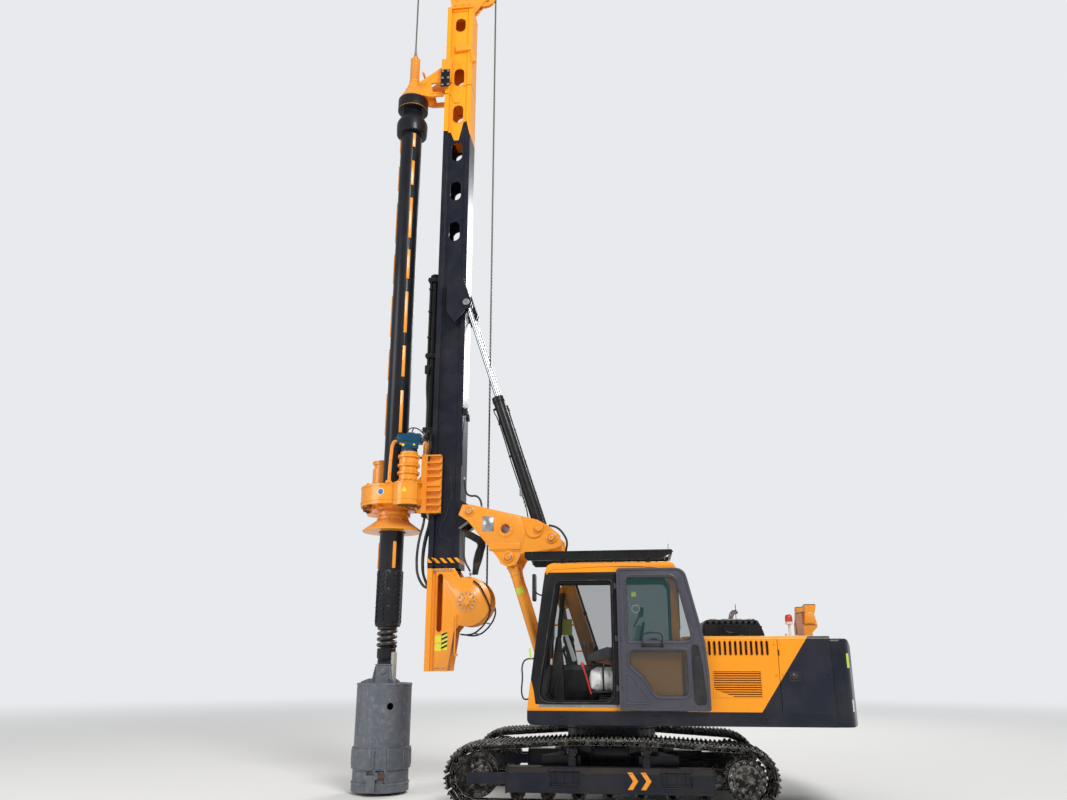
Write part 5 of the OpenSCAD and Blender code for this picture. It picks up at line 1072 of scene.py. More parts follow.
def make_mirrors_and_rails():
    # Bent rails in place of the straight ones, on screwed feet
    top, y = DECK_TOP + 0.315, 1.300
    rail = [(sx(-0.930), y, top), (sx(-0.930), y, top + 0.400), (sx(-0.930), y, top + 0.760), (sx(-0.915), y, top + 0.806),
            (sx(-0.870), y, top + 0.820), (sx(-0.650), y, top + 0.820), (sx(-0.440), y, top + 0.820),
            (sx(-0.395), y, top + 0.806), (sx(-0.380), y, top + 0.760), (sx(-0.380), y, top + 0.400), (sx(-0.380), y, top)]
    parts = [hose(rail, 0.017, 12), hose([(sx(-0.930), y, top + 0.42), (sx(-0.380), y, top + 0.42)], 0.013, 10)]
    for x in (-0.930, -0.380):
        parts.append(block((sx(x) - 0.045, y - 0.035, top), (sx(x) + 0.045, y + 0.035, top + 0.008), 0.002))
        parts.append(bolts([(sx(x) + k * 0.033, y, top + 0.008) for k in (-1, 1)], 0.007, along=(0, 0, 1)))
    finished("side_rail", parts, "upper", paint_orange, stands_for=["handrails"])
    # Mirrors: the right one on an arm from the rail, the left one on the front pillar
    parts, faces = [], []
    parts.append(hose([(sx(-0.930), 1.316, top + 0.570), (sx(-0.930), 1.400, top + 0.585), (sx(-0.930), 1.440, top + 0.62),
                       (sx(-0.930), 1.440, top + 0.98)], 0.011, 10))
    shell = softened([(1.235, top + 0.600), (1.235, top + 0.990), (1.466, top + 0.990), (1.466, top + 0.600)],
                     [0.05, 0.05, 0.05, 0.05])
    parts.append(plate(shell, sx(-0.958), sx(-0.912), "x", 0.012, 3))
    faces.append(plate(grown(shell, -0.018), sx(-0.9125), sx(-0.9105), "x", 0))
    px = cab_front(2.60)
    parts.append(hose([(px + 0.020, -1.300, 2.575), (px - 0.060, -1.305, 2.600), (px - 0.100, -1.310, 2.66),
                       (px - 0.100, -1.310, 2.80)], 0.010, 10))
    parts.append(block((px + 0.004, -1.322, 2.550), (px + 0.030, -1.285, 2.600), 0.004))
    left = softened([(-1.352, 2.505), (-1.352, 2.855), (-1.185, 2.855), (-1.185, 2.505)], 0.045)
    parts.append(plate(left, px - 0.128, px - 0.086, "x", 0.012, 3))
    faces.append(plate(grown(left, -0.016), px - 0.0865, px - 0.0845, "x", 0))
    # Grab rail at the cab's front corner, from the sill to waist height
    parts.append(hose([(cab_front(1.30) + 0.004, -1.266, 1.300), (sx(-1.045), -1.268, 1.300), (sx(-1.070), -1.268, 1.330),
                       (sx(-1.072), -1.268, 1.560), (sx(-1.066), -1.268, 1.730), (sx(-1.030), -1.268, 1.775),
                       (cab_front(1.79) + 0.004, -1.266, 1.790)], 0.010, 10))
    # Wiper on the windscreen
    parts.append(hose([(cab_front(1.53) - 0.012, -0.66, 1.530), (cab_front(1.9) - 0.022, -0.76, 1.90),
                       (cab_front(2.25) - 0.020, -0.86, 2.25)], 0.007, 8))
    parts.append(hose([(cab_front(2.0) - 0.012, -0.80, 2.00), (cab_front(2.58) - 0.012, -0.90, 2.58)], 0.006, 6))
    parts.append(block((cab_front(1.53) - 0.030, -0.70, 1.505), (cab_front(1.53) - 0.002, -0.62, 1.552), 0.008))
    finished("mirrors", parts, "upper", plastic)
    finished("mirror_faces", faces, "upper", mirror_face)


# Deck, hood and counterweight

def slot_line(x, z, w, h, steps=6):
    """Outline of an upright slot with round ends."""
    ends = []
    for s in (1, -1):
        for k in range(steps + 1):
            a = math.pi * (k / steps + (0 if s > 0 else 1))
            ends.append((x + w / 2 * math.cos(a), z + s * (h - w) / 2 + w / 2 * math.sin(a)))
    return ends


def make_hood():
    face = -HALF - 0.001
    # Pressed lips round the air slots, and the frame and slanted filler of the louvre
    lips = [bead(slot_line(sx(1.290) + 0.064 * k, 1.915, 0.038, 0.178), face, 0.0045, 6) for k in range(12)]
    low, high = (sx(1.323), 1.341), (sx(1.893), 1.640)
    frame_line = [low, (low[0], high[1]), high, (high[0], low[1])]
    lips.append(ring(grown(frame_line, 0.012), grown(frame_line, -0.001), face - 0.003, face + 0.004, edge=0.002))
    lips.append(plate([low, (low[0], 1.431), (sx(1.563), 1.341)], face - 0.001, face + 0.020, edge=0.001))
    for k in range(11):
        z = 1.349 + 0.027 * k
        lips.append(plate([(face + 0.004, z), (face + 0.001, z + 0.004), (face + 0.020, z + 0.018), (face + 0.023, z + 0.014)],
                          sx(1.325), sx(1.891), "x", 0.0))
    for x in (sx(1.02), sx(2.08), sx(2.16), sx(2.70)):
        lips.append(bolts([(x, face, z) for z in (1.21, 1.60, 1.96)], 0.007))
    finished("side_panel_pressings", mirrored(joined(lips)), "upper", hood_paint)
    # Dark honeycomb behind the slots and the louvre, as a radiator screen seen through them
    screen = []
    for side in (-1, 1):
        screen.append(block((sx(1.24), side * 1.315 - 0.004, 1.30), (sx(2.04), side * 1.315 + 0.004, 2.02), 0.002))
        for k in range(24):
            x = sx(1.26) + 0.033 * k
            screen.append(block((x, side * 1.321 - 0.003, 1.305), (x + 0.006, side * 1.321 + 0.003, 2.015), 0.0))
    finished("radiator_screens", screen, "upper", cast_black)
    # Door latches: recessed plastic bezels with a paddle, and the hinge pins on the seam
    parts = []
    x, z = sx(2.302), 1.5785
    parts.append(ring(softened([(x - 0.068, z - 0.058), (x - 0.068, z + 0.058), (x + 0.068, z + 0.058), (x + 0.068, z - 0.058)],
                               0.016), softened([(x - 0.054, z - 0.044), (x - 0.054, z + 0.044), (x + 0.054, z + 0.044),
                                                 (x + 0.054, z - 0.044)], 0.012), face - 0.007, face + 0.002))
    parts.append(block((x - 0.056, face - 0.0005, z - 0.046), (x + 0.056, face + 0.002, z + 0.046), 0.0))
    parts.append(plate([(face - 0.001, z - 0.036), (face - 0.009, z - 0.030), (face - 0.004, z + 0.036),
                        (face - 0.001, z + 0.036)], x - 0.046, x + 0.030, "x", 0.003))
    for z in (1.30, 1.86):
        parts.append(bar((sx(2.128), face - 0.002, z - 0.035), (sx(2.128), face - 0.002, z + 0.035), 0.008, 12, 0.002))
    finished("latches", mirrored(joined(parts)), "upper", plastic)
    finished("latch_lock", mirrored(bar((sx(2.290), face - 0.0095, 1.606), (sx(2.290), face - 0.004, 1.606), 0.010, 16, 0.002)),
             "upper", chromed)
    # Hood top: two service hatches with their handles, hinges, and a non-slip walkway of raised studs
    parts = []
    for x0, x1, y0, y1 in ((1.05, 1.19, -0.95, 0.95), (2.13, 2.50, -1.05, 1.05), (1.10, 2.05, 0.52, 1.24)):
        parts.append(block((sx(x0), y0, HOOD_TOP - 0.002), (sx(x1), y1, HOOD_TOP + 0.011), 0.008, 3))
        for k in (-1, 1):
            y = (y0 + y1) / 2 + k * (y1 - y0) * 0.32
            parts.append(bar((sx(x0) + 0.012, y - 0.05, HOOD_TOP + 0.012), (sx(x0) + 0.012, y + 0.05, HOOD_TOP + 0.012), 0.009,
                             10, 0.002))
        parts.append(hose([(sx(x1) - 0.04, (y0 + y1) / 2 - 0.07, HOOD_TOP + 0.010),
                           (sx(x1) - 0.04, (y0 + y1) / 2 - 0.065, HOOD_TOP + 0.038),
                           (sx(x1) - 0.04, (y0 + y1) / 2 + 0.065, HOOD_TOP + 0.038),
                           (sx(x1) - 0.04, (y0 + y1) / 2 + 0.07, HOOD_TOP + 0.010)], 0.006, 8))
    finished("hood_hatches", parts, "upper", hood_paint)
    studs = [(sx(1.16) + 0.055 * i + (0.0275 if j % 2 else 0), 0.60 + 0.055 * j, HOOD_TOP + 0.011)
             for i in range(16) for j in range(11)]
    finished("walkway_studs", copies(bar((0, 0, -0.002), (0, 0, 0.006), 0.011, 8, r2=0.007), studs), "upper", plastic)


def make_engine_cover():
    # Ribs, hatch frame and bent handle on the near side, ring lips round its air holes, feet and screws
    x0, face, top = sx(1.227), -1.120, HOOD_TOP + 0.215
    parts = []
    for k in range(9):
        cx = x0 + 0.080 + 0.074 * k
        parts.append(bead(circle_line(cx, top - 0.048, 0.0225, 16), face + 0.001, 0.004, 6))
    for x in (0.030, 0.215, 0.545, 0.735):
        parts.append(block((x0 + x, face - 0.010, HOOD_TOP + 0.004), (x0 + x + 0.022, face + 0.006, top - 0.085), 0.004))
    hatch = [(x0 + 0.225, HOOD_TOP + 0.008), (x0 + 0.225, top - 0.072), (x0 + 0.560, top - 0.072), (x0 + 0.560, HOOD_TOP + 0.008)]
    parts.append(ring(softened(hatch, 0.02), softened(grown(hatch, -0.016), 0.014), face - 0.008, face + 0.004, edge=0.003))
    parts.append(hose([(x0 + 0.270, face - 0.001, top - 0.105), (x0 + 0.275, face - 0.034, top - 0.108),
                       (x0 + 0.300, face - 0.036, top - 0.150), (x0 + 0.460, face - 0.036, top - 0.150),
                       (x0 + 0.485, face - 0.034, top - 0.108), (x0 + 0.490, face - 0.001, top - 0.105)], 0.008, 10))
    for x in (0.11, 0.27, 0.43, 0.59):
        parts.append(block((x0 + x, -1.05, top - 0.002), (x0 + x + 0.09, 0.35, top + 0.006), 0.003))
    parts.append(bolts([(x0 + x, face - 0.001, HOOD_TOP + 0.020) for x in (0.06, 0.18, 0.60, 0.72)], 0.008))
    parts.append(block((x0 + 0.01, face - 0.020, HOOD_TOP - 0.001), (x0 + 0.78, face + 0.01, HOOD_TOP + 0.008), 0.003))
    parts.append(block((x0 + 0.01, 0.41, HOOD_TOP - 0.001), (x0 + 0.78, 0.440, HOOD_TOP + 0.008), 0.003))
    finished("engine_cover_details", parts, "upper", paint_black)
    # Exhaust: a bent chromed tailpipe on a flanged elbow, cut at a slant
    cx, cy = sx(1.790), 0.700
    line = [(cx, cy, HOOD_TOP + 0.02), (cx, cy, HOOD_TOP + 0.22), (cx + 0.004, cy, HOOD_TOP + 0.31),
            (cx + 0.030, cy, HOOD_TOP + 0.372), (cx + 0.078, cy, HOOD_TOP + 0.398), (cx + 0.105, cy, HOOD_TOP + 0.400)]
    pipe = hose(line, 0.036, 20)
    hollow = hose([(cx + 0.050, cy, HOOD_TOP + 0.390), (cx + 0.078, cy, HOOD_TOP + 0.398), (cx + 0.14, cy, HOOD_TOP + 0.401)],
                  0.031, 20)
    outward(pipe)
    outward(hollow)
    cut(pipe, hollow)
    finished("tailpipe", [pipe, turned([(0.0, 0.0), (0.044, 0.0), (0.044, 0.030), (0.037, 0.036), (0.0, 0.036)],
                                       (cx, cy, HOOD_TOP + 0.075))], "upper", chromed, stands_for=["exhaust"])
    parts = [turned([(0.0, 0.0), (0.090, 0.0), (0.090, 0.012), (0.075, 0.016), (0.072, 0.060), (0.050, 0.078), (0.0, 0.078)],
                    (cx, cy, HOOD_TOP)), bolt_circle((cx, cy, HOOD_TOP + 0.012), 0.081, 8, (0, 0, 1), 0.007)]
    parts.append(hose([(sx(1.86), 0.62, HOOD_TOP + 0.01), (sx(1.86), 0.62, HOOD_TOP + 0.30), (sx(1.862), 0.62, HOOD_TOP + 0.50)],
                      0.005, 6))
    parts.append(turned([(0, 0), (0.016, 0), (0.016, 0.02), (0.008, 0.05), (0, 0.05)], (sx(1.86), 0.62, HOOD_TOP), steps=16))
    finished("exhaust_foot", parts, "upper", cast_black)
    # Beacon: pale post, white base and a ribbed red lens
    bx, by = sx(2.345), -1.0
    finished("beacon_lens", turned([(0.0, 0.150 + 0.035), (0.045, 0.185), (0.0475, 0.192), (0.0455, 0.20), (0.0475, 0.21),
                                    (0.0455, 0.22), (0.0470, 0.23), (0.0445, 0.245), (0.038, 0.262), (0.020, 0.276), (0.0, 0.279)],
                                   (bx, by, HOOD_TOP), steps=32), "upper", lamp_red, stands_for=["beacon"])
    finished("beacon_post", [turned([(0.0, 0.0), (0.034, 0.0), (0.034, 0.008), (0.0165, 0.012), (0.0155, 0.140), (0.030, 0.150),
                                     (0.047, 0.152), (0.047, 0.182), (0.0, 0.186)], (bx, by, HOOD_TOP), steps=28)],
             "upper", pale_plastic)


def make_tail():
    # Blank reflectors, rear lamps and screws on the counterweight
    tail = sx(3.200)
    def back(y, z):
        # Rear face of the counterweight at a width and a height
        sag, half = 0.25, 1.34
        arc = (half * half + sag * sag) / (2 * sag)
        lean = 0.08 * min(1.0, max(0.0, (z - 1.15) / 0.66))
        return tail - (arc - math.sqrt(arc * arc - y * y)) - lean
    # Films on its rounded corners
    for name, x0, x1, z0, z1, film in (("white_reflectors", 3.262, 3.2865, 1.175, 1.313, mark_white),
                                       ("lime_reflectors", 3.238, 3.276, 1.681, 1.851, mark_lime)):
        strip = bar((3.127, -1.170, z0), (3.127, -1.170, z1), 0.1712, 96)
        strip = kept(strip, block((x0, -1.40, z0 - 0.1), (x1, -1.20, z1 + 0.1), 0))
        finished(name, mirrored(strip), "upper", film)
    finished("rear_lamps", [plate(softened([(y - 0.09, 1.395), (y - 0.09, 1.455), (y + 0.09, 1.455), (y + 0.09, 1.395)], 0.015),
                                  back(y + 0.09 * (1 if y > 0 else -1), 1.42) - 0.004, back(y, 1.42) + 0.010, "x", 0.004)
                            for y in (-0.80, 0.80)], "upper", lamp_red)
    parts = []
    for y in (-1.1, -0.45, 0.45, 1.1):
        parts.append(bolts([(sx(2.93), y, 1.001)], 0.026, along=(0, 0, -1)))
    finished("tail_screws", parts, "upper", cast_black)
    # Rest for the mast: rubber pads in its cups, gussets and clamping screws
    x = sx(2.690)
    pads, parts = [], []
    for s in (-1, 1):
        pads.append(block((x - 0.015, s * 0.310 - 0.072, HOOD_TOP + 0.426), (x + 0.125, s * 0.310 + 0.072, HOOD_TOP + 0.437), 0.003))
        for y in (s * 0.310 - 0.084, s * 0.310 + 0.078):
            parts.append(plate([(x - 0.045, HOOD_TOP + 0.180), (x - 0.020, HOOD_TOP + 0.330), (x + 0.090, HOOD_TOP + 0.330),
                                (x + 0.125, HOOD_TOP + 0.180)], y, y + 0.008, edge=0.002))
        parts.append(block((x - 0.060, s * 0.310 - 0.085, HOOD_TOP - 0.001), (x + 0.0605, s * 0.310 + 0.085, HOOD_TOP + 0.012), 0.003))
        parts.append(bolts([(x + u, s * 0.310 + v, HOOD_TOP + 0.012) for u in (-0.05, 0.05) for v in (-0.072, 0.072)], 0.009,
                           along=(0, 0, 1)))
    pads.append(block((x - 0.045, -0.24, HOOD_TOP + 0.330), (x + 0.045, 0.24, HOOD_TOP + 0.344), 0.003))
    finished("rest_pads", pads, "upper", rubber)
    finished("rest_details", parts, "upper", paint_orange)


def make_right_side():
    # Tool box and tank lids, hinges, fuel cap, steps and grab irons; work lamps on the box
    parts, dark = [], []
    for x0, x1, top in ((-0.950, -0.360, 1.480), (-0.320, 0.390, 1.870), (0.430, 0.960, 2.000)):
        parts.append(block((sx(x0) + 0.012, 0.485, top - 0.001), (sx(x1) - 0.012, 1.352, top + 0.014), 0.007, 3))
        parts.append(bead([(sx(x0) + 0.05, 1.215), (sx(x0) + 0.05, top - 0.06), (sx(x1) - 0.05, top - 0.06),
                           (sx(x1) - 0.05, 1.215)], 1.3605, 0.005, 6))
        dark.append(bolts([(sx(x0) + 0.10 + k * (x1 - x0 - 0.20), 1.361, 1.24) for k in (0, 1)], 0.008, along=(0, 1, 0)))
        dark.append(block(((sx(x0) + sx(x1)) / 2 - 0.05, 1.360, top - 0.17), ((sx(x0) + sx(x1)) / 2 + 0.05, 1.3735, top - 0.12),
                          0.004))
    finished("tank_lids", parts, "upper", paint_orange)
    for x, y, z in ((0.65, 0.90, 2.045), (0.04, 0.90, 1.915)):
        dark.append(turned([(0, 0), (0.052, 0.0), (0.055, 0.008), (0.055, 0.030), (0.046, 0.040), (0.0, 0.042)],
                           (sx(x), y, z), steps=12))
    for z in (1.24, 1.33, 1.42):
        dark.append(hose([(sx(-0.965), 0.62, z), (sx(-0.990), 0.62, z), (sx(-0.992), 0.66, z), (sx(-0.992), 1.16, z),
                          (sx(-0.990), 1.20, z), (sx(-0.965), 1.20, z)], 0.008, 8))
    finished("tank_fittings", dark, "upper", plastic)
    lens = []
    for y in (0.56, 1.22):
        lens.append(turned([(0, 0), (0.046, 0), (0.044, 0.006), (0, 0.012)], (sx(-0.962) - 0.032, y, 1.40), (-1, 0, 0), 24))
    finished("work_lamp_lenses", lens, "upper", lamp_clear)
    finished("work_lamps", [turned([(0, 0), (0.052, 0.0), (0.055, 0.030), (0, 0.030)], (sx(-0.960), y, 1.40), (-1, 0, 0), 24)
                            for y in (0.56, 1.22)], "upper", plastic)
    # Deck: lips along its skirt, tie-down eyes, and a front step with studs
    parts = [block((sx(-0.92), -1.3635, 1.001), (sx(2.74), -1.3590, 1.016), 0.002)]
    for x in (-0.55, 0.62, 1.90):
        parts.append(ring(softened([(sx(x) - 0.055, 1.045), (sx(x) - 0.055, 1.120), (sx(x) + 0.055, 1.120),
                                    (sx(x) + 0.055, 1.045)], 0.03), softened([(sx(x) - 0.030, 1.065), (sx(x) - 0.030, 1.100),
                                                                              (sx(x) + 0.030, 1.100), (sx(x) + 0.030, 1.065)],
                                                                             0.014), -1.3700, -1.3590, edge=0.003))
    finished("deck_trim", [mirrored(joined(parts)), block((sx(-0.985), -0.335, 1.150), (sx(-0.700), 0.335, 1.172), 0.004)],
             "upper", paint_navy)
    studs = [(sx(-0.96) + 0.05 * i, -0.30 + 0.05 * j, 1.172) for i in range(6) for j in range(13)]
    finished("step_studs", copies(bar((0, 0, -0.002), (0, 0, 0.006), 0.010, 8, r2=0.006), studs), "upper", plastic)
    # Hoses from the car body to the drives at the back of each track
    pipes = []
    for k in range(3):
        z = 0.46 - 0.035 * k
        pipes.append(hose([(sx(0.55), -0.58, z + 0.10), (sx(0.75), -0.72, z + 0.06), (sx(1.05), -0.845, z),
                           (sx(1.45), -0.850, z - 0.02), (sx(1.62), -0.865, z - 0.03)], 0.013, 8))
    finished("track_hoses", mirrored(joined(pipes)), "undercarriage", rubber)


# Linkage

def along_line(a, b, share):
    return (a[0] + (b[0] - a[0]) * share, a[1] + (b[1] - a[1]) * share)


def make_linkage():
    # Deltoid: doubler with a welded edge, pin washers, keeper plates, bolted bore ring, folded band, blank plate
    face = -0.4205
    parts = []
    doubler = [(-1.840, 3.800), (-1.786, 3.948), (-1.662, 3.945), (-0.948, 3.773), (-0.933, 3.768), (-0.847, 3.539),
               (-0.922, 3.262), (-1.322, 3.262), (-1.704, 3.712)]
    parts.append(cut(plate(doubler, face - 0.007, face + 0.001, edge=0.003),
                     bar((LINKAGE_BORE[0], -0.6, LINKAGE_BORE[1]), (LINKAGE_BORE[0], -0.3, LINKAGE_BORE[1]), 0.069, 40)))
    for pin, r in ((MAST_PIN, 0.078), (BOOM_HEAD, 0.078), (LINK_HEAD, 0.078)):
        profile = [(0.046, 0.0), (r + 0.010, 0.0), (r + 0.010, 0.004), (r, 0.014), (r - 0.008, 0.020), (0.062, 0.022),
                   (0.056, 0.016), (0.050, 0.016), (0.046, 0.022)]
        parts.append(turned(profile + [profile[0]], (pin[0], face, pin[1]), (0, -1, 0), 40))
        parts.append(turned([(0.0, 0.0), (0.043, 0.0), (0.043, 0.036), (0.038, 0.0415), (0.010, 0.0415), (0.008, 0.038),
                             (0.0, 0.038)], (pin[0], face, pin[1]), (0, -1, 0), 32))
    cx, cz = CYLINDER_FOOT[0] - 0.070, CYLINDER_FOOT[1] - 0.020
    parts.append(turned([(0.0, 0.0), (0.129, 0.0), (0.129, 0.014), (0.124, 0.020), (0.0, 0.021)], (cx, face, cz), (0, -1, 0), 56))
    cap = (CYLINDER_FOOT[0], face - 0.018, CYLINDER_FOOT[1])
    parts.append(turned([(0.0, 0.0), (0.063, 0.0), (0.063, 0.040), (0.058, 0.0445), (0.0, 0.0445)], cap, (0, -1, 0), 36))
    parts.append(bolt_circle((cap[0], cap[1] - 0.0445, cap[2]), 0.040, 4, (0, -1, 0), 0.008, 0.6, h=0.004))
    bore = (LINKAGE_BORE[0], face - 0.006, LINKAGE_BORE[1])
    profile = [(0.068, 0.0), (0.118, 0.0), (0.118, 0.007), (0.114, 0.010), (0.080, 0.010), (0.076, 0.006), (0.068, 0.006)]
    parts.append(turned(profile + [profile[0]], bore, (0, -1, 0), 56))
    parts.append(bolt_circle((bore[0], bore[1] - 0.010, bore[2]), 0.099, 10, (0, -1, 0), 0.0075, 0.3, h=0.005))
    parts.append(plate([(face + 0.001, 3.385), (face - 0.020, 3.365), (face - 0.020, 3.292), (face + 0.001, 3.268)],
                       -1.378, -0.930, "x", 0.003))
    # Welds along the lower edges
    for points in ([(-1.70, 3.712), (-1.245, 3.168)], [(-0.92, 3.229), (-0.42, 3.300)]):
        a, b = points
        steps = int(math.dist(a, b) / 0.02)
        parts.append(hose([(a[0] + (b[0] - a[0]) * k / steps, face + 0.004 + 0.0015 * (k % 2), a[1] + (b[1] - a[1]) * k / steps)
                           for k in range(steps + 1)], 0.005, 6, straight=True))
    finished("linkage_plate_details", mirrored(joined(parts)), "deltoid", paint_orange)
    corners = [(-1.485, 3.556), (-1.483, 3.772), (-1.315, 3.772), (-1.317, 3.556)]
    finished("blank_plate", plate(corners, face - 0.0088, face - 0.0065, edge=0.0005), "deltoid", pin_steel)
    finished("blank_plate_screws", bolts([(x, face - 0.0088, z) for x in (-1.478, -1.322) for z in (3.563, 3.765)], 0.004,
                                         h=0.003), "deltoid", cast_black)
    # Boom: lower shell's weld seams, side ribs, pipe clamps with its two pipes
    a, b = Vector((BOOM_FOOT[0], 0, BOOM_FOOT[1])), Vector((BOOM_HEAD[0], 0, BOOM_HEAD[1]))
    run = (b - a).normalized()
    off = Vector((run.z, 0, -run.x))
    parts, pipes = [], []
    for side in (-1, 1):
        for edge in (-1, 1):
            line = [a + run * (0.12 + 0.035 * k) + off * edge * 0.086 + Vector((0, side * (0.1655 + 0.001 * (k % 2)), 0))
                    for k in range(46)]
            parts.append(hose([tuple(p) for p in line], 0.005, 6, straight=True))
        for s in (0.42, 0.85, 1.45):
            p = a + run * s
            parts.append(bar(tuple(p + Vector((0, side * 0.164, 0))), tuple(p + Vector((0, side * 0.176, 0))), 0.045, 24, 0.004))
    finished("boom_seams", parts, "boom", paint_orange)
    for y in (-0.06, 0.06):
        pipes.append(hose([tuple(a + run * s + off * 0.112 + Vector((0, y, 0))) for s in (0.20, 0.6, 1.1, 1.60)], 0.014, 10))
    for s in (0.35, 0.85, 1.35):
        p = a + run * s + off * 0.098
        pipes.append(block(tuple(p - Vector((0.030, 0.095, 0.026))), tuple(p + Vector((0.030, 0.095, 0.026))), 0.006))
    finished("boom_pipes", pipes, "boom", rubber)

    # Links: end collars, grease nipples and the blank film round the near one
    parts = []
    for share, r in ((0.085, 0.080), (0.16, 0.064), (0.865, 0.066), (0.93, 0.086)):
        p, q = along_line(LINK_FOOT, LINK_HEAD, share), along_line(LINK_FOOT, LINK_HEAD, share + 0.008)
        parts.append(bar((p[0], -0.27, p[1]), (q[0], -0.27, q[1]), r, 32, 0.003))
    parts.append(hose([(along_line(LINK_FOOT, LINK_HEAD, s)[0] + 0.060, -0.262, along_line(LINK_FOOT, LINK_HEAD, s)[1])
                       for s in (0.20, 0.5, 0.80)], 0.006, 6))
    finished("link_collars", mirrored(joined(parts)), "links", paint_orange)
    p, q = along_line(LINK_FOOT, LINK_HEAD, 0.728), along_line(LINK_FOOT, LINK_HEAD, 0.772)
    film = bar((p[0], -0.27, p[1]), (q[0], -0.27, q[1]), 0.0593, 40)
    finished("link_film", film, "links", mark_lime)

    # Foot plates: pin retainers and gussets
    parts = []
    for pin in (LINK_FOOT, BOOM_FOOT, LUFF_FOOT):
        parts.append(turned([(0.0, 0.0), (0.060, 0.0), (0.060, 0.012), (0.040, 0.016), (0.0, 0.018)], (pin[0], -0.404, pin[1]),
                            (0, -1, 0), 32))
        parts.append(bolt_circle((pin[0], -0.417, pin[1]), 0.047, 4, (0, -1, 0), 0.006, 0.4, h=0.004))
    for x in (-0.70, -0.10, 0.40):
        parts.append(plate([(-0.391, 1.165), (-0.391, 1.33), (-0.405, 1.33), (-0.47, 1.165)], x, x + 0.014, "x", 0.002))
    finished("foot_plate_details", mirrored(joined(parts)), "upper", paint_navy)


def cylinder_trim(foot, eye, y, r, rod_r, length, sides=40):
    """Rings, ports and pipe of a barrel, along its axis from foot to eye."""
    a, b = Vector((foot[0], y, foot[1])), Vector((eye[0], y, eye[1]))
    run = (b - a).normalized()
    up = Vector((-run.z, 0, run.x)) if run.z > 0 else Vector((run.z, 0, -run.x))
    parts = []
    for s, w, extra in ((0.085, 0.020, 0.004), (length - 0.135, 0.016, 0.003), (length - 0.088, 0.060, 0.010),
                        (length - 0.012, 0.012, 0.007)):
        parts.append(bar(tuple(a + run * s), tuple(a + run * (s + w)), r + extra, sides, 0.002))
    parts.append(bolt_circle(tuple(a + run * length), r * 0.80, 8, tuple(run), 0.0075, h=0.006))
    # Ports near both ends, and the steel pipe that joins the upper one to the foot
    for s in (0.16, length - 0.17):
        p = a + run * s + up * (r - 0.006)
        parts.append(bar(tuple(p), tuple(p + up * 0.034), 0.020, 16, 0.003))
        parts.append(bar(tuple(p + up * 0.030), tuple(p + up * 0.046), 0.014, 6, 0.001))
    line = [a + run * (length - 0.17) + up * (r + 0.030), a + run * (length - 0.21) + up * (r + 0.034),
            a + run * (length - 0.30) + up * (r + 0.018), a + run * (length * 0.5) + up * (r + 0.018),
            a + run * 0.34 + up * (r + 0.018), a + run * 0.25 + up * (r + 0.030), a + run * 0.20 + up * (r + 0.034)]
    parts.append(hose([tuple(p) for p in line], 0.009, 8))
    for share in (0.3, 0.55, 0.8):
        p = a + run * length * share
        parts.append(bar(tuple(p), tuple(p + run * 0.020), r + 0.003, sides))
        q = p + up * (r + 0.014) + run * 0.010
        parts.append(block(tuple(q - Vector((0.014, 0.018, 0.014))), tuple(q + Vector((0.014, 0.018, 0.014))), 0.003))
    return joined(parts)


def make_cylinders():
    near = cylinder_trim(CYLINDER_FOOT, EAR, -0.27, 0.085, 0.036, 2.140)
    finished("mast_barrel_details", mirrored(near), "mast_barrels", paint_black)
    near = cylinder_trim(LUFF_FOOT, LUFF_EYE, -0.10, 0.062, 0.032, 0.790, 32)
    finished("luff_barrel_details", mirrored(near), "luff_barrels", paint_black)
    # Pins of the rods' eyes, with their caps
    for name, place, near, half, r, body in (("mast_eye_pins", EAR, 0.199, 0.352, 0.030, "mast"),
                                             ("luff_eye_pin", LUFF_EYE, 0.0, 0.205, 0.026, "boom")):
        pin = bar((place[0], -near, place[1]), (place[0], -half, place[1]), r, 32)
        cap = bar((place[0], -half, place[1]), (place[0], -half - 0.014, place[1]), r + 0.026, 32, 0.004)
        screws = bolt_circle((place[0], -half - 0.014, place[1]), r + 0.008, 3, (0, -1, 0), 0.007)
        finished(name, mirrored(joined([pin, cap, screws])), body, pin_steel)
    # Check valve on the near mast cylinder, and a short stop chain
    a = Vector((CYLINDER_FOOT[0], -0.27, CYLINDER_FOOT[1]))
    run = (Vector((EAR[0], -0.27, EAR[1])) - a).normalized()
    side = Vector((-run.z, 0, run.x))
    p = a + run * 0.62 + side * 0.085
    parts = [block(tuple(p - Vector((0.035, 0.032, 0.070))), tuple(p + Vector((0.010, 0.032, 0.070))), 0.006)]
    for k in range(9):
        q = a + run * (0.36 + 0.032 * k) + side * (0.100 + 0.004 * (k % 2))
        spin = Matrix.Translation(q) @ Matrix.Rotation(math.radians(90 * (k % 2)), 4, run) @ run.to_track_quat("X", "Z").to_matrix().to_4x4()
        loop = hose([(0.021 * math.cos(t), 0.012 * math.sin(t), 0) for t in [math.tau * j / 12 for j in range(12)]], 0.0042, 6,
                    closed=True, straight=True)
        loop.data.transform(spin)
        parts.append(loop)
    finished("cylinder_valve", parts, "mast_barrels", pin_steel)


# Mast

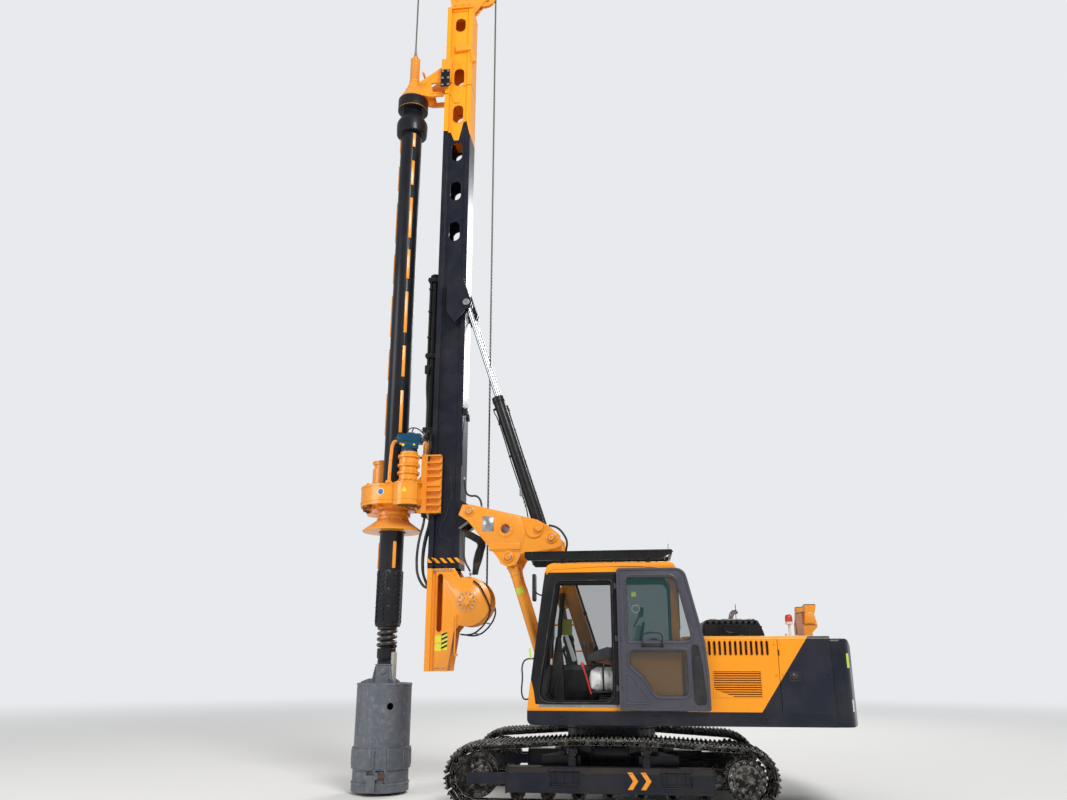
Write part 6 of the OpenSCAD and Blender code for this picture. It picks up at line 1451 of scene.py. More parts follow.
def make_mast():
    slots = [8.588 + 0.759 * k for k in range(5)]
    slot_x = MAST_BACK - 0.225
    # Welds along rails and back flange, and rims of the lightening holes
    parts = []
    for x in (MAST_FRONT + 0.079, MAST_BACK - 0.084):
        parts.append(weld_run((x, -MAST_HALF - 0.001, 3.07), (x, -MAST_HALF - 0.001, 13.06)))
    for z, h in [(z, 0.36) for z in slots] + [(12.744, 0.29)]:
        parts.append(bead(slot_line(slot_x, z, 0.188, h + 0.008, 10), -MAST_HALF - 0.0005, 0.005, 6))
    finished("mast_welds", mirrored(joined(parts)), "mast", mast_paint)
    # Bolted joints: pairs of flange strips with screws where the foot and the head meet the box
    parts, screws = [], []
    for z in (3.076, 13.055):
        parts.append(block((MAST_FRONT + 0.085, -0.2125, z - 0.020), (MAST_BACK - 0.090, -MAST_HALF + 0.002, z + 0.020), 0.004))
        screws += [(MAST_FRONT + 0.115 + 0.040 * k, -0.2125, z) for k in range(7)]
    parts.append(bolts(screws, 0.009))
    # Small screws on the side wall
    parts.append(bolts([(-2.040, -MAST_HALF, z) for z in (4.20, 4.50, 5.46, 6.10)], 0.010))
    finished("mast_joints", mirrored(joined(parts)), "mast", mast_paint)
    # Saddle of the mast cylinders: screws in rows, pin keepers on the ears, hinge lugs' bosses
    parts = [bolts([(x, -0.1985, z) for x in (EAR[0] - 0.290, EAR[0] - 0.190) for z in
                    [EAR[1] - 0.090 + 0.095 * k for k in range(6)]], 0.012)]
    parts.append(bolts([(EAR[0] - 0.28 + 0.05 * k, -0.342, EAR[1] + 0.385) for k in range(4)], 0.010))
    parts.append(weld_run((EAR[0] - 0.317, -0.199, EAR[1] - 0.13), (EAR[0] - 0.317, -0.199, EAR[1] + 0.43)))
    parts.append(bar((MAST_PIN[0], -0.3465, MAST_PIN[1]), (MAST_PIN[0], -0.360, MAST_PIN[1]), 0.070, 32, 0.003))
    parts.append(block((MAST_BACK - 0.020, -0.215, 5.395), (MAST_BACK + 0.030, -0.135, 5.515), 0.006))
    finished("mast_saddle_details", mirrored(joined(parts)), "mast", paint_navy)
    finished("mast_lamp", [block((MAST_BACK + 0.028, -0.205, 5.405), (MAST_BACK + 0.075, -0.125, 5.505), 0.012, 3),
                           hose([(MAST_BACK + 0.03, -0.165, 5.41), (MAST_BACK + 0.02, -0.17, 5.30),
                                 (MAST_BACK + 0.006, -0.19, 5.10), (MAST_BACK + 0.006, -0.19, 4.60)], 0.006, 8)],
             "mast", plastic)
    finished("mast_lamp_lens", block((MAST_BACK + 0.074, -0.198, 5.413), (MAST_BACK + 0.079, -0.132, 5.497), 0.004), "mast",
             lamp_clear)
    # Bracket on the upper mast's side, with its cheek at the back
    parts = [plate([(-2.160, 12.295), (-1.862, 12.280), (-1.870, 12.150), (-2.155, 12.140)], -0.252, -0.188, edge=0.005),
             plate([(-1.935, 12.240), (-1.872, 12.240), (-1.795, 11.925), (-1.850, 11.905)], -0.236, -0.205, edge=0.005),
             plate([(-1.900, 11.990), (-1.800, 11.990), (-1.795, 11.925), (-1.900, 11.900)], -0.225, -0.150, edge=0.005)]
    finished("mast_bracket", parts, "mast", paint_orange)
    # Cable down the near side
    y = -MAST_HALF - 0.007
    cable = (hose([(-2.043, y, 4.575), (-2.020, y, 4.38), (-2.005, y, 4.17), (-2.080, y, 3.86), (-2.161, y, 3.545),
                       (-2.110, y, 3.50), (-2.021, y, 3.457), (-2.00, y, 3.38), (-1.944, y, 3.36)], 0.007, 8))
    finished("mast_cable", cable, "mast", rubber)


def make_mast_foot():
    # The foot's own shape with the long hand holes pressed into its side plates
    foot = node_copy("mast_foot")
    for side in (-1, 1):
        y0, y1 = (-0.250, -0.150) if side < 0 else (0.150, 0.250)
        cut(foot, plate(slot_line(-2.132, 2.565, 0.082, 0.822, 8), y0, y1, edge=0))
    rounded(foot, 0.003, 1, 50)
    finished("mast_foot_plates", foot, "mast", paint_orange, stands_for=["mast_foot"])
    face = -0.2265
    parts = [bead(slot_line(-2.132, 2.565, 0.088, 0.828, 8), face, 0.004, 6)]
    hub = (WINCH[0], face, WINCH[1])
    parts.append(turned([(0.079, 0.0), (0.146, 0.0), (0.146, 0.008), (0.142, 0.012), (0.079, 0.012), (0.079, 0.0)], hub,
                        (0, -1, 0), 48))
    screws = [bolt_circle((hub[0], face - 0.012, hub[2]), 0.112, 12, (0, -1, 0), 0.012),
              bolt_circle((hub[0], face - 0.048, hub[2]), 0.048, 6, (0, -1, 0), 0.007)]
    parts.append(turned([(0.0, 0.0), (0.072, 0.0), (0.072, 0.030), (0.060, 0.040), (0.020, 0.042), (0.0, 0.042)],
                        (hub[0], face - 0.008, hub[2]), (0, -1, 0), 36))
    parts.append(weld_run((-2.189, face, 1.64), (-2.189, face, 3.03), 0.006))
    # Front rails' doubler, cross plates at the bottom and the flange under the mast's joint
    parts.append(block((MAST_FRONT + 0.080, -0.235, 3.010), (MAST_BACK - 0.070, -0.2255, 3.050), 0.004))
    screws.append(bolts([(MAST_FRONT + 0.110 + 0.048 * k, -0.235, 3.030) for k in range(6)], 0.010))
    screws.append(bolts([(-2.050 - 0.040 * k, face, 1.66) for k in range(4)], 0.008))
    finished("mast_foot_details", mirrored(joined(parts)), "mast", paint_orange)
    finished("mast_foot_screws", mirrored(joined(screws)), "mast", pin_steel)
    hook = hose([(-1.875, -0.252, 2.392), (-1.881, -0.250, 2.358), (-1.884, -0.248, 2.10), (-1.886, -0.248, 1.870),
                 (-1.880, -0.248, 1.838), (-1.858, -0.248, 1.832), (-1.848, -0.248, 1.856)], 0.012, 10)
    finished("hook_rod", hook, "mast", paint_orange)
    # Rope guard: two bent flats outside the plates, with bars across behind the drum
    arc = [(-1.632, 2.868), (-1.540, 2.790), (-1.473, 2.677), (-1.420, 2.570), (-1.386, 2.462), (-1.405, 2.365), (-1.453, 2.276),
           (-1.525, 2.195), (-1.616, 2.132), (-1.710, 2.112), (-1.810, 2.119)]
    parts = [hose([(x, y, z) for x, z in arc], 0.012, 10) for y in (-0.243, 0.243)]
    for x, z in (arc[0], arc[2], arc[4], arc[6], arc[8]):
        parts.append(bar((x, -0.243, z), (x, 0.243, z), 0.010, 12))
    finished("rope_guard", parts, "mast", paint_black)
    # Blank safety films, and black and yellow bars beside them
    films = [block((-2.187, face - 0.0012, z), (-2.092, face + 0.001, z + 0.104), 0) for z in (1.890, 2.004)]
    films.append(block((-2.086, face - 0.0010, 1.905), (-2.000, face + 0.001, 2.148), 0))
    finished("foot_films", films, "mast", mark_yellow)
    stripes = [plate([(-2.086, z), (-2.086, z + 0.030), (-2.000, z + 0.070), (-2.000, z + 0.040)], face - 0.0018, face - 0.0008,
                     edge=0) for z in (1.915, 1.975, 2.035)]
    stripes.append(plate([(-2.086, 2.095), (-2.086, 2.125), (-2.040, 2.147), (-2.000, 2.147), (-2.000, 2.135)], face - 0.0018,
                         face - 0.0008, edge=0))
    finished("foot_bars", stripes, "mast", plastic)
    # Winch: rope layers on the drum, and its hydraulic motor on the far side
    turns, pitch, r = 12, 0.0285, 0.0140
    coil = [(WINCH[0] + (0.254) * math.cos(a), -0.157 + pitch * a / math.tau, WINCH[1] + 0.254 * math.sin(a))
            for a in [math.tau * k / 28 for k in range(28 * turns - 27)]]
    finished("rope_layer", hose(coil, r, 8, straight=True), "winch_drum", rope_steel)
    parts = [turned([(0, 0), (0.100, 0.0), (0.100, 0.060), (0.070, 0.075), (0.068, 0.150), (0.088, 0.160), (0.088, 0.182),
                     (0, 0.184)], (WINCH[0], 0.262, WINCH[1]), (0, 1, 0), 36),
             block((WINCH[0] - 0.060, 0.350, WINCH[1] + 0.050), (WINCH[0] + 0.060, 0.440, WINCH[1] + 0.120), 0.008)]
    finished("winch_motor", parts, "mast", paint_black)


def make_hoses():
    y = -0.300
    parts = [hose([(-1.810, -0.22, 4.360), (-1.790, -0.25, 4.25), (-1.757, -0.26, 4.144), (-1.700, -0.28, 4.110),
                   (-1.600, y, 4.095), (-1.548, y, 4.040), (-1.524, y, 3.951)], 0.015, 10),
             hose([(-1.830, -0.24, 3.580), (-1.800, -0.26, 3.36), (-1.753, -0.27, 3.131), (-1.710, -0.262, 3.05),
                   (-1.684, -0.25, 3.000)], 0.014, 10),
             ]
    loop = hose([(-0.520, -0.345, 3.640), (-0.400, -0.350, 3.60), (-0.302, -0.350, 3.495), (-0.262, -0.340, 3.40),
                 (-0.271, -0.330, 3.302), (-0.300, -0.320, 3.20)], 0.016, 10)
    finished("deltoid_hose", [loop, bar((-0.300, -0.320, 3.205), (-0.309, -0.320, 3.160), 0.021, 6, 0.001)], "deltoid", rubber)
    for k in range(4):
        off = 0.030 * k
        parts.append(hose([(-1.800 + off * 0.3, -0.235 - off * 0.4, 3.610 - off), (-1.640, -0.25 - off * 0.5, 3.540 - off),
                           (-1.481 - off * 0.9, -0.27 - off * 0.5, 3.411 - off * 0.3), (-1.500 - off, -0.27 - off * 0.4, 3.27),
                           (-1.529 - off, -0.26 - off * 0.4, 3.154), (-1.565 - off * 0.7, -0.25 - off * 0.3, 3.05),
                           (-1.591 - off * 0.6, -0.22, 2.960)], 0.016, 10))
    finished("mast_foot_hoses", parts, "mast", rubber)
    # Loop in front of the mast, from the slide down to the foot
    parts = []
    for k, y in ((0, -0.215), (1, -0.165), (0, 0.165), (1, 0.215)):
        dx = 0.073 * k
        parts.append(hose([(-2.405 + dx, y, 3.900), (-2.418 + dx, y, 3.72), (-2.470 + dx, y, 3.50), (-2.496 + dx, y, 3.297),
                           (-2.497 + dx, y, 3.12), (-2.480 + dx, y, 2.985), (-2.425 + dx * 0.9, y, 2.860),
                           (-2.375 + dx * 0.5, y, 2.800), (-2.330, y, 2.775)], 0.019, 10))
    finished("slide_hoses", parts, "mast", rubber)
    # Hose ends: hexagon nuts and elbows where they enter pipes
    nuts = []
    for place, way in (((-1.684, -0.25, 2.985), (0.1, 0, -1)), ((-1.524, -0.30, 3.945), (0, 0, -1)),
                       ((-1.810, -0.22, 4.365), (0, 0, 1))):
        run = Vector(way).normalized()
        nuts.append(bar(place, tuple(Vector(place) + run * 0.030), 0.019, 6, 0.001))
        nuts.append(bar(tuple(Vector(place) + run * 0.028), tuple(Vector(place) + run * 0.050), 0.013, 12))
    finished("hose_nuts", nuts, "mast", pin_steel)


def make_crowd():
    x = MAST_FRONT - 0.100
    parts = []
    for z in (7.765, 6.435, 5.205):
        parts.append(block((x - 0.096, -0.113, z - 0.037), (x + 0.010, 0.113, z + 0.037), 0.006))
        parts.append(bolts([(x - 0.096, y, z) for y in (-0.092, 0.092)], 0.011, along=(-1, 0, 0)))
    parts.append(turned([(0.0385, 0.0), (0.082, 0.0), (0.082, 0.075), (0.076, 0.082), (0.070, 0.082)], (x, 0, 5.044), steps=40))
    parts.append(turned([(0, 0), (0.081, 0.0), (0.081, 0.030), (0.060, 0.045), (0, 0.045)], (x, 0, 7.838), steps=40))
    # Feed pipe on the barrel's near side, with its clamps and valve
    px, py = x - 0.060, -0.084
    parts.append(hose([(x - 0.01, -0.072, 7.800), (px, py - 0.004, 7.790), (px, py, 7.740), (px, py, 7.0), (px, py, 6.60),
                       (px, py, 6.25)], 0.014, 10))
    for z in (7.60, 7.20, 6.75):
        parts.append(block((px - 0.022, py - 0.022, z - 0.014), (px + 0.030, py + 0.022, z + 0.014), 0.004))
    parts.append(block((px - 0.040, py - 0.028, 6.130), (px + 0.035, py + 0.030, 6.270), 0.008))
    parts.append(hose([(px, py - 0.01, 6.13), (px, py - 0.014, 5.90), (px + 0.02, py - 0.016, 5.60), (px + 0.03, py - 0.012, 5.20)],
                      0.012, 8))
    finished("crowd_details", parts, "mast", paint_black)


def make_mast_head():
    y = -0.0625
    parts = [bolts([(px, y, z) for px, z in ((-2.20, 13.18), (-2.02, 13.18), (-2.20, 13.42), (-2.02, 13.42), (-2.42, 13.70),
                                             (-2.30, 13.92), (-1.96, 13.66))], 0.012)]
    for pin in (REAR_SHEAVE, FRONT_SHEAVE):
        parts.append(turned([(0, 0), (0.060, 0.0), (0.060, 0.010), (0.046, 0.016), (0, 0.018)], (pin[0], -0.0835, pin[1]),
                            (0, -1, 0), 32))
        parts.append(bolt_circle((pin[0], -0.0995, pin[1]), 0.040, 4, (0, -1, 0), 0.007, 0.4))
    parts.append(bolts([(MAST_FRONT + 0.05 + 0.09 * k, -0.235, 13.110) for k in range(5)], 0.011, along=(0, 0, 1)))
    # Ribs from the base plate up the cheeks
    for px in (-2.24, -2.10, -1.98):
        parts.append(plate([(-0.062, 13.110), (-0.062, 13.330), (-0.080, 13.330), (-0.230, 13.125), (-0.230, 13.110)],
                           px - 0.008, px + 0.008, "x", 0.003))
    near = joined(parts)
    rope_keep = [bar((FRONT_SHEAVE[0] + 0.222 * math.cos(a), -0.062, FRONT_SHEAVE[1] + 0.222 * math.sin(a)),
                     (FRONT_SHEAVE[0] + 0.222 * math.cos(a), 0.062, FRONT_SHEAVE[1] + 0.222 * math.sin(a)), 0.012, 12)
                 for a in (math.radians(-15), math.radians(-45))]
    finished("mast_head_details", [mirrored(near)] + rope_keep, "mast", paint_orange)
    # Hoist rope: from the drum up behind the mast and over both sheaves, then down to the kelly bar's head
    r, groove = 0.014, 0.205
    lean = math.atan2(FRONT_SHEAVE[1] - REAR_SHEAVE[1], REAR_SHEAVE[0] - FRONT_SHEAVE[0])
    top = math.pi / 2 - lean
    line = [(WINCH[0] + 0.254, 0.0, WINCH[1] + 0.02)]
    line += [(WINCH[0] + 0.254 + (REAR_SHEAVE[0] + groove - WINCH[0] - 0.254) * k / 20, 0.0,
              WINCH[1] + (REAR_SHEAVE[1] - WINCH[1]) * k / 20) for k in range(1, 20)]
    line += [(REAR_SHEAVE[0] + groove * math.cos(a), 0.0, REAR_SHEAVE[1] + groove * math.sin(a))
             for a in [top * k / 10 for k in range(11)]]
    line += [(FRONT_SHEAVE[0] + groove * math.cos(a), 0.0, FRONT_SHEAVE[1] + groove * math.sin(a))
             for a in [top + (math.pi - top) * k / 14 for k in range(15)]]
    finished("hoist_rope", hose(line, r, 10, straight=True), "mast", rope_steel)
    fall = FRONT_SHEAVE[0] - groove
    drop = hose([(fall, 0, FRONT_SHEAVE[1] - (FRONT_SHEAVE[1] - 12.40) * k / 24) for k in range(25)], r, 10, straight=True)
    finished("kelly_rope", drop, None, rope_steel)
    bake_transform(drop)


# Drive, kelly bar and bucket

def film_on_drum(x, y, r, outline, z_axis_depth=0.3):
    """A thin film on a round wall: the part of a slightly larger drum that lies behind an outline on its near side."""
    low, high = min(v for _, v in outline) - 0.05, max(v for _, v in outline) + 0.05
    shell = bar((x, y, low), (x, y, high), r, 160)
    return kept(shell, plate(outline, y - r - z_axis_depth, y - r * 0.75, edge=0))


def soil_lump(points, r, name):
    """Caked soil: a string of clods, broken up with a cloud texture."""
    clods = hose(points, r, 14)
    modify(clods, "REMESH", mode="VOXEL", voxel_size=0.012)
    cloud = bpy.data.textures.new(name, "CLOUDS")
    cloud.noise_scale = 0.035
    modify(clods, "DISPLACE", texture=cloud, strength=0.060, mid_level=0.45, texture_coords="GLOBAL")
    return clods


def make_slide():
    # Carriage: bolted wear-pad keepers, ribs on its near wall, pin of the crowd rod and hose brackets
    front = MAST_FRONT - 0.035
    parts = []
    for z in (3.93, 4.30, 4.66):
        parts.append(bolts([(MAST_FRONT + 0.040, -0.2808, z + dz) for dz in (-0.025, 0.025)], 0.009))
    for z in (3.905, 4.690):
        parts.append(block((MAST_FRONT - 0.002, -0.272, z - 0.035), (MAST_FRONT + 0.168, -0.2515, z + 0.035), 0.003))
    parts.append(bolts([(front - 0.0905, y, z) for y in (-0.30, -0.18) for z in (4.34, 4.52, 4.70)], 0.012, along=(-1, 0, 0)))
    parts.append(weld_run((front - 0.003, -0.3505, 3.87), (front - 0.003, -0.3505, 4.72), 0.005))
    parts.append(block((front - 0.094, -0.354, 4.705), (front + 0.004, -0.120, 4.7435), 0.004))
    parts.append(plate([(front - 0.090, 4.280), (front - 0.240, 4.280), (front - 0.090, 4.420)], -0.330, -0.305, edge=0.004))
    near = mirrored(joined(parts))
    # Cover over the crowd cylinder's eye
    eye = turned([(0.0, 0.0), (0.098, 0.0), (0.098, 0.230), (0.088, 0.262), (0.070, 0.280), (0.050, 0.283)],
                 (MAST_FRONT - 0.100, 0, 4.742), steps=36)
    finished("slide_details", [near, eye], "carriage", paint_orange)
    pin = bar((MAST_FRONT - 0.100, -0.078, 4.850), (MAST_FRONT - 0.100, 0.078, 4.850), 0.028, 24, 0.003)
    finished("crowd_pin", pin, "carriage", pin_steel)
    caked = soil_lump([(-2.330, -0.290, 3.850), (-2.290, -0.300, 3.845), (-2.240, -0.300, 3.852), (-2.190, -0.290, 3.850)], 0.012,
                      "slide_clods")
    finished("slide_soil", caked, "carriage", soil_cake)


def make_gearbox():
    x, top = KELLY_X, 4.29
    near = (x + 0.330, -0.430)
    far = (x - 0.330, 0.430)
    parts = []
    # Screws round both joints of the case, ribs under its rim and lifting eyes
    screws = [bolt_circle((x, 0, top), 0.478, 30, (0, 0, 1), 0.012)]
    parts.append(turned([(0.4965, 0.0), (0.5030, 0.003), (0.5030, 0.014), (0.4965, 0.017)], (x, 0, 4.036), steps=96))
    for cx, cy in (near, far):
        parts.append(turned([(0.212, 0.0), (0.2165, 0.003), (0.2165, 0.016), (0.212, 0.019)], (cx, cy, 4.020), steps=56))
        parts.append(turned([(0.205, 0.0), (0.2165, 0.0), (0.2165, 0.020), (0.205, 0.022)], (cx, cy, top - 0.020), steps=56))
        screws.append(bolt_circle((cx, cy, top + 0.001), 0.192, 16, (0, 0, 1), 0.010))
    for k in range(12):
        a = math.tau * (k + 0.5) / 12
        p = Vector((x + 0.42 * math.cos(a), 0.42 * math.sin(a), 0))
        out = Vector((math.cos(a), math.sin(a), 0))
        rib = plate([(-0.085, 3.952), (-0.085, 3.991), (0.070, 3.991), (0.050, 3.965)], -0.007, 0.007, edge=0.002)
        rib.data.transform(Matrix.Translation(p) @ Matrix.Rotation(a, 4, "Z"))
        parts.append(rib)
    for a in (math.radians(200), math.radians(340)):
        p = (x + 0.40 * math.cos(a), 0.40 * math.sin(a))
        parts.append(ring(circle_line(p[0], top + 0.045, 0.038, 20), circle_line(p[0], top + 0.045, 0.018, 16), p[1] - 0.009,
                          p[1] + 0.009, edge=0.003))
        parts.append(bar((p[0], p[1], top - 0.001), (p[0], p[1], top + 0.014), 0.032, 20, 0.003))
    # Bent guard beside the near motor, standing on a foot
    for y in (-0.505, -0.430):
        parts.append(hose([(-2.905, y, 4.290), (-2.902, y, 4.50), (-2.890, y, 4.76), (-2.876, y, 4.875), (-2.850, y, 4.925),
                           (-2.815, y, 4.930), (-2.760, y, 4.905), (-2.722, y, 4.880)], 0.014, 10))
    for z in (4.45, 4.66):
        parts.append(bar((-2.900, -0.505, z), (-2.900, -0.430, z), 0.010, 12))
    parts.append(block((-2.760, -0.515, 4.872), (-2.700, -0.420, 4.896), 0.004))
    parts.append(block((-2.945, -0.525, top - 0.001), (-2.865, -0.410, top + 0.032), 0.006))
    parts.append(bolts([(-2.928, y, top + 0.032) for y in (-0.505, -0.430)], 0.010, along=(0, 0, 1)))
    # Plate between case and slide, and a rib on each side of it
    for y in (-0.335, 0.319):
        parts.append(plate([(x + 0.36, 3.995), (x + 0.36, 4.255), (MAST_FRONT - 0.126, 4.255), (MAST_FRONT - 0.126, 3.860),
                            (MAST_FRONT - 0.170, 3.860)], y, y + 0.016, edge=0.004))
    finished("gearbox_details", parts, "carriage", paint_orange)

    # Near drive: planetary stages with their screwed flanges; far drive: closed stage with its cap
    parts = []
    for h, r, count in ((0.040, 0.149, 12), (0.165, 0.154, 16), (0.280, 0.154, 16), (0.420, 0.152, 14)):
        screws.append(bolt_circle((near[0], near[1], top + h), r, count, (0, 0, 1), 0.008))
    for h in (0.030, 0.155, 0.272, 0.412):
        parts.append(turned([(0.160, 0.0), (0.1685, 0.003), (0.1685, 0.008), (0.160, 0.011)], (near[0], near[1], top + h - 0.006),
                            steps=48))
    for k in range(8):
        a = math.tau * k / 8
        rib = block((0.130, -0.005, 0.285), (0.150, 0.005, 0.378), 0.002)
        rib.data.transform(Matrix.Translation((near[0], near[1], top)) @ Matrix.Rotation(a, 4, "Z"))
        parts.append(rib)
    screws.append(bolt_circle((far[0], far[1], top + 0.530), 0.140, 12, (0, 0, 1), 0.009))
    screws.append(bolt_circle((far[0], far[1], top + 0.001), 0.185, 14, (0, 0, 1), 0.010))
    finished("drive_screws", screws, "carriage", screw_black)
    parts.append(turned([(0.150, 0.0), (0.172, 0.004), (0.172, 0.026), (0.150, 0.030)], (far[0], far[1], top + 0.500), steps=48))
    parts.append(turned([(0, 0), (0.060, 0.0), (0.060, 0.020), (0.030, 0.034), (0, 0.036)], (far[0], far[1], top + 0.530),
                        steps=32))
    finished("reducer_details", parts, "carriage", paint_orange)
    # Blue hydraulic motor: wide port block, end cover, ports, regulator and drain
    cx, cy = near
    parts = [block((cx - 0.178, cy - 0.100, 4.895), (cx + 0.185, cy + 0.100, 5.036), 0.014, 3),
             turned([(0.0, 4.758), (0.1175, 4.758), (0.1175, 4.775), (0.1215, 4.780), (0.1215, 4.800), (0.1175, 4.806),
                     (0.1175, 4.897), (0.0, 4.897)], (cx, cy, 0), steps=48),
             block((cx - 0.090, cy - 0.128, 4.795), (cx + 0.060, cy - 0.060, 4.890), 0.018, 3),
             block((cx - 0.150, cy - 0.108, 4.925), (cx + 0.010, cy - 0.096, 5.010), 0.006),
             block((cx + 0.060, cy - 0.116, 4.800), (cx + 0.150, cy - 0.040, 4.900), 0.010),
             bar((cx - 0.178, cy, 4.970), (cx - 0.215, cy, 4.970), 0.048, 24, 0.006),
             bar((cx + 0.02, cy - 0.02, 5.034), (cx + 0.02, cy - 0.02, 5.062), 0.055, 24, 0.006)]
    parts.append(bolts([(cx + u, cy - 0.1005, z) for u in (0.045, 0.155) for z in (4.925, 5.005)], 0.008))
    parts.append(bolts([(cx - 0.150 + 0.060 * k, cy + v, 5.036) for k in range(5) for v in (-0.08, 0.08)], 0.008, along=(0, 0, 1)))
    finished("motor_block", parts, "carriage", paint_blue)
    valve = [bar((cx - 0.060, cy - 0.128, 4.850), (cx - 0.060, cy - 0.150, 4.850), 0.020, 20, 0.003),
             bar((cx + 0.105, cy - 0.116, 4.850), (cx + 0.105, cy - 0.140, 4.850), 0.016, 6, 0.002)]
    finished("motor_valve", valve, "carriage", mark_yellow)
    # Its hoses run back over the slide and down in front of the mast
    parts, nuts = [], []
    for k in range(4):
        y = cy - 0.055 + 0.040 * k
        lift = 5.075 + 0.030 * (k % 2)
        parts.append(hose([(cx + 0.186, y, 4.985 - 0.045 * (k % 2)), (cx + 0.235, y + 0.01, 4.990), (cx + 0.285, y + 0.05, lift),
                           (cx + 0.300 - 0.01 * k, y + 0.12, 4.98), (cx + 0.270, y + 0.17, 4.70), (cx + 0.205, y + 0.18, 4.35),
                           (cx + 0.195, y + 0.18, 4.02), (cx + 0.205 + 0.01 * k, y + 0.18, 3.80)], 0.017, 10))
        nuts.append(bar((cx + 0.180, y, 4.985 - 0.045 * (k % 2)), (cx + 0.222, y + 0.004, 4.987), 0.023, 6, 0.002))
    for k in range(2):
        parts.append(hose([(cx - 0.04 + 0.07 * k, cy - 0.02, 5.05), (cx - 0.03 + 0.07 * k, cy, 5.12), (cx + 0.06, cy + 0.06, 5.16),
                           (cx + 0.16, cy + 0.12, 5.10), (cx + 0.24, cy + 0.17, 4.95)], 0.009, 8))
        nuts.append(bar((cx - 0.04 + 0.07 * k, cy - 0.02, 5.030), (cx - 0.04 + 0.07 * k, cy - 0.02, 5.062), 0.014, 6, 0.001))
    for k in range(2):
        parts.append(hose([(far[0] + 0.10, far[1] - 0.02 - 0.05 * k, 4.850), (far[0] + 0.20, far[1] - 0.03 - 0.05 * k, 4.95),
                           (x + 0.12, 0.36, 4.93), (x + 0.30, 0.33 - 0.05 * k, 4.86), (x + 0.42, 0.30 - 0.05 * k, 4.78),
                           (x + 0.47, 0.26 - 0.05 * k, 4.60), (x + 0.495, 0.25 - 0.05 * k, 4.10)], 0.014, 10))
    finished("drive_hoses", parts, "carriage", rubber)
    finished("drive_nuts", nuts, "carriage", pin_steel)
    # Blank films on the case: a round one and a triangle
    sign = (-3.020, 4.165)
    finished("round_film", film_on_drum(x, 0, 0.4978, circle_line(sign[0], sign[1], 0.052, 32)), "carriage", mark_white)
    finished("round_film_middle", film_on_drum(x, 0, 0.4984, circle_line(sign[0], sign[1], 0.041, 32)), "carriage", mark_blue)
    triangle = softened([(near[0] - 0.040, 4.130), (near[0] + 0.006, 4.205), (near[0] + 0.050, 4.130)], 0.010)
    finished("triangle_film", film_on_drum(near[0], near[1], 0.2130, triangle), "carriage", mark_yellow)
    # Soil under the rim
    def arc(a0, a1, r, z, count):
        return [(x + r * math.cos(math.radians(a0 + (a1 - a0) * k / count)),
                 r * math.sin(math.radians(a0 + (a1 - a0) * k / count)), z + 0.016 * math.sin(2.3 * k)) for k in range(count + 1)]
    caked = [soil_lump(arc(160, 236, 0.436, 3.972, 14), 0.020, "rim_clods"),
             soil_lump(arc(-62, 40, 0.445, 3.972, 14), 0.020, "rim_clods_rear"),
             soil_lump([(near[0] - 0.10, near[1] - 0.11, 3.945), (near[0] + 0.04, near[1] - 0.12, 3.938),
                        (near[0] + 0.13, near[1] - 0.06, 3.942), (near[0] + 0.17, near[1] + 0.08, 3.945)], 0.022, "lobe_clods")]
    finished("rim_soil", caked, "carriage", soil_cake)


def make_sleeve():
    x = KELLY_X
    parts = [turned([(0.205, 3.6245), (0.4448, 3.6245), (0.4480, 3.630), (0.4480, 3.642), (0.4440, 3.647)], (x, 0, 0), steps=96),
             turned([(0.2285, 3.800), (0.2420, 3.804), (0.2420, 3.822), (0.2285, 3.826)], (x, 0, 0), steps=64)]
    for k in range(8):
        a = math.tau * k / 8
        rib = plate([(0.225, 3.800), (0.225, 3.850), (0.262, 3.790), (0.262, 3.772)], -0.006, 0.006, edge=0.001)
        rib.data.transform(Matrix.Translation((x, 0, 0)) @ Matrix.Rotation(a, 4, "Z"))
        parts.append(rib)
    finished("sleeve_details", parts, "drive_sleeve", paint_orange)


def turned_about(piece, a):
    """The piece swung about the kelly bar's axis."""
    piece.data.transform(Matrix.Translation((KELLY_X, 0, 0)) @ Matrix.Rotation(math.radians(a), 4, "Z"))
    return piece


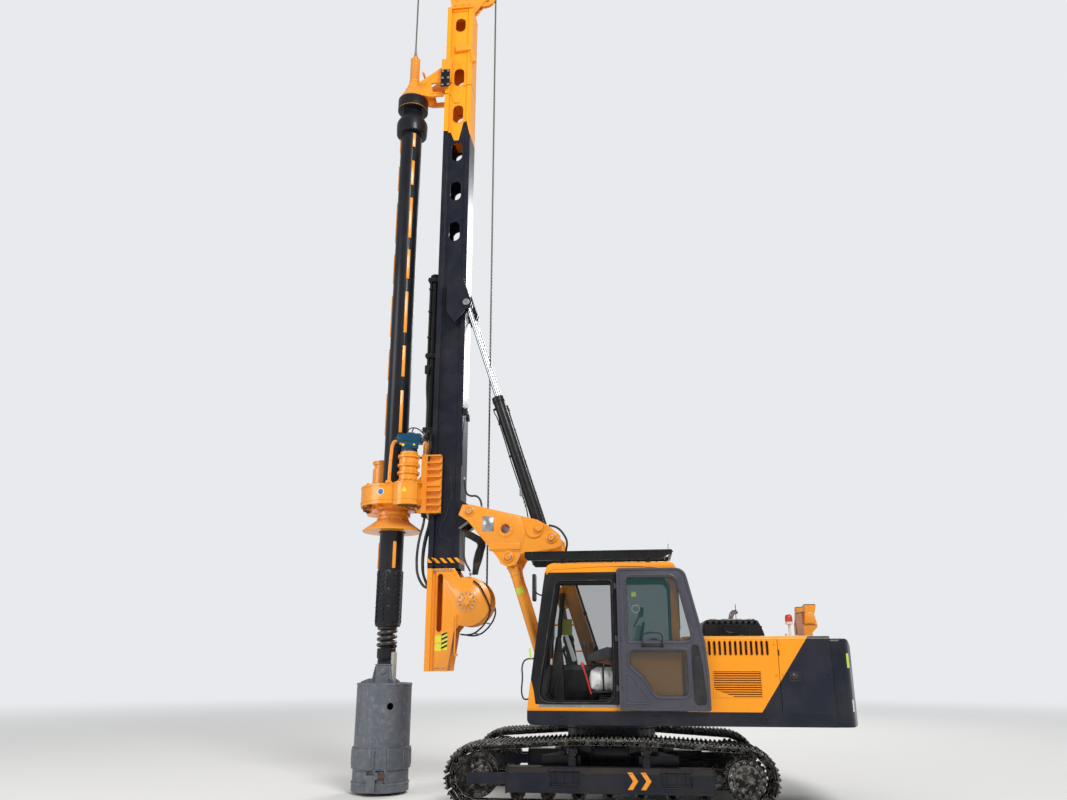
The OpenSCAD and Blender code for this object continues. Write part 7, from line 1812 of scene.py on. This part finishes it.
def make_kelly():
    x = KELLY_X
    # Turned outer tube with the flared skirt under the swivel, and the collars and stub below it
    tube = turned([(0.0, 2.252), (0.176, 2.252), (0.178, 2.256), (0.178, 10.600), (0.245, 10.606), (0.262, 10.620),
                   (0.268, 10.700), (0.270, 10.815), (0.262, 10.850), (0.200, 10.965), (0.168, 11.025), (0.168, 11.1065),
                   (0.0, 11.1065)], (x, 0, 0), steps=72)
    stub = [bar((x, 0, 1.935), (x, 0, 2.255), 0.088, 40),
            block((x - 0.100, -0.100, 1.472), (x + 0.100, 0.100, 1.770), 0.006)]
    finished("kelly_tube", [tube] + stub, "kelly", kelly_paint, stands_for=["kelly"])
    # Lower end: six flats with stacked drive plates and, between them, ladders of stop bars
    parts = [plate([(x + 0.197 * math.cos(math.radians(a)), 0.197 * math.sin(math.radians(a))) for a in range(-90, 270, 60)],
                   2.262, 3.050, "z", 0.006)]
    for a in (-60, 60, 180):
        for k in range(3):
            z = 2.300 + 0.250 * k
            panel = block((0.164, -0.088, z), (0.1755, 0.090, z + 0.236), 0.005)
            parts.append(turned_about(panel, a))
            for u, v in ((-0.070, 0.025), (-0.070, 0.211), (0.074, 0.025), (0.074, 0.211)):
                parts.append(turned_about(bar((0.174, u, z + v), (0.1805, u, z + v), 0.007, 6), a))
        parts.append(turned_about(bar((0.170, 0.052, 2.985), (0.1855, 0.052, 2.985), 0.018, 20, 0.003), a))
    for a in (-120, 0, 120):
        for k in range(10):
            z = 2.330 + 0.070 * k
            parts.append(turned_about(block((0.165, -0.058, z), (0.1870, 0.062, z + 0.026), 0.004), a))
        for u in (-0.078, 0.070):
            parts.append(turned_about(block((0.158, u, 2.290), (0.1800, u + 0.012, 3.045), 0.003), a))
    parts.append(turned([(0.100, 2.236), (0.176, 2.236), (0.181, 2.242), (0.181, 2.268), (0.170, 2.275), (0.100, 2.275)],
                        (x, 0, 0), steps=56))
    # Outer drive ribs over the tube's whole length
    for a in (-60, 60, 180):
        parts.append(turned_about(block((0.172, -0.017, 3.050), (0.1865, 0.017, 10.602), 0.003), a))
    # Collar under the spring and the stub's cross pin
    parts.append(turned([(0.070, 1.764), (0.110, 1.764), (0.134, 1.800), (0.1365, 1.830), (0.1365, 1.925), (0.128, 1.934),
                         (0.070, 1.934)], (x, 0, 0), steps=56))
    parts.append(bar((x - 0.150, 0, 1.610), (x + 0.150, 0, 1.610), 0.026, 24, 0.004))
    finished("kelly_details", parts, "kelly", kelly_paint)
    # Dark discs on the drive plates' holes and across the bore at the lower end: painted shade inside the holes
    holes = []
    for a in (-60, 60, 180):
        for z in (2.420, 2.680, 2.930):
            holes.append(turned_about(bar((0.175, 0.010, z), (0.1764, 0.010, z), 0.022, 24), a))
    holes.append(turned([(0.0, 2.245), (0.099, 2.245), (0.099, 2.238), (0.0, 2.238)], (x, 0, 0), steps=40))
    finished("kelly_holes", holes, "kelly", rubber)
    # Painted stop strips on the ribs
    strips = []
    for low, high in ((10.285, 10.560), (9.535, 10.007), (8.527, 9.286), (7.776, 8.306), (6.821, 7.544), (6.073, 6.599),
                      (5.154, 5.841), (3.075, 3.469)):
        for a in (-60, 60, 180):
            strips.append(turned_about(block((0.180, -0.0245, low), (0.1990, 0.0245, high), 0.003), a))
    finished("kelly_strips", strips, "kelly", paint_orange)
    # Buffer spring of round wire, its ends ground flat
    low, rise, turns = 1.935 + 0.0255, 0.266, 4.0
    coil = []
    for k in range(97):
        a = math.tau * turns * k / 96
        share = min(1.0, max(0.0, (k - 8) / 80))
        coil.append((x + 0.122 * math.cos(a), 0.122 * math.sin(a), low + rise * share))
    finished("buffer_spring", hose(coil, 0.0280, 14, steps=2), "kelly", spring_steel, stands_for=["kelly_spring"])


def make_guide():
    x = KELLY_X
    # Its own shape with the openings cut out of both arms
    arms = node_copy("kelly_guide")
    gap = softened([(x + 0.347, 11.572), (x + 0.612, 11.560), (x + 0.600, 11.340), (x + 0.400, 11.350)], 0.03)
    for low, high in ((-0.180, -0.120), (0.120, 0.180)):
        cut(arms, plate(gap, low, high, edge=0))
    finished("guide_arms", arms, "kelly_guide", paint_orange, stands_for=["kelly_guide"])
    # Black swivel ring under the orange cone, seals, rope socket on top
    parts = [turned([(0.0, 11.107), (0.258, 11.107), (0.2655, 11.1115), (0.2655, 11.116), (0.0, 11.116)], (x, 0, 0), steps=72),
             turned([(0.170, 11.112), (0.255, 11.112), (0.2655, 11.124), (0.2655, 11.318), (0.258, 11.331), (0.250, 11.332)],
                    (x, 0, 0), steps=72),
             bolt_circle((x, 0, 11.112), 0.225, 12, (0, 0, -1), 0.011)]
    parts.append(block((MAST_FRONT - 0.066, -0.322, 11.360), (MAST_FRONT + 0.095, -0.3095, 11.715), 0.006))
    parts.append(block((MAST_FRONT - 0.066, 0.3095, 11.360), (MAST_FRONT + 0.095, 0.322, 11.715), 0.006))
    finished("swivel_ring", parts, "kelly_guide", paint_black)
    finished("slide_box_screws", bolts([(MAST_FRONT + u, -0.3225, z) for u in (-0.035, 0.065) for z in (11.40, 11.54, 11.68)],
                                       0.014), "kelly_guide", pin_steel)
    parts = [turned([(0.150, 11.530), (0.1565, 11.534), (0.1565, 11.550), (0.146, 11.556)], (x, 0, 0), steps=56),
             turned([(0.086, 11.722), (0.0945, 11.728), (0.0945, 11.752), (0.086, 11.760)], (x, 0, 0), steps=48)]
    for z in (11.62, 11.80):
        parts.append(bar((x + 0.20, -0.174, z), (x + 0.20, 0.174, z), 0.020, 20))
    for side in (-1, 1):
        parts.append(weld_run((x + 0.14, side * 0.1715, 11.49), (MAST_FRONT - 0.11, side * 0.1715, 11.80), 0.005))
        parts.append(plate([(x + 0.34, 11.34), (x + 0.34, 11.37), (MAST_FRONT - 0.07, 11.37), (MAST_FRONT - 0.07, 11.34)],
                           side * 0.150 - 0.030, side * 0.150 + 0.030, edge=0.003))
    for z in (12.09, 12.18):
        parts.append(turned([(0.0, 0.0), (0.020, 0.0), (0.020, 0.006), (0.013, 0.008), (0.0, 0.008)], (x + 0.026, -0.081, z),
                            (0.3, -1, 0), 20))
    finished("guide_details", parts, "kelly_guide", paint_orange)
    parts = [bar((x, 0, 12.270), (x, 0, 12.320), 0.036, 24, 0.004),
             block((x - 0.026, -0.014, 12.315), (x + 0.020, 0.014, 12.400), 0.006),
             bar((x - 0.005, -0.030, 12.350), (x - 0.005, 0.030, 12.350), 0.012, 16),
             bar((x - 0.005, 0, 12.395), (x - 0.005, 0, 12.445), 0.022, 16, 0.004)]
    finished("rope_socket", parts, "kelly_guide", pin_steel)


def make_bucket():
    x, top = KELLY_X, 1.452
    # Rolled shell: weld seams, lid's rim, wear strips, latch with its rod, box with windows, tall locking bar
    parts = [turned([(0.389, 1.425), (0.3955, 1.429), (0.3955, 1.448), (0.390, 1.4545), (0.372, 1.4555)], (x, 0, 0), steps=96),
             weld_run((x + 0.391 * math.cos(-1.9), 0.391 * math.sin(-1.9), 0.61), (x + 0.391 * math.cos(-1.9),
                                                                                  0.391 * math.sin(-1.9), 1.42), 0.004)]
    for z in (0.330, 0.600):
        parts.append(turned([(0.389, 0.0), (0.400, -0.006 if z < 0.5 else 0.006), (0.389, -0.012 if z < 0.5 else 0.012)],
                            (x, 0, z), steps=96))
    for k in range(10):
        a = 36 * k + 12
        strip = block((0.404, -0.020, 0.365), (0.4205, 0.020, 0.565), 0.006)
        parts.append(turned_about(strip, a))
    bar_up = [turned_about(block((0.126, -0.040, top), (0.186, 0.040, 1.880), 0.016, 3), -28),
              turned_about(block((0.104, -0.030, 1.560), (0.130, 0.030, 1.640), 0.006), -28)]
    finished("locking_bar", bar_up, "kelly", grey_plastic)
    for a in (-140, 130, 20):
        parts.append(turned_about(block((0.104, -0.045, top + 0.170), (0.118, 0.045, top + 0.262), 0.004), a))
    parts.append(block((x - 0.124, -0.124, top + 0.246), (x + 0.124, 0.124, top + 0.262), 0.004))
    parts.append(block((x - 0.124, -0.124, top - 0.001), (x + 0.124, 0.124, top + 0.014), 0.004))
    for a in (0, 90, 180, 270):
        parts.append(turned_about(bar((0.108, 0, top + 0.160), (0.124, 0, top + 0.160), 0.040, 28, 0.003), a))
    # Opening lever on the lid, and the rod down to the floor's latch
    parts.append(turned_about(hose([(0.300, 0.12, top + 0.002), (0.300, 0.12, top + 0.030), (0.285, 0.06, top + 0.040),
                                    (0.285, -0.08, top + 0.040)], 0.013, 10), 125))
    parts.append(turned_about(bar((0.4050, 0, 0.20), (0.4050, 0, 1.36), 0.013, 14), 125))
    for z in (0.30, 0.70, 1.10, 1.34):
        parts.append(turned_about(block((0.384, -0.028, z - 0.020), (0.4235, 0.028, z + 0.020), 0.005), 125))
    for a in (-165, -20):
        parts.append(turned_about(weld_run((0.109, 0.016, top + 0.004), (0.34, 0.016, top + 0.004), 0.005), a - 5))
    # Hinge of the floor in front: three ribs over the band, two lugs
    for u in (-0.110, -0.010, 0.090):
        parts.append(turned_about(block((0.404, u, 0.345), (0.4300, u + 0.022, 0.590), 0.006), -75))
    for u in (-0.085, 0.062):
        lug = plate([(0.396, 0.345), (0.396, 0.180), (0.418, 0.166), (0.4300, 0.190), (0.4300, 0.345)], u, u + 0.026, edge=0.004)
        parts.append(turned_about(lug, -75))
    finished("bucket_details", parts, "kelly", tool_steel)
    hinge_soil = soil_lump([(x + 0.05 + 0.045 * k, -0.405 + 0.02 * abs(k - 1.5), 0.250 + 0.012 * (k % 2)) for k in range(4)], 0.020,
                           "hinge_clods")
    finished("hinge_soil", hinge_soil, "kelly", soil_cake)
    # Floor: cutting teeth with carbide tips, holders welded beside the openings, pilot bit, ring of screws
    parts, tips = [], []
    for turn in (0, 180):
        for i in range(5):
            u = 0.090 + 0.060 * i
            holder = plate([(u - 0.024, 0.080), (u - 0.024, 0.036), (u - 0.010, 0.014), (u + 0.012, 0.014), (u + 0.024, 0.036),
                            (u + 0.024, 0.080)], -0.034, 0.024, edge=0.004)
            holder.data.transform(Matrix.Translation((KELLY_X, 0, 0)) @ Matrix.Rotation(math.radians(turn), 4, "Z"))
            parts.append(holder)
            tip = plate([(u - 0.010, 0.022), (u - 0.006, 0.001), (u + 0.008, 0.001), (u + 0.012, 0.022)], -0.036, -0.018, edge=0.002)
            tip.data.transform(Matrix.Translation((KELLY_X, 0, 0)) @ Matrix.Rotation(math.radians(turn), 4, "Z"))
            tips.append(tip)
    parts.append(bar((x, 0, 0.060), (x, 0, 0.004), 0.034, 4, 0.003, r2=0.010))
    parts.append(turned([(0.402, 0.0), (0.4065, 0.004), (0.4065, 0.020), (0.402, 0.024)], (x, 0, 0.136), steps=96))
    parts.append(bolt_circle((x, 0, 0.160), 0.368, 8, (0, 0, 1), 0.011))
    finished("floor_details", parts, "bucket_door", tool_steel)
    finished("carbide_tips", tips, "bucket_door", pin_steel)


# Floor and surroundings

def lay_floor():
    """A pale studio floor that reaches the horizon, fades into the backdrop and keeps the rig's shadow."""
    bpy.ops.mesh.primitive_plane_add(size=400, location=(0, 0, 0))
    floor = bpy.context.object
    floor.name = "floor"
    finish, tree, shader, where = start("studio_floor")
    shader["Base Color"].default_value = linear("#E9E8E5")
    shader["Roughness"].default_value = 0.95
    shader["Specular IOR Level"].default_value = 0.0
    # Far away the floor turns into the backdrop, so that no hard horizon shows
    far = add(tree, "VectorMath", {0: where}, "Value", operation="LENGTH")
    fade = add(tree, "MapRange", {"Value": far, "From Min": 9.0, "From Max": 34.0}, interpolation_type="SMOOTHSTEP")
    glow = add(tree, "Emission", {"Color": BACKDROP, "Strength": 1.0})
    lit = tree.nodes["Principled BSDF"].outputs[0]
    tree.links.new(add(tree, "MixShader", {0: fade, 1: lit, 2: glow}), tree.nodes["Material Output"].inputs["Surface"])
    floor.data.materials.append(finish)


def hang_backdrop():
    """The pale surroundings: seen, and through glass, at full level, and lighting the rig more softly."""
    world = bpy.data.worlds.new("studio")
    bpy.context.scene.world = world
    world.use_nodes = True
    tree = world.node_tree
    seen = add(tree, "LightPath", output="Is Camera Ray")
    seen = add(tree, "Math", {0: seen, 1: add(tree, "LightPath", output="Is Transmission Ray")}, operation="MAXIMUM")
    shade = tree.nodes["Background"]
    shade.inputs["Color"].default_value = linear(BACKDROP)
    tree.links.new(add(tree, "MapRange", {"Value": seen, "To Min": 0.50, "To Max": 1.0}), shade.inputs["Strength"])


BACKDROP = "#E8EAED"
lay_floor()
hang_backdrop()
make_tracks()
make_frame_details()
make_cab()
make_cab_inside()
make_mirrors_and_rails()
make_hood()
make_engine_cover()
make_tail()
make_right_side()
make_linkage()
make_cylinders()
make_mast()
make_mast_foot()
make_hoses()
make_crowd()
make_mast_head()
make_slide()
make_gearbox()
make_sleeve()
make_kelly()
make_guide()
make_bucket()
bpy.context.scene.view_settings.view_transform = "Standard"
